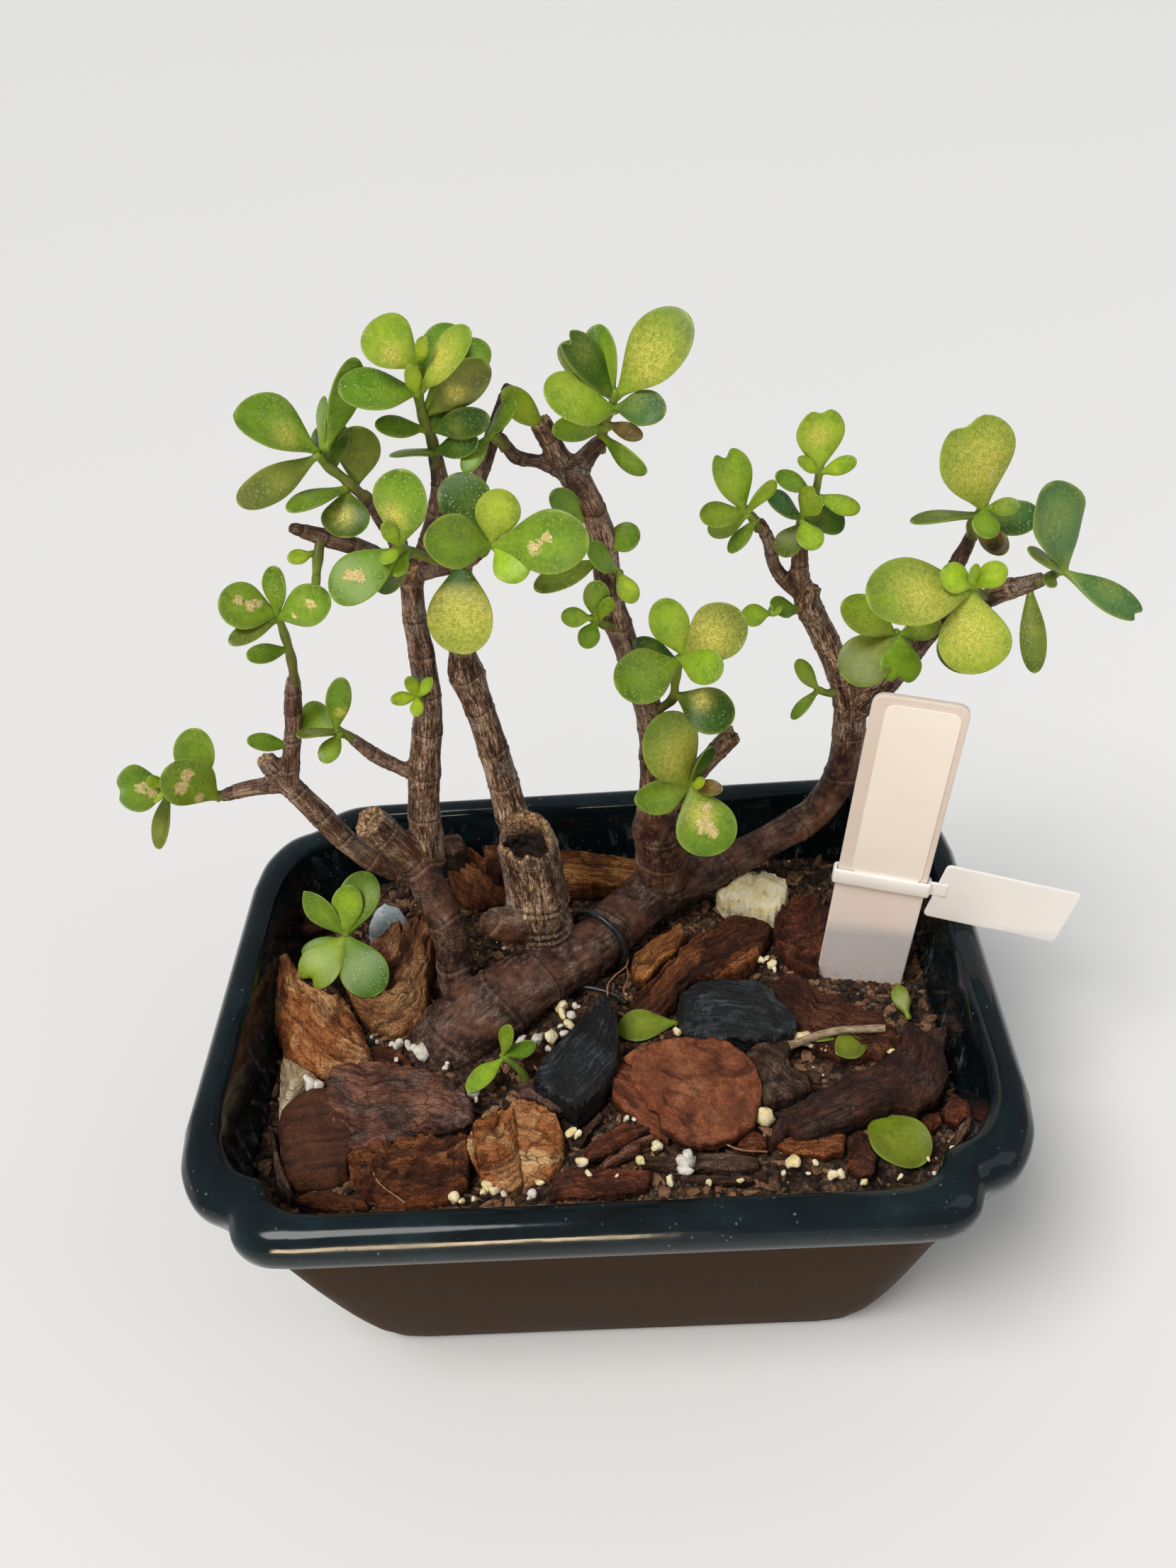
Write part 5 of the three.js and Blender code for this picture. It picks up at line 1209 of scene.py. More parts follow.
paint = Paint("dull_glaze", Specular_IOR_Level=0.02)
smudge = paint.noise(paint.place((1, 1, 3)), 38, 5, 0.6, 0.4)
grain_of_clay = paint.noise(paint.place(), 900, 4, 0.6)
body = paint.ramp(smudge, (0.3, (0.020, 0.009, 0.002)), (0.7, (0.042, 0.021, 0.007)))
body = paint.mix(paint.remap(grain_of_clay, 0.60, 0.72, 0.0, 0.4), body, (0.07, 0.042, 0.018))
dull_finish = paint.finish(body, paint.remap(smudge, 0.3, 0.7, 0.36, 0.52),
                           paint.bump(grain_of_clay, 0.05, 0.5))
pot_mesh = make_mesh("pot_dressed", pot_pile, glaze_finish)
pot_mesh.materials.append(dull_finish)
body_rings = sum(1 for inset, z, corner in profile[:OUTSIDE_RINGS] if z < BAND_BOTTOM - 0.1)
for polygon in pot_mesh.polygons:
    if max(polygon.vertices) < body_rings * around:
        polygon.material_index = 1
settle(pot_mesh, "glaze", "pot")
print("pot:", triangles(pot_mesh), "triangles")

# %% [markdown]
# ## The soil
# The mix is dark and coarse. Its top is one skin of rings drawn from the pot's inner outline
# towards the middle, with broad swells and a crumbly relief. The loose grains come later.

# %% Soil body
SOIL_LEVEL, SOIL_RINGS = 58, 74
EDGE_DROP = 1.5  # how far the soil lies lower where it meets the pot
BEHIND_WALL = 0.45  # how far the soil reaches into the clay, so that no gap shows
OFF_FLOOR = 0.4
SETTLED = 0.6


def soil_height(x, y):
    swell = 1.1 * np.sin(x / 13 + 1) * np.cos(y / 11) + 0.5 * np.sin(x / 5 + y / 6)
    return SOIL_LEVEL + swell


inset, corner = inner_inset(SOIL_LEVEL - EDGE_DROP)
edge = pot_plan(inset + BEHIND_WALL, 0, corner)
foot_inset, foot_corner = inner_inset(FLOOR_TOP + OFF_FLOOR)
rings = [pot_plan(foot_inset + BEHIND_WALL, FLOOR_TOP + OFF_FLOOR, foot_corner)]
for shrink in np.linspace(1, 0.02, SOIL_RINGS):
    ring = edge * (shrink, shrink, 1)
    blend = soft(np.full(len(ring), shrink), 1.0, 0.86)
    lift = relief(ring, 5.0, 21, 4) * 1.1 + relief(ring, 1.4, 22, 2) * 0.35
    ring[:, 2] = (SOIL_LEVEL - EDGE_DROP) * (1 - blend) + soil_height(ring[:, 0], ring[:, 1]) * blend
    ring[:, 2] += lift * soft(np.full(len(ring), shrink), 1.0, 0.97) - SETTLED
    rings.append(ring)
soil_pile = Pile()
verts = np.vstack(rings + [rings[0].mean(0), rings[-1].mean(0)])
top = np.concatenate([np.zeros(2 * around), np.ones(around * (SOIL_RINGS - 1)), [0, 1]])
soil_pile.add(verts, ring_faces(len(rings), around), top=top)

# %% Soil finish
paint = Paint("potting_mix", Specular_IOR_Level=0.3)
here = paint.place()
crumbs = paint.noise(here, 700, 5, 0.7)
patches = paint.noise(here, 120, 3, 0.6)
# The darker soil is nearly black: partly the mix's own colour, partly painted shade for the gaps between the chips.
dark_soil_and_shade = paint.ramp(crumbs, (0.34, (0.002, 0.0012, 0.001)), (0.5, (0.010, 0.005, 0.003)),
                       (0.66, (0.055, 0.028, 0.014)))
dry_soil = paint.ramp(crumbs, (0.36, (0.012, 0.006, 0.004)), (0.5, (0.085, 0.045, 0.025)),
                      (0.64, (0.26, 0.15, 0.075)))
colour = paint.mix(paint.remap(patches, 0.42, 0.62), dark_soil_and_shade, dry_soil)
soil_finish = paint.finish(colour, paint.remap(crumbs, 0.3, 0.7, 0.75, 0.95),
                           paint.bump(crumbs, 0.8, 1.0))
soil_mesh = dress("soil", soil_pile, soil_finish, "soil")
print("soil:", triangles(soil_mesh), "triangles")

# %% [markdown]
# ### Loose grains
# Bark fines, pumice grains and dark grit lie on the soil by the hundred. That is work for
# Geometry Nodes: points are strewn over the soil's top, each takes one of a few small
# stones, turned and sized at random, and the result is realized as one plain mesh. One tree
# serves all three kinds; its inputs set the number, the sizes, the seed and the finish.

# %% Small stones to strew
PEBBLE_SIDES, FIRST_PEBBLE_SEED = 6, 30


def pebble(name, seed, stretch, roughness, collection):
    """Four rings of six points, pulled out of round, about one metre across before it is sized."""
    turn = np.linspace(0, 2 * np.pi, PEBBLE_SIDES, endpoint=False)
    rings = [np.column_stack([np.full(PEBBLE_SIDES, 0.5 * along), 0.5 * reach * np.cos(turn + along),
                              0.5 * reach * np.sin(turn + along)])
             for along, reach in ((-0.72, 0.6), (-0.25, 0.97), (0.3, 0.9), (0.74, 0.55))]
    points = np.vstack(rings + [(-0.5, 0, 0), (0.5, 0, 0)])
    points = points * (1 + roughness * relief(points, 0.4, seed, 2))[:, None] * stretch
    mesh = bpy.data.meshes.new(name)
    mesh.from_pydata(points.tolist(), [], ring_faces(len(rings), PEBBLE_SIDES))
    obj = bpy.data.objects.new(name, mesh)
    collection.objects.link(obj)


def stones(name, shapes):
    collection = bpy.data.collections.new(name)
    for number, (stretch, roughness) in enumerate(shapes):
        pebble(f"{name}_{number}", FIRST_PEBBLE_SEED + number, np.array(stretch), roughness, collection)
    return collection


# %% Trees with named inputs
def new_tree(name, result, **inputs):
    """A Geometry Nodes tree with named inputs, and the sockets they arrive at."""
    tree = bpy.data.node_groups.new(name, "GeometryNodeTree")
    for key, kind in inputs.items():
        tree.interface.new_socket(key.replace("_", " "), in_out="INPUT", socket_type="NodeSocket" + kind)
    tree.interface.new_socket(result, in_out="OUTPUT", socket_type="NodeSocketGeometry")
    return tree, tree.nodes.new("NodeGroupInput").outputs


def end_tree(tree, geometry, finish):
    """Makes instances real, gives them their finish and hands them out."""
    real = add_node(tree, "GeometryNodeRealizeInstances", {0: geometry}).outputs[0]
    painted = add_node(tree, "GeometryNodeSetMaterial", {"Geometry": real, "Material": finish}).outputs[0]
    add_node(tree, "NodeGroupOutput", {0: painted})
    return tree


# %% The strewing tree
HALF_TURN, PATCH_EDGE, SHADE_SEED = 3.14, 0.08, 5


def strewing_tree():
    """Points on the top, thicker in patches, that each get a stone of random turn, size and shade."""
    tree, given = new_tree(
        "strew_grains", "Grains", Surface="Geometry", Stones="Collection", Finish="Material",
        Grains_Per_Square_Metre="Float", Least_Spacing="Float", Smallest="Float", Largest="Float",
        Tilt="Float", Sink="Float", Patch_Size="Float", Patch_Share="Float", Seed="Int")
    seed, share = given["Seed"], given["Patch Share"]

    def out(kind, inputs, output=0, **properties):
        return add_node(tree, kind, inputs, **properties).outputs[output]

    patches = out("ShaderNodeTexNoise", {"Scale": given["Patch Size"], "W": seed}, noise_dimensions="4D")
    above = out("ShaderNodeMath", {0: share, 1: PATCH_EDGE}, operation="ADD")
    patchy = out("ShaderNodeMapRange", {0: patches, 1: share, 2: above})
    on_top = out("GeometryNodeInputNamedAttribute", {0: "top"}, data_type="FLOAT")
    factor = out("ShaderNodeMath", {0: patchy, 1: on_top}, operation="MULTIPLY")
    points = out("GeometryNodeDistributePointsOnFaces", {
        "Mesh": given["Surface"], "Distance Min": given["Least Spacing"], "Seed": seed,
        "Density Max": given["Grains Per Square Metre"], "Density Factor": factor},
        distribute_method="POISSON")
    down = out("ShaderNodeCombineXYZ", {"Z": given["Sink"]})
    lower = out("GeometryNodeSetPosition", {"Geometry": points, "Offset": down})
    kinds = out("GeometryNodeCollectionInfo", {
        "Collection": given["Stones"], "Separate Children": True, "Reset Children": True})
    tilt = out("ShaderNodeCombineXYZ", {0: given["Tilt"], 1: given["Tilt"], 2: HALF_TURN})
    back = out("ShaderNodeVectorMath", {0: tilt, "Scale": -1}, operation="SCALE")
    turn = out("FunctionNodeRandomValue", {0: back, 1: tilt, "Seed": seed}, data_type="FLOAT_VECTOR")
    size = out("FunctionNodeRandomValue", {2: given["Smallest"], 3: given["Largest"], "Seed": seed}, 1)
    each = out("GeometryNodeInstanceOnPoints", {
        "Points": lower, "Instance": kinds, "Rotation": turn, "Scale": size, "Pick Instance": True})
    shade = out("FunctionNodeRandomValue", {"Seed": SHADE_SEED}, 1)
    keep = out("GeometryNodeStoreNamedAttribute", {"Geometry": each, "Name": "shade", "Value": shade},
               domain="INSTANCE")
    return end_tree(tree, keep, given["Finish"])


# %% Run a tree
def grown(name, mesh, tree, smooth=True, **inputs):
    """Runs a Geometry Nodes tree on a mesh or curve and returns its result as a plain mesh."""
    carrier = in_scene(name + "_carrier", mesh)
    modifier = carrier.modifiers.new(name, "NODES")
    modifier.node_group = tree
    sockets = {s.name: s.identifier for s in tree.interface.items_tree if s.in_out == "INPUT"}
    for key, value in inputs.items():
        modifier[sockets[key.replace("_", " ")]] = value
    carrier.update_tag()
    result = bpy.data.meshes.new_from_object(
        carrier.evaluated_get(bpy.context.evaluated_depsgraph_get()))
    bpy.data.objects.remove(carrier)
    result.name = name
    result.shade_smooth() if smooth else result.shade_flat()
    return result


STREW = strewing_tree()
print("strewing tree:", len(STREW.nodes), "nodes")


# %% Finishes of the grains
def grain_finish(name, dark, middle, light, scale, depth):
    paint = Paint(name, Specular_IOR_Level=0.3)
    shade = paint.attribute("shade")
    pattern = paint.noise(paint.place(), scale, 4, 0.65)
    mixed = paint.plus(paint.times(pattern, 0.6), paint.times(shade, 0.5))
    colour = paint.ramp(mixed, (0.25, dark), (0.52, middle), (0.85, light))
    return paint.finish(colour, paint.remap(pattern, 0.3, 0.7, 0.7, 0.95), paint.bump(pattern, depth))


BARK_GRAIN = grain_finish("bark_fines", (0.008, 0.0035, 0.002), (0.074, 0.035, 0.018),
                          (0.34, 0.18, 0.09), 900, 0.25)
PALE_GRAIN = grain_finish("pumice_grains", (0.34, 0.22, 0.10), (0.66, 0.55, 0.38),
                          (0.88, 0.85, 0.78), 800, 0.25)
DARK_GRAIN = grain_finish("dark_grit", (0.006, 0.006, 0.007), (0.035, 0.032, 0.030),
                          (0.13, 0.12, 0.11), 1200, 0.2)

# %% Strew the grains
FLAKES = stones("flake", [((1.0, 0.42, 0.22), 0.5), ((0.9, 0.6, 0.25), 0.55), ((1.0, 0.26, 0.2), 0.45),
                          ((0.7, 0.6, 0.35), 0.6)])
ROUND = stones("grain", [((0.9, 0.8, 0.7), 0.35), ((1.0, 0.7, 0.65), 0.45), ((0.8, 0.8, 0.8), 0.5)])
STREWN = table("""
loose_fines bark_chips: 160000 0.0016 0.0022 0.0062 0.5 0.0002 30 0.3 3;
loose_crumbs soil: 200000 0.0011 0.0008 0.0022 3.1 0.0 60 0.42 4;
loose_pumice pumice: 60000 0.0022 0.0006 0.0018 3.1 0.0002 48 0.52 8;
loose_grit charcoal: 110000 0.0013 0.0009 0.0026 3.1 0.0 45 0.44 11;
""")
GRAINS = {"loose_fines": (FLAKES, BARK_GRAIN), "loose_crumbs": (ROUND, BARK_GRAIN),
          "loose_pumice": (ROUND, PALE_GRAIN), "loose_grit": (ROUND, DARK_GRAIN)}
MEASURES = ("Grains_Per_Square_Metre", "Least_Spacing", "Smallest", "Largest", "Tilt", "Sink",
            "Patch_Size", "Patch_Share", "Seed")
for (name, slot), ((numbers,),) in STREWN:
    kinds, finish = GRAINS[name]
    numbers = [float(n) for n in numbers[:-1]] + [numbers[-1]]
    mesh = grown(name, soil_mesh, STREW, False, Stones=kinds, Finish=finish,
                 **dict(zip(MEASURES, numbers)))
    settle(mesh, slot)
    print(name + ":", triangles(mesh), "triangles")
for collection in (FLAKES, ROUND):
    for obj in list(collection.objects):
        bpy.data.objects.remove(obj)
    bpy.data.collections.remove(collection)

# %% [markdown]
# ## Bark chips, charcoal and stones
# The soil is dressed with broken pine bark, two lumps of charcoal, a pumice rock and a pale
# stone. Bark breaks into slabs whose edges are torn and whose skins flake off in layers. Each
# slab is a grid stretched between its far edge and its near edge, so that one direction of
# the grid is the grain. The edges are given as corners in the photograph, which the camera above
# turns into places on a plane, level or tilted, at the height of the slab's top.

# %% From a pixel to a plane
PICTURE_MIDDLE_PX = (829.5, 1106)
TO_RIGHT, TO_UP, TO_BACK = (np.array(v) for v in camera_axes())
EYE_MM = np.array(EYE) / MM


def on_plane(pixels, height, slope=(0, 0)):
    """Where the rays through picture points meet a plane. Its height is at their middle."""
    pixels = np.array(pixels, float)
    rays = (-TO_BACK + TO_RIGHT * (pixels[:, :1] - PICTURE_MIDDLE_PX[0]) / FOCAL_PX
            - TO_UP * (pixels[:, 1:] - PICTURE_MIDDLE_PX[1]) / FOCAL_PX)
    level = EYE_MM + rays * ((height - EYE_MM[2]) / rays[:, 2])[:, None]
    middle = (level.min(0) + level.max(0)) / 2
    normal = np.array([-slope[0], -slope[1], 1.0])
    reach = (middle - EYE_MM).dot(normal) / rays.dot(normal)
    return EYE_MM + rays * reach[:, None]


# %% Edges, facets and sides of a slab
SLAB_CELL = 0.53  # the size of a grid cell, in millimetres
SIDE_STEPS = 7
JOIN = 0.5  # closer than this, the far and the near edge start in one point


def even(line, count):
    """A line of points with its corners kept, spaced evenly."""
    steps = np.append(0, np.cumsum(np.linalg.norm(np.diff(line, axis=0), axis=1)))
    at = np.linspace(0, steps[-1], count)
    return np.column_stack([np.interp(at, steps, line[:, i]) for i in range(3)])


def faceted(s, t, height, seed, count=9):
    """A low crystal-like dome: the lowest of a few tilted planes."""
    draw = np.random.default_rng(seed)
    turn = np.linspace(0, 2 * np.pi, count, endpoint=False) + draw.uniform(-0.3, 0.3, count)
    reach = draw.uniform(0.15, 0.75, count)
    slant = draw.uniform(0.5, 1.3, count)
    across = (np.cos(turn)[:, None, None] * s / np.abs(s).max()
              + np.sin(turn)[:, None, None] * t / np.abs(t).max())
    return height * np.minimum(0, ((reach[:, None, None] - across) * slant[:, None, None]).min(0))


def slab_body(grid, middle, depth, side, seed):
    """All points and faces of a slab: its top grid, ragged sides and closed underside."""
    columns, rows = grid.shape[:2]
    last = rows - 1
    loop = ([(i, last) for i in range(columns)] + [(columns - 1, j) for j in range(last - 1, -1, -1)]
            + [(i, 0) for i in range(columns - 2, -1, -1)] + [(0, j) for j in range(1, last)])
    loop_i, loop_j = (np.array(k) for k in zip(*loop))
    border = grid[loop_i, loop_j]
    push = border - middle[np.clip(loop_i, columns // 8, columns - 1 - columns // 8)]
    push[:, 2] = 0
    push /= np.linalg.norm(push, axis=1)[:, None] + 1e-6
    sides = [border]
    for k in range(1, SIDE_STEPS + 1):
        down = k / SIDE_STEPS
        ledge = (side * relief(border * (0.3, 0.3, 0) + [0, 0, 3.1 * k], 1.4, seed + 4, 2)
                 + side * 0.5 * (k % 2))
        ring = border + push * ledge[:, None]
        ring[:, 2] -= depth * down * (1 + 0.12 * relief(border * 0.3, 1.0, seed + k, 1))
        sides.append(ring)
    around = len(loop)
    top_count = columns * rows
    verts = np.vstack([grid.reshape(-1, 3)] + sides[1:])
    corners = [i * rows + j for i in range(columns - 1) for j in range(last)]
    faces = [(k, k + 1, k + rows + 1, k + rows) for k in corners]
    border_at = loop_i * rows + loop_j
    ring_index = [border_at.tolist()]
    ring_index += [list(range(top_count + k * around, top_count + (k + 1) * around))
                   for k in range(SIDE_STEPS)]
    for upper, lower in zip(ring_index, ring_index[1:]):
        faces += [(upper[m], lower[m], lower[(m + 1) % around], upper[(m + 1) % around])
                  for m in range(around)]
    low = ring_index[-1]
    near_side = low[:columns]
    far_side = low[columns + last - 1:2 * columns + last - 1][::-1]
    faces += [(near_side[i], far_side[i], far_side[i + 1], near_side[i + 1]) for i in range(columns - 1)]
    faces.append((near_side[0], *low[:2 * columns + last - 2:-1], far_side[0]))
    faces.append((far_side[-1], *low[columns:columns + last - 1][::-1], near_side[-1]))
    return verts, faces, border_at


# %% Slab of bark
def slab(far, near, height, slope, depth, seed, wear=0.6, fibre=0.35, torn=0.7, step=0.9, crack=0.7,
         crown=0.0, ease=0.9, side=0.6, thread=1.1, along=0.05, ridge=0.0, facets=1.2):
    """Points, faces, grain place and marks of one slab. All sizes are millimetres."""
    count = len(far)
    edges = on_plane(list(far) + list(near), height, slope)
    length = max(np.linalg.norm(np.diff(line, axis=0), axis=1).sum()
                 for line in (edges[:count], edges[count:]))
    columns = int(min(100, max(24, length / SLAB_CELL)))
    far, near = even(edges[:count], columns), even(edges[count:], columns)
    rows = int(min(80, max(10, np.linalg.norm(far - near, axis=1).max() / SLAB_CELL)))
    u, v = np.linspace(0, 1, columns), np.linspace(0, 1, rows)
    outward = far - near
    outward /= np.linalg.norm(outward, axis=1)[:, None] + 1e-6
    for line, sign, shift in ((far, 1, 0), (near, -1, 50)):
        ragged = (relief(line + [shift, 0, 0], 4.5, seed, 3)
                  + 0.8 * relief(line + [shift, 9, 0], 1.3, seed, 2))
        line += outward * sign * torn * ragged[:, None]
    if np.linalg.norm(far[0] - near[0]) < JOIN:
        far[0] = (far[0] + near[0]) / 2
    start = edges[count]
    near[0] = start if np.linalg.norm(far[0] - start) > JOIN else far[0]
    grid = far[:, None] * (1 - v)[None, :, None] + near[:, None] * v[None, :, None]
    width = np.linalg.norm(far - near, axis=1)
    s = u[:, None] * length * np.ones((1, rows))
    t = (v[None, :] - 0.5) * width[:, None]
    inside = np.minimum(np.minimum(v, 1 - v)[None, :] * width[:, None],
                        np.minimum(u, 1 - u)[:, None] * length)
    place = np.stack([s, t, 0 * s], 2).reshape(-1, 3)
    rough = relief(place * (0.4, 1, 1), 7.0, seed, 3)
    threads = 1 - 2.6 * np.abs(relief(place * (along, 1, 1), thread * 1.6, seed + 1, 3))
    layer = (relief(place * (0.5, 1, 1), 9.0, seed + 2, 3) * 2.6
             + 0.35 * relief(place * (0.5, 1, 1), 1.6, seed + 8, 2))
    base = np.floor(layer)
    terrace = (base + soft(layer - base, 0.40, 0.60)) / 2.0
    fissure = np.exp(-(relief(place * (0.3, 1, 1), 7.0, seed + 3, 4) / 0.05) ** 2)
    rise = wear * rough + fibre * threads + step * terrace - crack * fissure
    rise = rise.reshape(s.shape) + faceted(s - length / 2, t, facets, seed)
    rise = rise + (ridge * (1 - np.abs(2 * v[None, :] - 1.1))
                   * np.sin(np.pi * np.clip(u, 0.08, 0.92))[:, None])
    rise = rise - ease * (1 - np.sqrt(1 - (1 - np.clip(inside / ease, 0, 1)) ** 2))
    rise = rise + (crown * (1 - (2 * v[None, :] - 1) ** 2)
                   * np.sin(np.pi * np.clip(u, 0.04, 0.96))[:, None] ** 0.5)
    grid[..., 2] += rise

    verts, faces, border = slab_body(grid, (far + near) / 2, depth, side, seed)
    grain = np.stack([s, t, rise], 2).reshape(-1, 3)
    steps = range(1, SIDE_STEPS + 1)
    around = len(border)
    side_grain = [np.column_stack([grain[border, 0], grain[border, 1] + 0.3 * k,
                                   np.full(around, -depth * k / SIDE_STEPS)]) for k in steps]
    torn_edge = np.exp(-inside / 1.2).reshape(-1)
    # Painted shadow: the finish darkens the low places of the grain, the first mark, and the slab's sides further
    # down, the third mark.
    low_place = np.clip(fissure + 0.7 * soft(-threads, 0.0, 0.9), 0, 1)
    raised = soft(threads + rough * 0.6, 0.1, 1.3)
    marks = np.vstack([np.column_stack([low_place, torn_edge, np.zeros(columns * rows), raised])]
                      + [np.tile([0.25, 0.6, k / SIDE_STEPS, 0.3], (around, 1)) for k in steps])
    blend = soft(layer - base, 0.5, 0.62)
    flake = ((0.5 + 0.5 * np.sin(base * 2.4 + seed)) * blend
             + (0.5 + 0.5 * np.sin((base - 1) * 2.4 + seed)) * (1 - blend))
    flake = np.concatenate([flake, np.tile(flake[border], SIDE_STEPS)])
    grain = (np.vstack([grain] + side_grain) + 40 * seed) * MM
    return verts, faces, dict(grain=grain, marks=marks, flake=flake)


# %% [markdown]
# ### Finish of bark
# All bark shares one recipe: colours along a thread noise that follows the grain, black in the
# cracks, redder and lighter where an edge is freshly torn, and darkened as painted shadow in
# low places and down the sides.
# Each kind gets its own three colours, and a tint for the layers that lie deeper.

# %% Bark finish
def bark_chip_finish(name, dark, middle, light, under, thread=1500, stretch=0.14, depth=0.4, sheen=0.25,
                     spread=1.0, rough=(0.55, 0.85), cracked=0.85, knobs=1.5):
    paint = Paint(name, Specular_IOR_Level=sheen)
    grain = paint.attribute("grain", "Vector")
    marks = paint.attribute("marks", "Color")
    low, edge, wall = (paint.parts(marks)[i] for i in range(3))
    threads = paint.noise(paint.scaled(grain, (stretch, 1, 1)), thread, 6, 0.72)
    broad = paint.noise(grain, 110, 4, 0.6)
    fine = paint.noise(paint.scaled(grain, (0.5, 1, 1)), 3600, 3, 0.7)
    mixed = paint.plus(paint.times(threads, 0.36),
                       paint.plus(paint.times(broad, 0.32), paint.times(fine, 0.32)))
    mixed = paint.plus(mixed, paint.remap(paint.attribute("marks", "Alpha"), 0.0, 1.0, -0.025, 0.035))
    colour = paint.ramp(mixed, (0.5 - 0.08 * spread, dark), (0.5, middle), (0.5 + 0.09 * spread, light))
    below = paint.remap(paint.attribute("flake"), 0.35, 0.75)
    colour = paint.mix(below, colour, paint.tint(colour, under))
    lighter = paint.tint(colour, (1.8, 1.5, 1.25))
    worn = paint.times(edge, paint.remap(fine, 0.45, 0.62))
    colour = paint.mix(paint.times(worn, 0.7), colour, lighter)
    shadow = paint.math("MAXIMUM", paint.times(low, 0.75), paint.remap(wall, 0.0, 0.7, 0.0, 0.92))
    colour = paint.mix(shadow, colour, paint.tint(colour, (0.22, 0.18, 0.16)))
    scales = paint.cells(paint.scaled(grain, (0.3, 1, 1)), 330, "DISTANCE_TO_EDGE")
    split = paint.times(paint.remap(scales, 0.035, 0.0), paint.remap(broad, 0.44, 0.56))
    colour = paint.mix(paint.times(split, cracked), colour, (0.006, 0.003, 0.002))
    height = paint.plus(threads, paint.times(fine, 0.6))
    height = paint.math("SUBTRACT", height, paint.times(split, 0.4 * cracked))
    lumpy = paint.bump(paint.noise(paint.scaled(grain, (0.6, 1, 1)), 450, 4, 0.7), knobs, 0.8)
    return paint.finish(colour, paint.remap(fine, 0.3, 0.7, *rough), paint.bump(height, depth, 1.0, lumpy))


# %% Kinds of bark: dark, middle and light colour, and the tint of deeper layers
# The light colour of the black kind, a pale blue grey, is a painted sheen on the charcoal.
BARK_COLOURS = {kind: colours for (kind,), (colours,) in table("""
cork: 0.15 0.055 0.019, 0.57 0.265 0.098, 0.8 0.52 0.25, 0.7 0.48 0.36;
tan: 0.06 0.019 0.006, 0.23 0.088 0.03, 0.52 0.3 0.13, 0.42 0.34 0.32;
orange: 0.045 0.011 0.003, 0.17 0.046 0.012, 0.4 0.16 0.055, 0.42 0.38 0.38;
amber: 0.08 0.022 0.005, 0.34 0.125 0.026, 0.62 0.32 0.1, 0.55 0.45 0.45;
red: 0.022 0.006 0.003, 0.072 0.021 0.009, 0.19 0.07 0.034, 1.5 1.25 1.1;
nut: 0.045 0.015 0.007, 0.085 0.029 0.013, 0.15 0.058 0.028, 1.15 1.05 1;
plate: 0.11 0.032 0.013, 0.19 0.058 0.024, 0.31 0.125 0.062, 1.2 1.1 1;
purple: 0.032 0.015 0.011, 0.125 0.066 0.05, 0.27 0.17 0.135, 1.45 1.05 0.85;
dusk: 0.012 0.005 0.004, 0.04 0.019 0.013, 0.11 0.058 0.042, 1.3 0.95 0.8;
grey: 0.03 0.016 0.01, 0.095 0.053 0.034, 0.26 0.17 0.12, 0.7 0.6 0.55;
cream: 0.34 0.22 0.11, 0.64 0.48 0.29, 0.84 0.74 0.55, 0.85 0.8 0.75;
black: 0.001 0.0011 0.0012, 0.0022 0.0025 0.0028, 0.075 0.095 0.11, 0.8 0.8 0.8;
""")}
BARK_SHAPES = {"plate": dict(thread=2600, stretch=0.7, depth=0.2, spread=0.9, cracked=0.0, knobs=0.4),
               "nut": dict(thread=1800, stretch=0.6, depth=0.25, cracked=0.3, knobs=0.5)}
for smooth_kind in ("purple", "dusk", "red"):
    BARK_SHAPES[smooth_kind] = dict(stretch=0.30)
BARK_FINISHES = {kind: bark_chip_finish(kind + "_bark", *colours, **BARK_SHAPES.get(kind, {}))
                 for kind, colours in BARK_COLOURS.items() if kind != "black"}
print("kinds of bark:", len(BARK_FINISHES))

# %% [markdown]
# ### The large chips
# Each line gives a chip's kind, its top's height, its slope along x and y and its depth. Then
# come the far and the near edge in picture points, from left to right, and what shapes its skin.

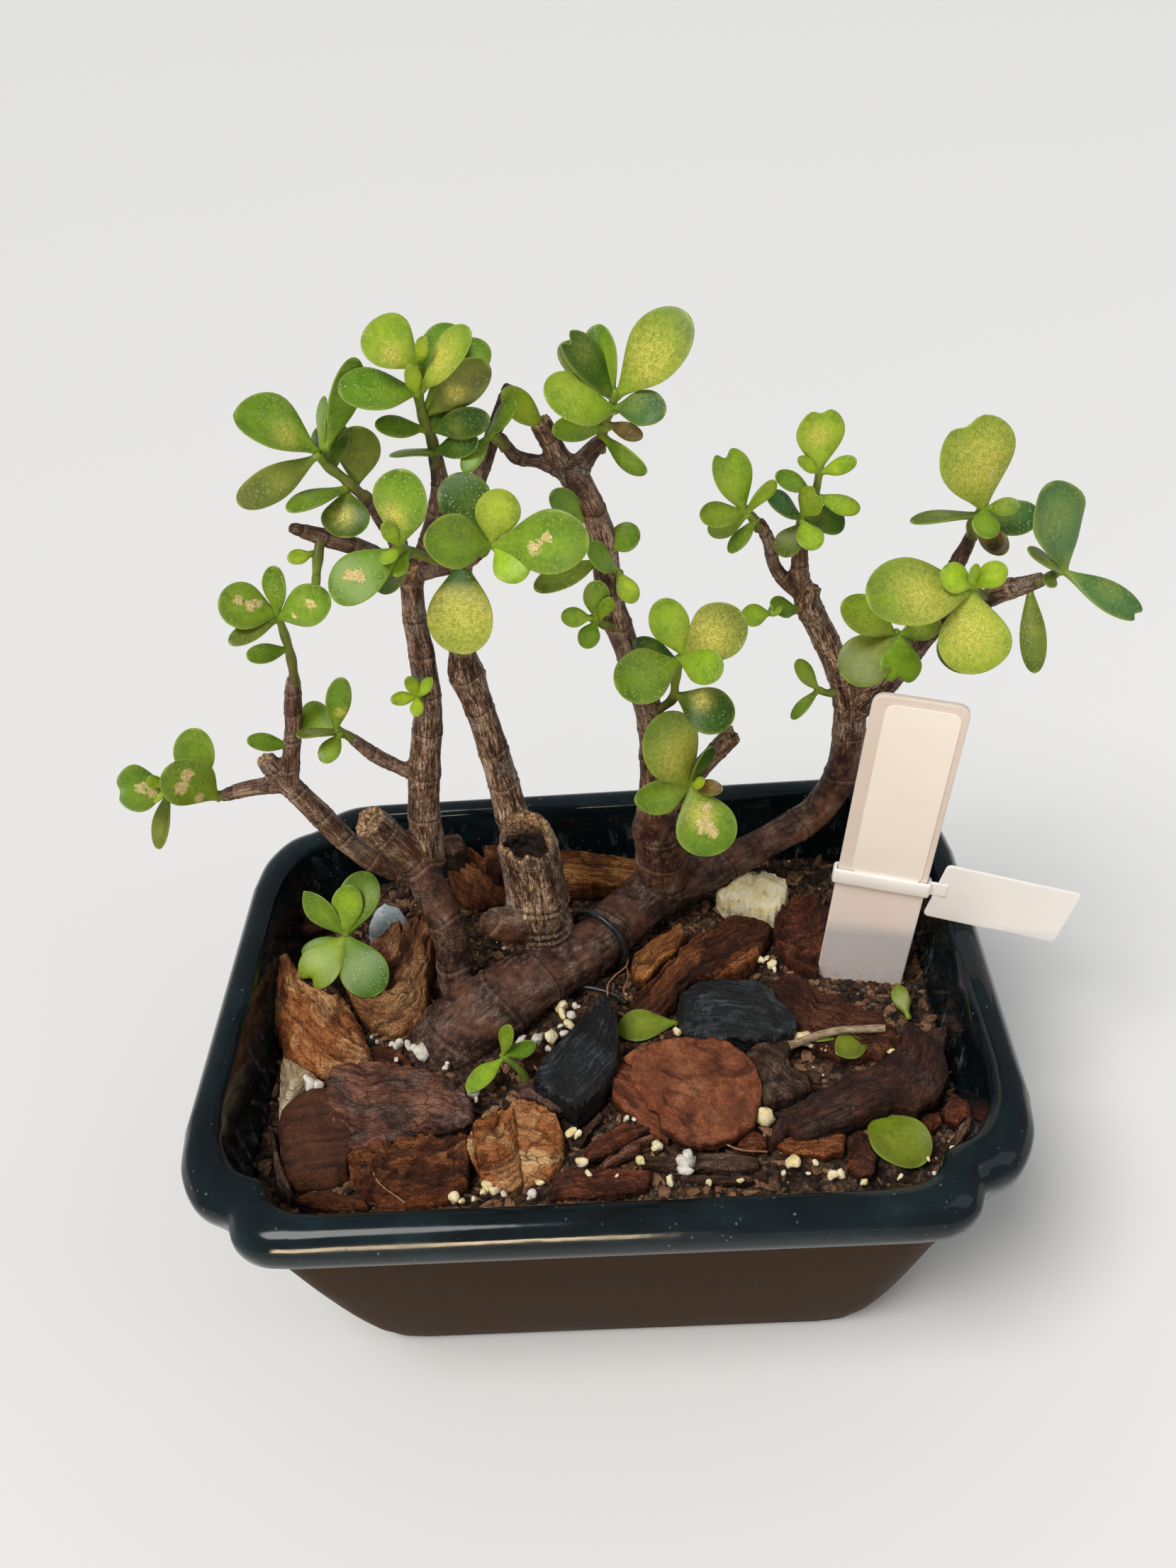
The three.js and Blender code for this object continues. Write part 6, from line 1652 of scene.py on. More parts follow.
# %% Edges of the large chips
CHIPS = list(table("""
chip_corky cork 65.5 0.02 0.1 8: 403 1343, 423 1377, 450 1397, 483 1400, 503 1437, 519 1467, 521 1492 |
    390 1353, 379 1393, 382 1427, 391 1457, 403 1490, 429 1502, 456 1508, 492 1502, 519 1495 | wear 2.6,
    fibre 0.6, torn 0.9, crown 3, ease 2.2, along 0.2, facets 2;
chip_spiked tan 67.5 0.03 0.28 11: 486 1378, 502 1352, 526 1322, 542 1300, 557 1293, 570 1305, 583 1290,
    607 1273 | 487 1390, 503 1423, 517 1440, 550 1455, 583 1443, 600 1413, 603 1363, 610 1317, 609 1280 |
    wear 1.8, fibre 0.6, torn 1.1, step 1.5, crack 1.2;
chip_flat purple 66.5 0 0.1 4.5: 464 1515, 470 1501, 488 1497, 535 1496, 576 1501, 605 1507, 635 1521,
    655 1538, 664 1553 | 452 1565, 461 1576, 471 1594, 488 1612, 499 1613, 529 1603, 588 1597, 599 1591,
    623 1588, 652 1582, 666 1574 | wear 0.45, fibre 0.16, torn 0.55, step 1.3, crack 0.8, side 0.8;
chip_round nut 63 0 0.1 6: 394 1590, 399 1559, 417 1541, 438 1529, 470 1527, 500 1545 | 393 1600,
    396 1640, 404 1662, 418 1668, 440 1665, 467 1662, 488 1652, 500 1620 | wear 0.5, fibre 0.14, torn 0.3,
    step 0.3, crack 0.35, crown 2.2, ease 3, facets 0.3;
chip_front_left orange 63.5 0 0.38 6: 488 1624, 511 1610, 558 1600, 599 1598, 629 1598, 652 1597,
    662 1606 | 489 1640, 496 1659, 517 1679, 535 1697, 576 1697, 614 1695, 635 1686, 658 1664 | wear 1.5,
    fibre 0.5, torn 1.1, step 1.4, crack 1.3;
chip_front cork 65 0 0.22 7: 661 1606, 667 1582, 685 1557, 708 1559, 722 1560 | 658 1624, 673 1638,
    677 1659, 694 1666, 723 1668, 735 1655, 728 1600 | wear 1.5, fibre 0.45, torn 0.9, step 1.4,
    crack 1.3, facets 2;
chip_cream cream 63.5 0 0.05 5: 399 1487, 412 1492, 430 1503, 446 1515 | 395 1500, 393 1540, 391 1572,
    401 1574, 412 1552, 426 1532, 442 1519 | wear 0.3, fibre 0.1, torn 0.2, step 0.2, crack 0.2;
chip_large plate 65.8 0 0.06 3: 880 1487, 900 1475, 940 1463, 973 1460, 1007 1460, 1030 1467, 1050 1482,
    1065 1500, 1073 1523 | 884 1493, 896 1500, 888 1517, 908 1541, 915 1558, 928 1563, 932 1583, 957 1603,
    987 1609, 1013 1607, 1040 1597, 1063 1580, 1073 1553, 1075 1529 | wear 0.35, fibre 0.06, torn 0.5,
    step 0.35, crack 0.12, side 0.7, facets 0.3, along 0.6;
chip_grey grey 64 0 0 6: 1052 1482, 1083 1462, 1107 1458, 1119 1466, 1110 1487, 1116 1505, 1139 1515,
    1144 1525 | 1055 1500, 1068 1525, 1077 1553, 1100 1545, 1130 1538, 1143 1529 | wear 1.2, fibre 0.5,
    torn 0.9, crown 1.2;
chip_curved dusk 66 0.07 0.05 5: 1083 1605, 1090 1587, 1110 1560, 1133 1547, 1167 1533, 1200 1513,
    1233 1500, 1260 1475, 1273 1460, 1277 1437, 1287 1435, 1300 1453, 1320 1447, 1337 1442 | 1087 1610,
    1107 1593, 1113 1587, 1120 1597, 1140 1598, 1167 1590, 1200 1580, 1233 1563, 1267 1555, 1293 1560,
    1320 1543, 1333 1527, 1340 1507, 1333 1480, 1338 1446 | wear 0.5, fibre 0.1, torn 0.7, step 0.6,
    crack 0.3, crown 1.2;
chip_red red 65 0 0.16 7: 1083 1375, 1120 1367, 1143 1377, 1160 1390, 1183 1387, 1200 1407, 1243 1427,
    1273 1457 | 1088 1402, 1116 1430, 1133 1453, 1153 1470, 1183 1483, 1217 1483, 1260 1477, 1273 1463 |
    wear 1.3, fibre 0.7, torn 1.3, step 1.8, crack 1.4, facets 2;
chip_orange orange 65 0 0.14 7: 890 1417, 900 1400, 920 1380, 940 1360, 973 1327, 1013 1297, 1033 1285,
    1060 1288, 1087 1300 | 897 1430, 932 1428, 955 1400, 985 1372, 1030 1368, 1053 1357, 1067 1343,
    1083 1317, 1089 1305 | wear 1.2, fibre 0.5, torn 1.1, step 1.3, crack 1.2;
chip_dark red 65 0 0.1 8: 1093 1293, 1103 1275, 1120 1262, 1150 1263, 1172 1280 | 1095 1325, 1110 1343,
    1133 1357, 1153 1367, 1165 1340, 1173 1300 | wear 1, fibre 0.4, torn 1, step 1.4, crack 1;
chip_back orange 66 0 0.3 8: 627 1197, 633 1188, 647 1187, 670 1197, 690 1213, 703 1233, 717 1263 |
    627 1215, 637 1247, 650 1263, 670 1270, 697 1273, 715 1268 | wear 1.2, fibre 0.4, torn 0.8, step 1.2,
    crack 0.9;
"""))

# %% Lay the large chips
UNDER = {name: (lower, depth, rows) for (name, lower, depth), rows in table("""
chip_large 1.8 4: 864 1490, 890 1490, 930 1490, 960 1500 | 863 1540, 880 1558, 908 1583, 942 1600 |
    torn 0.9, fibre 0.25;
chip_front 1.5 6: 718 1560, 730 1546, 752 1549, 782 1567, 792 1588 | 722 1640, 726 1662, 744 1664,
    774 1657, 782 1641, 794 1622 | wear 1.2, torn 1.2, step 1.4, facets 1.5;
""")}
FIRST_CHIP_SEED, UNDER_SEED = 11, 50
chip_triangles = 0
for seed, ((name, kind, height, *slope, depth), (far, near, shape)) in enumerate(CHIPS, FIRST_CHIP_SEED):
    points, faces, values = slab(far, near, height, slope, depth, seed, **dict(shape))
    pile = Pile()
    pile.add(kept_inside(points), faces, **values)
    if name in UNDER:
        lower, depth, (far, near, shape) = UNDER[name]
        points, faces, values = slab(far, near, height - lower, slope, depth, seed + UNDER_SEED,
                                     **dict(shape))
        pile.add(points, faces, **values)
    chip_triangles += triangles(dress(name, pile, BARK_FINISHES[kind], "bark_chips"))
print("bark chips:", len(CHIPS), "with", chip_triangles, "triangles")

# %% [markdown]
# ### Charcoal and stones
# Charcoal keeps the wood's fine straight lines and shines a little on its facets. Pumice is
# cream and full of pits; the pale stone is bluish and dull. They are slabs as well, only
# thicker and more domed.

# %% Finishes of charcoal and stones
def stone_finish(name, dark, middle, light, scale, depth, pits):
    paint = Paint(name, Specular_IOR_Level=0.35)
    here = paint.place()
    lumps = paint.noise(here, scale, 5, 0.65)
    holes = paint.remap(paint.cells(here, scale * 2.5), 0.05, 0.35)
    mixed = paint.plus(paint.times(lumps, 1 - pits), paint.times(holes, pits))
    colour = paint.ramp(mixed, (0.35, dark), (0.5, middle), (0.68, light))
    return paint.finish(colour, paint.remap(lumps, 0.3, 0.7, 0.75, 0.95), paint.bump(mixed, depth))


# The palest charcoal colour, a blue grey on the high threads, is a painted sheen.
STONE_FINISHES = {
    "charcoal": bark_chip_finish("charcoal_ridges", *BARK_COLOURS["black"], thread=1300, stretch=0.03,
                                 depth=0.5, sheen=0.45, rough=(0.35, 0.65), cracked=0.3, knobs=0.5),
    "pumice": stone_finish("pumice_skin", (0.52, 0.38, 0.14), (0.92, 0.76, 0.38), (0.98, 0.90, 0.68),
                           330, 0.8, 0.12),
    "perlite": stone_finish("perlite_skin", (0.42, 0.34, 0.24), (0.74, 0.67, 0.56), (0.90, 0.87, 0.81),
                            500, 0.5, 0.08),
    "pale": stone_finish("pale_stone_skin", (0.28, 0.34, 0.38), (0.50, 0.58, 0.62), (0.80, 0.85, 0.85),
                         300, 0.3, 0.15)}

# %% Lay charcoal and stones
STONES = list(table("""
charcoal_block charcoal charcoal 68 0.02 0.05 9: 955 1407, 960 1390, 987 1370, 1020 1367, 1060 1370,
    1083 1383, 1095 1403, 1122 1425 | 957 1427, 967 1447, 987 1455, 1033 1458, 1053 1462, 1093 1458,
    1121 1452, 1125 1433 | wear 0.7, fibre 0.32, torn 0.6, step 1.6, crack 0.4, crown 0.6, ease 0.6,
    thread 0.8, along 0.02, facets 3.2;
charcoal_wedge charcoal charcoal 68.5 0.05 0.05 9: 752 1518, 768 1487, 790 1462, 812 1440, 835 1418,
    850 1397 | 754 1524, 791 1545, 811 1560, 840 1535, 868 1500, 872 1463, 868 1430, 853 1399 | wear 0.4,
    fibre 0.16, torn 0.4, step 0.7, crack 0.3, ease 0.7, thread 0.8, along 0.03, ridge 4.5, facets 1.5;
pumice_rock pumice pumice 66.5 0 0.12 9: 1010 1250, 1027 1243, 1028 1233, 1043 1225, 1073 1222, 1093 1225,
    1107 1237, 1112 1253 | 1012 1258, 1027 1270, 1047 1277, 1067 1283, 1090 1285, 1107 1273, 1111 1260 |
    wear 2.4, fibre 0.9, torn 1.6, step 0.9, crack 0.5, crown 2.2, ease 2, along 1, thread 1.8, facets 1;
pale_stone pale stone 65 0 0.2 7: 518 1303, 530 1282, 543 1272, 563 1277, 573 1293 | 520 1309, 545 1316,
    572 1306 | wear 0.6, fibre 0.15, torn 0.3, step 0.3, crack 0.1, crown 1.2, ease 2, along 1,
    facets 1.5;
"""))
FIRST_STONE_SEED = 31
for seed, (title, (far, near, shape)) in enumerate(STONES, FIRST_STONE_SEED):
    name, kind, slot, height, *slope, depth = title
    points, faces, values = slab(far, near, height, slope, depth, seed, **dict(shape))
    pile = Pile()
    pile.add(points, faces, **values)
    dress(name, pile, STONE_FINISHES[kind], slot)
print("charcoal and stones:", len(STONES))

# %% [markdown]
# ### Small bits of bark
# Between the large chips lie smaller plates and strips that the CAD model leaves out. They
# are slabs too, and all bits of one kind of bark make one mesh. Each line gives the kind, the
# height, the depth, and the two edges.

# %% Lay the small bits
BITS = list(table("""
red 61 4: 782 1656, 796 1647, 840 1646, 867 1645, 917 1648 | 776 1685, 800 1684, 860 1682, 913 1673,
    917 1660;
red 63 3: 822 1618, 867 1590, 880 1582, 912 1583 | 830 1630, 860 1620, 900 1597, 917 1588;
red 61.5 4: 1197 1620, 1203 1597, 1213 1593, 1230 1620 | 1197 1640, 1210 1653, 1233 1650, 1237 1630;
red 61.5 3: 738 1492, 752 1479, 768 1484 | 741 1501, 756 1503, 769 1494;
red 61.5 4: 408 1290, 420 1275, 437 1273, 473 1270 | 413 1307, 430 1313, 470 1300;
red 61 4: 1333 1560, 1347 1541, 1367 1550 | 1335 1572, 1352 1579, 1370 1568;
red 60.5 4: 1300 1575, 1312 1560, 1327 1566 | 1301 1586, 1316 1590, 1329 1580;
purple 61 2.5: 847 1637, 883 1613, 917 1597 | 853 1643, 893 1623, 928 1597;
purple 62 4: 735 1524, 752 1518, 764 1535, 791 1547, 796 1562 | 735 1541, 761 1550, 779 1563, 795 1563;
purple 62 4: 1175 1262, 1200 1250, 1235 1262 | 1178 1285, 1205 1300, 1240 1285;
grey 60.8 3: 905 1633, 940 1627, 983 1623, 1033 1623, 1070 1630 | 907 1642, 950 1647, 1000 1645,
    1053 1647, 1070 1643;
grey 60.2 2: 1333 1617, 1347 1600, 1367 1573, 1373 1567 | 1337 1622, 1355 1608, 1376 1580;
grey 60.5 2: 960 1657, 1010 1655, 1060 1657 | 962 1663, 1012 1664, 1062 1663;
grey 60.2 2: 812 1606, 828 1585, 846 1566 | 818 1610, 834 1590, 850 1571;
grey 62.5 5: 376 1584, 383 1588, 391 1618, 399 1650, 408 1679 | 377 1590, 384 1625, 391 1665, 403 1688;
grey 76 12: 622 1182, 630 1173, 648 1174, 655 1184 | 623 1192, 640 1196, 656 1190;
orange 61 4: 1097 1603, 1133 1598, 1167 1597, 1193 1598 | 1097 1613, 1120 1623, 1153 1627, 1190 1623;
orange 60 3: 417 1691, 438 1679, 464 1679, 496 1685, 517 1695 | 420 1697, 446 1701, 488 1703, 517 1700;
orange 60.5 3: 520 1487, 535 1472, 553 1480, 580 1494 | 522 1496, 545 1500, 578 1499;
orange 71 11: 683 1190, 698 1186, 712 1200 | 684 1218, 700 1228, 714 1222;
orange 61 3: 1040 1600, 1060 1592, 1080 1600 | 1042 1618, 1062 1624, 1082 1616;
orange 61 4: 735 1250, 760 1244, 800 1250 | 738 1268, 770 1275, 802 1268;
amber 66 5: 890 1360, 893 1343, 913 1327, 943 1310, 960 1300, 965 1310 | 892 1370, 897 1377, 913 1375,
    933 1350, 953 1337, 964 1315;
amber 67.5 8: 700 1192, 740 1196, 800 1198, 850 1202, 905 1210 | 705 1222, 740 1232, 800 1238, 850 1243,
    900 1242;
"""))
BIT_SHAPE = dict(wear=0.6, fibre=0.3, torn=0.5, step=0.6, crack=0.6, ease=0.6, facets=0.8)
BIT_SLOPE = (0, 0.05)

bit_piles = {}
for seed, ((kind, height, depth), (far, near)) in enumerate(BITS, 61):
    points, faces, values = slab(far, near, height, BIT_SLOPE, depth, seed, **BIT_SHAPE)
    bit_piles.setdefault(kind, Pile()).add(kept_inside(points), faces, **values)
for kind, pile in bit_piles.items():
    settle(make_mesh("bark_bits_" + kind, pile, BARK_FINISHES[kind]), "bark_chips")
print("small bits of bark:", len(BITS))

# %% [markdown]
# ### Perlite and pumice
# White perlite and cream pumice lie in little clusters, where the photograph shows them.
# Each lump is a small ball pushed in and out by noise.

# %% Lay perlite and pumice: x and y in the picture, and size
PERLITE = row("""
562 1472 6, 575 1475 7, 586 1480 7, 598 1483 9, 553 1473 4, 559 1495 5, 610 1421 4, 629 1505 4,
631 1500 3, 811 1419 5, 807 1431 5, 796 1458 5, 760 1465 11, 773 1480 5, 733 1468 7, 667 1541 8,
672 1550 5, 438 1528 10, 450 1530 8, 967 1640 11, 969 1629 9, 966 1651 8, 897 1577 4, 883 1578 4,
700 1678 3, 711 1684 3, 752 1685 5, 747 1690 4, 817 1421 3, 790 1447 4
""")
PUMICE = row("""
792 1419 7, 792 1430 8, 803 1445 7, 779 1462 7, 927 1617 7, 903 1637 8, 820 1640 7, 1120 1637 8,
1175 1657 6, 1186 1656 6, 1080 1573 10, 1133 1465 11, 1145 1473 7, 1073 1355 6, 1080 1353 5,
1088 1361 6, 1093 1367 5, 957 1455 5, 688 1672 7, 697 1680 6, 681 1681 5, 761 1668 5, 806 1597 6,
815 1600 5, 945 1666 6, 1151 1640 3, 642 1690 6, 652 1694 5, 668 1693 4, 1255 1482 5, 1163 1479 5,
870 1660 4, 830 1656 4, 1000 1668 4, 1045 1665 4, 1105 1655 4, 1140 1655 3, 1218 1668 4, 1270 1660 4,
1310 1635 3, 1345 1620 3
""")
PIXEL_PER_MM = 5.1
SPREAD, SWELL, BEDDING = 1.2, 1.1, 0.3  # radius by picture size, by noise, and height by radius


def turned(points, turn, tilt_x, tilt_y):
    """Points tilted about x and y and then turned about z, in degrees."""
    rotation = (Matrix.Rotation(math.radians(turn), 3, "Z") @ Matrix.Rotation(math.radians(tilt_y), 3, "Y")
                @ Matrix.Rotation(math.radians(tilt_x), 3, "X"))
    return points @ np.array(rotation).T


def lump(centre, radius, seed, flat=0.8):
    """A ball of 80 faces, pushed in and out by noise, flattened and turned."""
    ball = bmesh.new()
    bmesh.ops.create_icosphere(ball, subdivisions=2, radius=1)
    points = np.array([v.co for v in ball.verts])
    faces = [tuple(v.index for v in f.verts) for f in ball.faces]
    ball.free()
    uneven = 0.75 + 0.25 * np.sin(np.array((1.7, 2.9)) * seed)
    out = points * (1 + 0.75 * relief(points, 0.9, seed, 2))[:, None] * (1, uneven[0], flat * uneven[1])
    return turned(out, 47 * seed, 20, 30) * radius + centre, faces


for kind, lumps, level in (("perlite", PERLITE, 61.0), ("pumice", PUMICE, 60.6)):
    pile = Pile()
    for seed, (x, y, size) in enumerate(lumps, 5):
        radius = SPREAD * size / PIXEL_PER_MM
        centre = on_plane([(x, y)], level + radius * BEDDING)[0]
        pile.add(*lump(centre, radius * SWELL, seed))
    settle(make_mesh(kind + "_lumps", pile, STONE_FINISHES[kind]), "pumice")
print("perlite and pumice:", len(PERLITE) + len(PUMICE), "lumps")

# %% [markdown]
# ## Wire, stick and roots
# Round things that follow a path come from one Geometry Nodes tree: a circle is swept along
# a curve. It makes the black wire that holds the tree, the loose stick, and the thin orange
# roots that show beside the trunk.

# %% The sweeping tree
def sweeping_tree():
    tree, given = new_tree("sweep_round", "Tube", Path="Geometry", Radius="Float", Sides="Int",
                           Step="Float", Finish="Material")
    even = add_node(tree, "GeometryNodeResampleCurve", {"Curve": given["Path"], "Length": given["Step"]},
                    mode="LENGTH")
    circle = add_node(tree, "GeometryNodeCurvePrimitiveCircle",
                      {"Resolution": given["Sides"], "Radius": given["Radius"]})
    sweep = add_node(tree, "GeometryNodeCurveToMesh", {
        "Curve": even.outputs[0], "Profile Curve": circle.outputs[0], "Fill Caps": True})
    return end_tree(tree, sweep.outputs[0], given["Finish"])


SWEEP = sweeping_tree()


def path_curve(name, *routes):
    """One curve object's data, with a spline for each route."""
    curve = bpy.data.curves.new(name, "CURVE")
    curve.dimensions = "3D"
    for route in routes:
        line = spline([(*p, 0) for p in route], 1.0)[:, :3] * MM
        strand = curve.splines.new("POLY")
        strand.points.add(len(line) - 1)
        strand.points.foreach_set("co", np.column_stack([line, np.ones(len(line))]).ravel())
    return curve


# %% Wire, stick and roots
def streaked(name, gloss, scale, stops, depth, stretch=(1, 1, 1), rough=None, strength=1.0):
    """A plain finish: one noise gives the colour, the relief and, if asked, the roughness."""
    paint = Paint(name, Specular_IOR_Level=gloss)
    streak = paint.noise(paint.place(stretch), scale, 4, 0.6)
    roughness = paint.remap(streak, 0.3, 0.7, *rough) if rough else None
    return paint.finish(paint.ramp(streak, *stops), roughness, paint.bump(streak, depth, strength))


wire_finish = streaked(
    "black_wire", 0.5, 500, [(0.35, (0.006, 0.006, 0.007)), (0.75, (0.030, 0.030, 0.031))],
    0.05, rough=(0.28, 0.5), strength=0.4)
stick_finish = streaked(
    "twig_bark", 0.3, 1300, [(0.3, (0.10, 0.065, 0.035)), (0.5, (0.30, 0.21, 0.12)),
                             (0.72, (0.52, 0.42, 0.28))], 0.3, (0.25, 1, 1))
root_finish = streaked(
    "orange_root", 0.3, 900, [(0.3, (0.12, 0.045, 0.02)), (0.55, (0.33, 0.15, 0.07)),
                              (0.75, (0.52, 0.32, 0.18))], 0.2)
WIRE_ROUTE = row("""-6 29.6 51, -6 29.6 59, -7.9 31.1 67, -5.8 29.4 73.8, -0.5 25.1 76.6, 4.8 20.8 73.8,
    7 19 67, 4.7 20.9 59, 4.9 20.7 51""")
WIRE_TAIL = list(on_plane(row("800 1378, 817 1390, 845 1396, 868 1404, 884 1416"), 62.2))
STICK_ROUTE = row("50 -15 63.4, 62 -12 64.6, 76 -12 65")
ROOTS = [list(on_plane(row("886 1347, 884 1362, 868 1376, 858 1388, 857 1404"), 64)),
         list(on_plane(row("884 1362, 886 1380, 880 1396, 884 1412"), 62.5)),
         row("-22 -10 60, -12 -27 61, -6 -33 60"), row("28 -42 61, 34 -46 61.4, 41 -46 60"),
         row("-60 -45 61, -57 -52 63, -50 -57 61")]
SWEEP_STEP = 0.7
for name, routes, radius, sides, finish, slot, nodes in (
        ("anchor_wire_dressed", [WIRE_ROUTE], 0.9, 14, wire_finish, "wire", ["anchor_wire"]),
        ("wire_tail", [WIRE_TAIL], 0.8, 12, wire_finish, "wire", []),
        ("loose_stick_dressed", [STICK_ROUTE], 1.15, 12, stick_finish, "bark_chips", ["loose_stick"]),
        ("thin_roots", ROOTS, 0.28, 7, root_finish, "bark", [])):
    mesh = grown(name, path_curve(name + "_path", *routes), SWEEP, True, Radius=radius * MM, Sides=sides,
                 Step=SWEEP_STEP * MM, Finish=finish)
    settle(mesh, slot, *nodes)
    print(name + ":", triangles(mesh), "triangles")

# %% [markdown]
# ## Plant label
# A flat plastic stake stands in the soil behind the right end, with a blank paper sticker on
# its face. A plain white tag hangs from a band round it. The label's own directions are
# across, up and out of its face, and its parts are plates with rounded corners, made as
# lofts through their thickness, so that every edge is eased.

# %% Label frame and plates
STAKE_TOP_LEFT = np.array((72.7, 16.6, 155.6))
STAKE_ACROSS = unit(np.array((0.971, -0.214, -0.109)))
STAKE_UP = unit(np.array((0.114, 0.01, 0.993)))
STAKE_OUT = np.cross(STAKE_ACROSS, STAKE_UP)
STAKE_WIDTH, STAKE_THICKNESS, STAKE_LENGTH = 23.7, 1.6, 120


def rounded(points, radius, steps=6):
    """A closed outline whose corners are rounded."""
    points = [np.array(p, float) for p in points]
    out = []
    for before, corner, after in zip(points[-1:] + points[:-1], points, points[1:] + points[:1]):
        a, b = unit(before - corner), unit(after - corner)
        reach = min(radius, np.linalg.norm(before - corner) / 2.2, np.linalg.norm(after - corner) / 2.2)
        for t in np.linspace(0, 1, steps):
            out.append((1 - t) ** 2 * (corner + a * reach) + 2 * t * (1 - t) * corner
                       + t ** 2 * (corner + b * reach))
    return np.array(out)


def rectangle(left, right, top, bottom, radius):
    return rounded([(left, top), (right, top), (right, bottom), (left, bottom)], radius)


def plate(outline, thickness, lift=0.0, ease=0.25):
    """A plate through the label's plane, its edges eased. Outline is in across and up."""
    centre = outline.mean(0)
    size = np.abs(outline - centre).max(0)
    rings = []
    for inset, depth in ((ease * 3, -0.5), (ease, -0.5), (ease * 0.3, -0.5 + ease * 0.3 / thickness),
                         (0, -0.5 + ease / thickness), (0, 0.5 - ease / thickness),
                         (ease * 0.3, 0.5 - ease * 0.3 / thickness), (ease, 0.5), (ease * 3, 0.5)):
        flat = centre + (outline - centre) * (1 - inset / size)
        rings.append(np.column_stack([flat, np.full(len(flat), lift + depth * thickness)]))
    verts = np.vstack(rings + [[*centre, lift - 0.5 * thickness], [*centre, lift + 0.5 * thickness]])
    return verts, ring_faces(len(rings), len(outline))


def to_label(points):
    return (STAKE_TOP_LEFT + points[:, :1] * STAKE_ACROSS + points[:, 1:2] * STAKE_UP
            + points[:, 2:3] * STAKE_OUT)


# %% Label finishes
AGED_ABOVE, SPLASH_FOOT = (0.085, 0.112), 0.058


def plastic(name, colour, shade, dirt_height, aged=(1, 1, 1)):
    """Off-white plastic: a faint mottle, fine scratches and splashed soil near its foot."""
    paint = Paint(name, Specular_IOR_Level=0.45)
    here = paint.place()
    cloud = paint.noise(here, 60, 4, 0.6)
    fine = paint.noise(paint.place((1, 1, 0.1)), 1400, 3, 0.6)
    base = paint.mix(paint.remap(cloud, 0.3, 0.7), colour, shade)
    height = paint.node("ShaderNodeSeparateXYZ", {0: here}).outputs["Z"]
    base = paint.mix(paint.remap(height, *AGED_ABOVE), base, paint.tint(base, aged))
    foot = paint.remap(height, dirt_height, SPLASH_FOOT)
    splash = paint.times(foot, paint.remap(paint.noise(here, 380, 5, 0.7), 0.48, 0.66))
    base = paint.mix(paint.times(splash, 0.4), base, (0.40, 0.31, 0.24))
    return paint.finish(base, paint.remap(fine, 0.3, 0.7, 0.35, 0.5), paint.bump(fine, 0.03, 0.3))


stake_finish = plastic("label_plastic_skin", (0.83, 0.745, 0.705), (0.78, 0.69, 0.645), 0.066,
                       (0.84, 0.82, 0.76))
paper_finish = plastic("sticker_paper", (0.86, 0.80, 0.73), (0.83, 0.765, 0.69), 0.058)
tag_finish = plastic("tag_skin", (0.86, 0.845, 0.825), (0.80, 0.785, 0.77), 0.062)

# %% Make the stake and its sticker
SHOULDER, POINT_HALF_WIDTH, STAKE_CORNER = 108, 2, 3.6
STICKER_LEFT, STICKER_RIGHT, STICKER_TOP, STICKER_BOTTOM = 3.5, 22, -2.3, -57.5
STICKER_THICKNESS, STICKER_EASE, STICKER_CORNER = 0.34, 0.08, 3.0
middle = STAKE_WIDTH / 2
outline = rounded([(0, 0), (0, -50), (0, -SHOULDER), (middle - POINT_HALF_WIDTH, -STAKE_LENGTH),
                   (middle + POINT_HALF_WIDTH, -STAKE_LENGTH), (STAKE_WIDTH, -SHOULDER),
                   (STAKE_WIDTH, -50), (STAKE_WIDTH, 0)], STAKE_CORNER)
pile = Pile()
verts, faces = plate(outline, STAKE_THICKNESS)
pile.add(to_label(verts), faces)
dress("label_stake", pile, stake_finish, "label_plastic")
pile = Pile()
sticker = rectangle(STICKER_LEFT, STICKER_RIGHT, STICKER_TOP, STICKER_BOTTOM, STICKER_CORNER)
verts, faces = plate(sticker, STICKER_THICKNESS, STAKE_THICKNESS / 2 + STICKER_THICKNESS / 2, STICKER_EASE)
pile.add(to_label(verts), faces)
settle(make_mesh("label_sticker", pile, paper_finish), "tag_paper")

# %% Make the band round the stake
BAND_DROP, BAND_HEIGHT, BAND_GAP, TAG_THICKNESS, BAND_EASE = 59, 4.5, 0.3, 0.9, 0.15
pile = Pile()
wide, deep = STAKE_WIDTH / 2 + BAND_GAP, STAKE_THICKNESS / 2 + BAND_GAP
loops = []
for grow, drop in ((0, -0.5), (0, 0.5), (BAND_EASE, 0.5), (TAG_THICKNESS - BAND_EASE, 0.5),
                   (TAG_THICKNESS, 0.42), (TAG_THICKNESS, -0.42), (TAG_THICKNESS - BAND_EASE, -0.5),
                   (BAND_EASE, -0.5)):
    loop = rectangle(-wide - grow, wide + grow, -deep - grow, deep + grow, BAND_GAP + grow)
    level = np.full(len(loop), -BAND_DROP + drop * BAND_HEIGHT)
    loops.append(np.column_stack([loop[:, 0] + middle, level, loop[:, 1]]))
count = len(loops[0])
faces = []
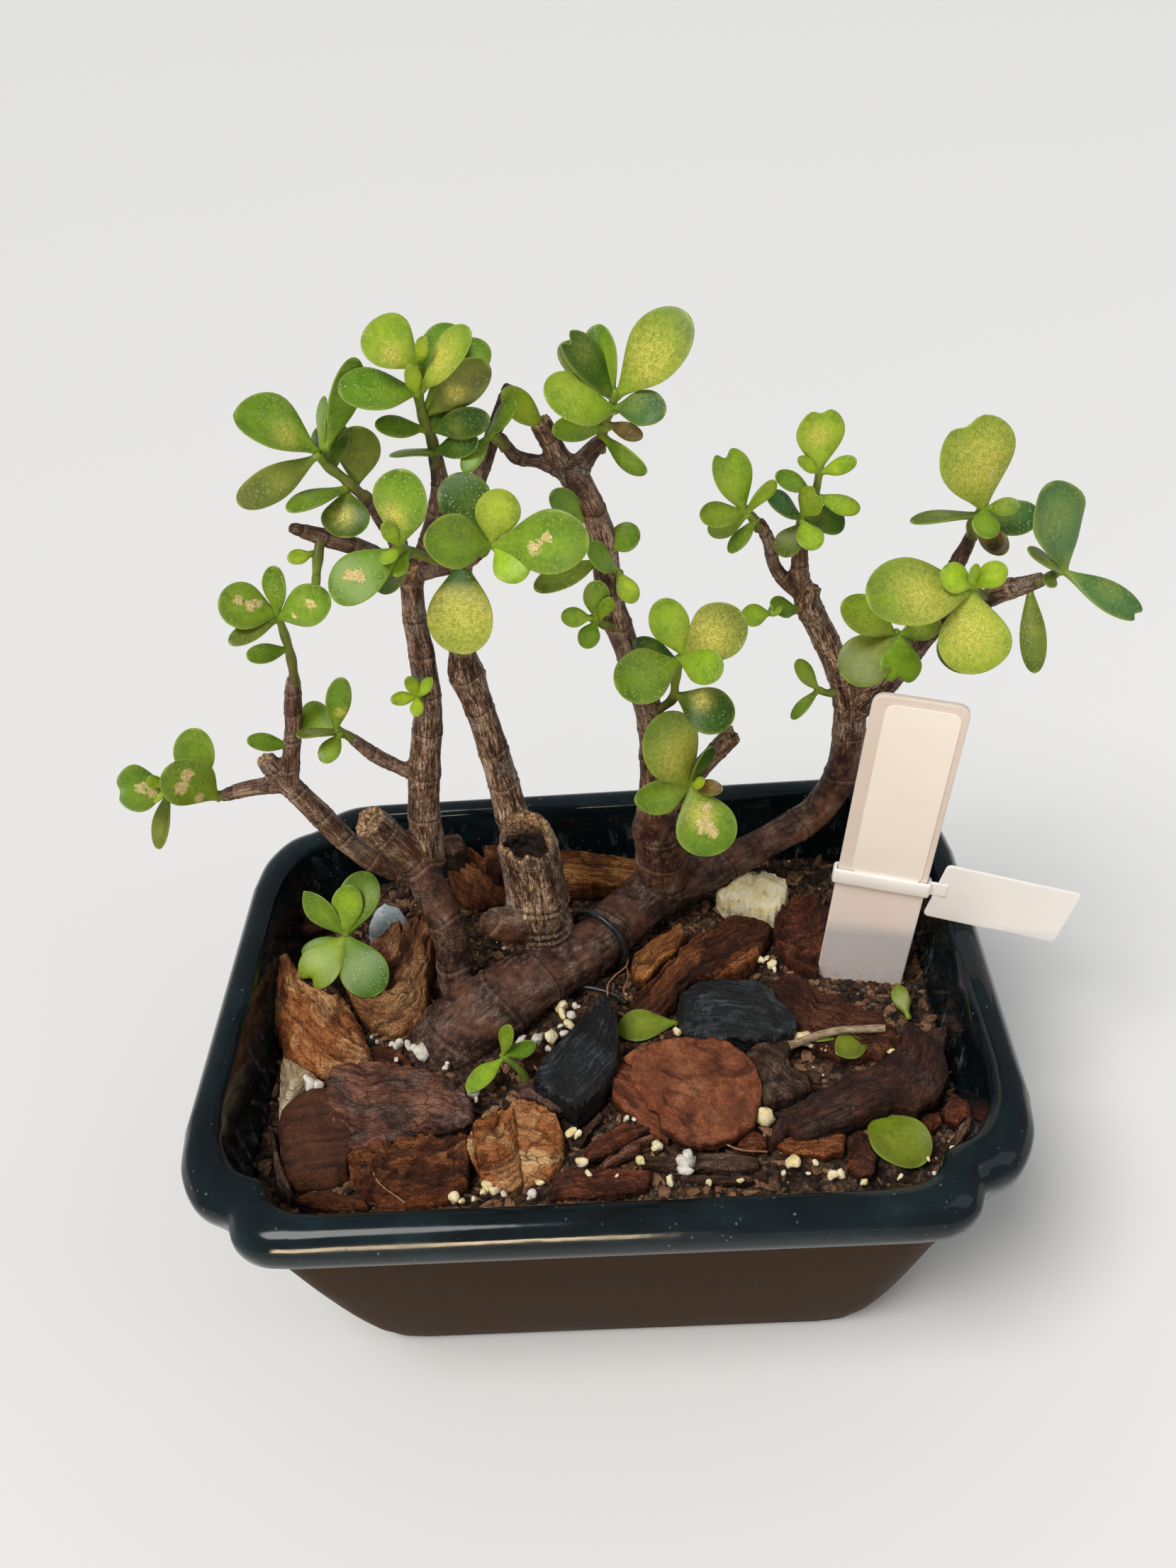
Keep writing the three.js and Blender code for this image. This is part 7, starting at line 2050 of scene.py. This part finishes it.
for i in range(len(loops)):
    for j in range(count):
        here, after, beside = i * count, (i + 1) % len(loops) * count, (j + 1) % count
        faces.append((here + j, here + beside, after + beside, after + j))
pile.add(to_label(np.vstack(loops)), faces)

# %% Make the tag and its neck
TAG_LENGTH, TAG_HEIGHT, TAG_CORNER, EDGE_STEPS = 37, 19, 1.6, 5
TAG_DROP, TAG_NECK, TAG_SWAY, TAG_DROOP = 50, 4, 0.12, -0.16
NECK_HALF_HEIGHT, NECK_START, NECK_OVERLAP, NECK_CORNER = 2.2, 0.6, 1.6, 0.5
flag = rectangle(0, TAG_LENGTH, 0, -TAG_HEIGHT, TAG_CORNER)
flag = np.vstack([np.linspace(a, b, EDGE_STEPS)[:-1] for a, b in zip(flag, np.roll(flag, -1, 0))])
verts, faces = plate(flag, TAG_THICKNESS * 0.8)
x, y, z = verts.T
x, z = x * math.cos(TAG_SWAY) + z * math.sin(TAG_SWAY), -x * math.sin(TAG_SWAY) + z * math.cos(TAG_SWAY)
x, y = x * math.cos(TAG_DROOP) - y * math.sin(TAG_DROOP), x * math.sin(TAG_DROOP) + y * math.cos(TAG_DROOP)
pile.add(kept_inside(to_label(np.column_stack([x + STAKE_WIDTH + TAG_NECK, y - TAG_DROP, z]))), faces)
neck = rectangle(STAKE_WIDTH + NECK_START, STAKE_WIDTH + TAG_NECK + NECK_OVERLAP,
                 -BAND_DROP + NECK_HALF_HEIGHT, -BAND_DROP - NECK_HALF_HEIGHT, NECK_CORNER)
verts, faces = plate(neck, TAG_THICKNESS * 0.8)
pile.add(to_label(verts), faces)
dress("label_tag", pile, tag_finish, "tag_paper")
print("label: stake, sticker and tag")

# %% [markdown] ## Measure The boxes of the CAD model and of the dressed model are written to extents.json.
# The dressed model has to stay within the CAD box.

# %% Sizes and finish
def plain(box):
    return [[float(v) for v in corner] for corner in box]


with open("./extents.json", "w") as file:
    json.dump({"cad": plain(CAD_BOX), "visual": plain(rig.bounds())}, file)
shown = [o for o in bpy.data.objects if o.type == "MESH" and not o.hide_render]
print("pieces:", len(shown), "with", sum(triangles(o.data) for o in shown), "triangles")
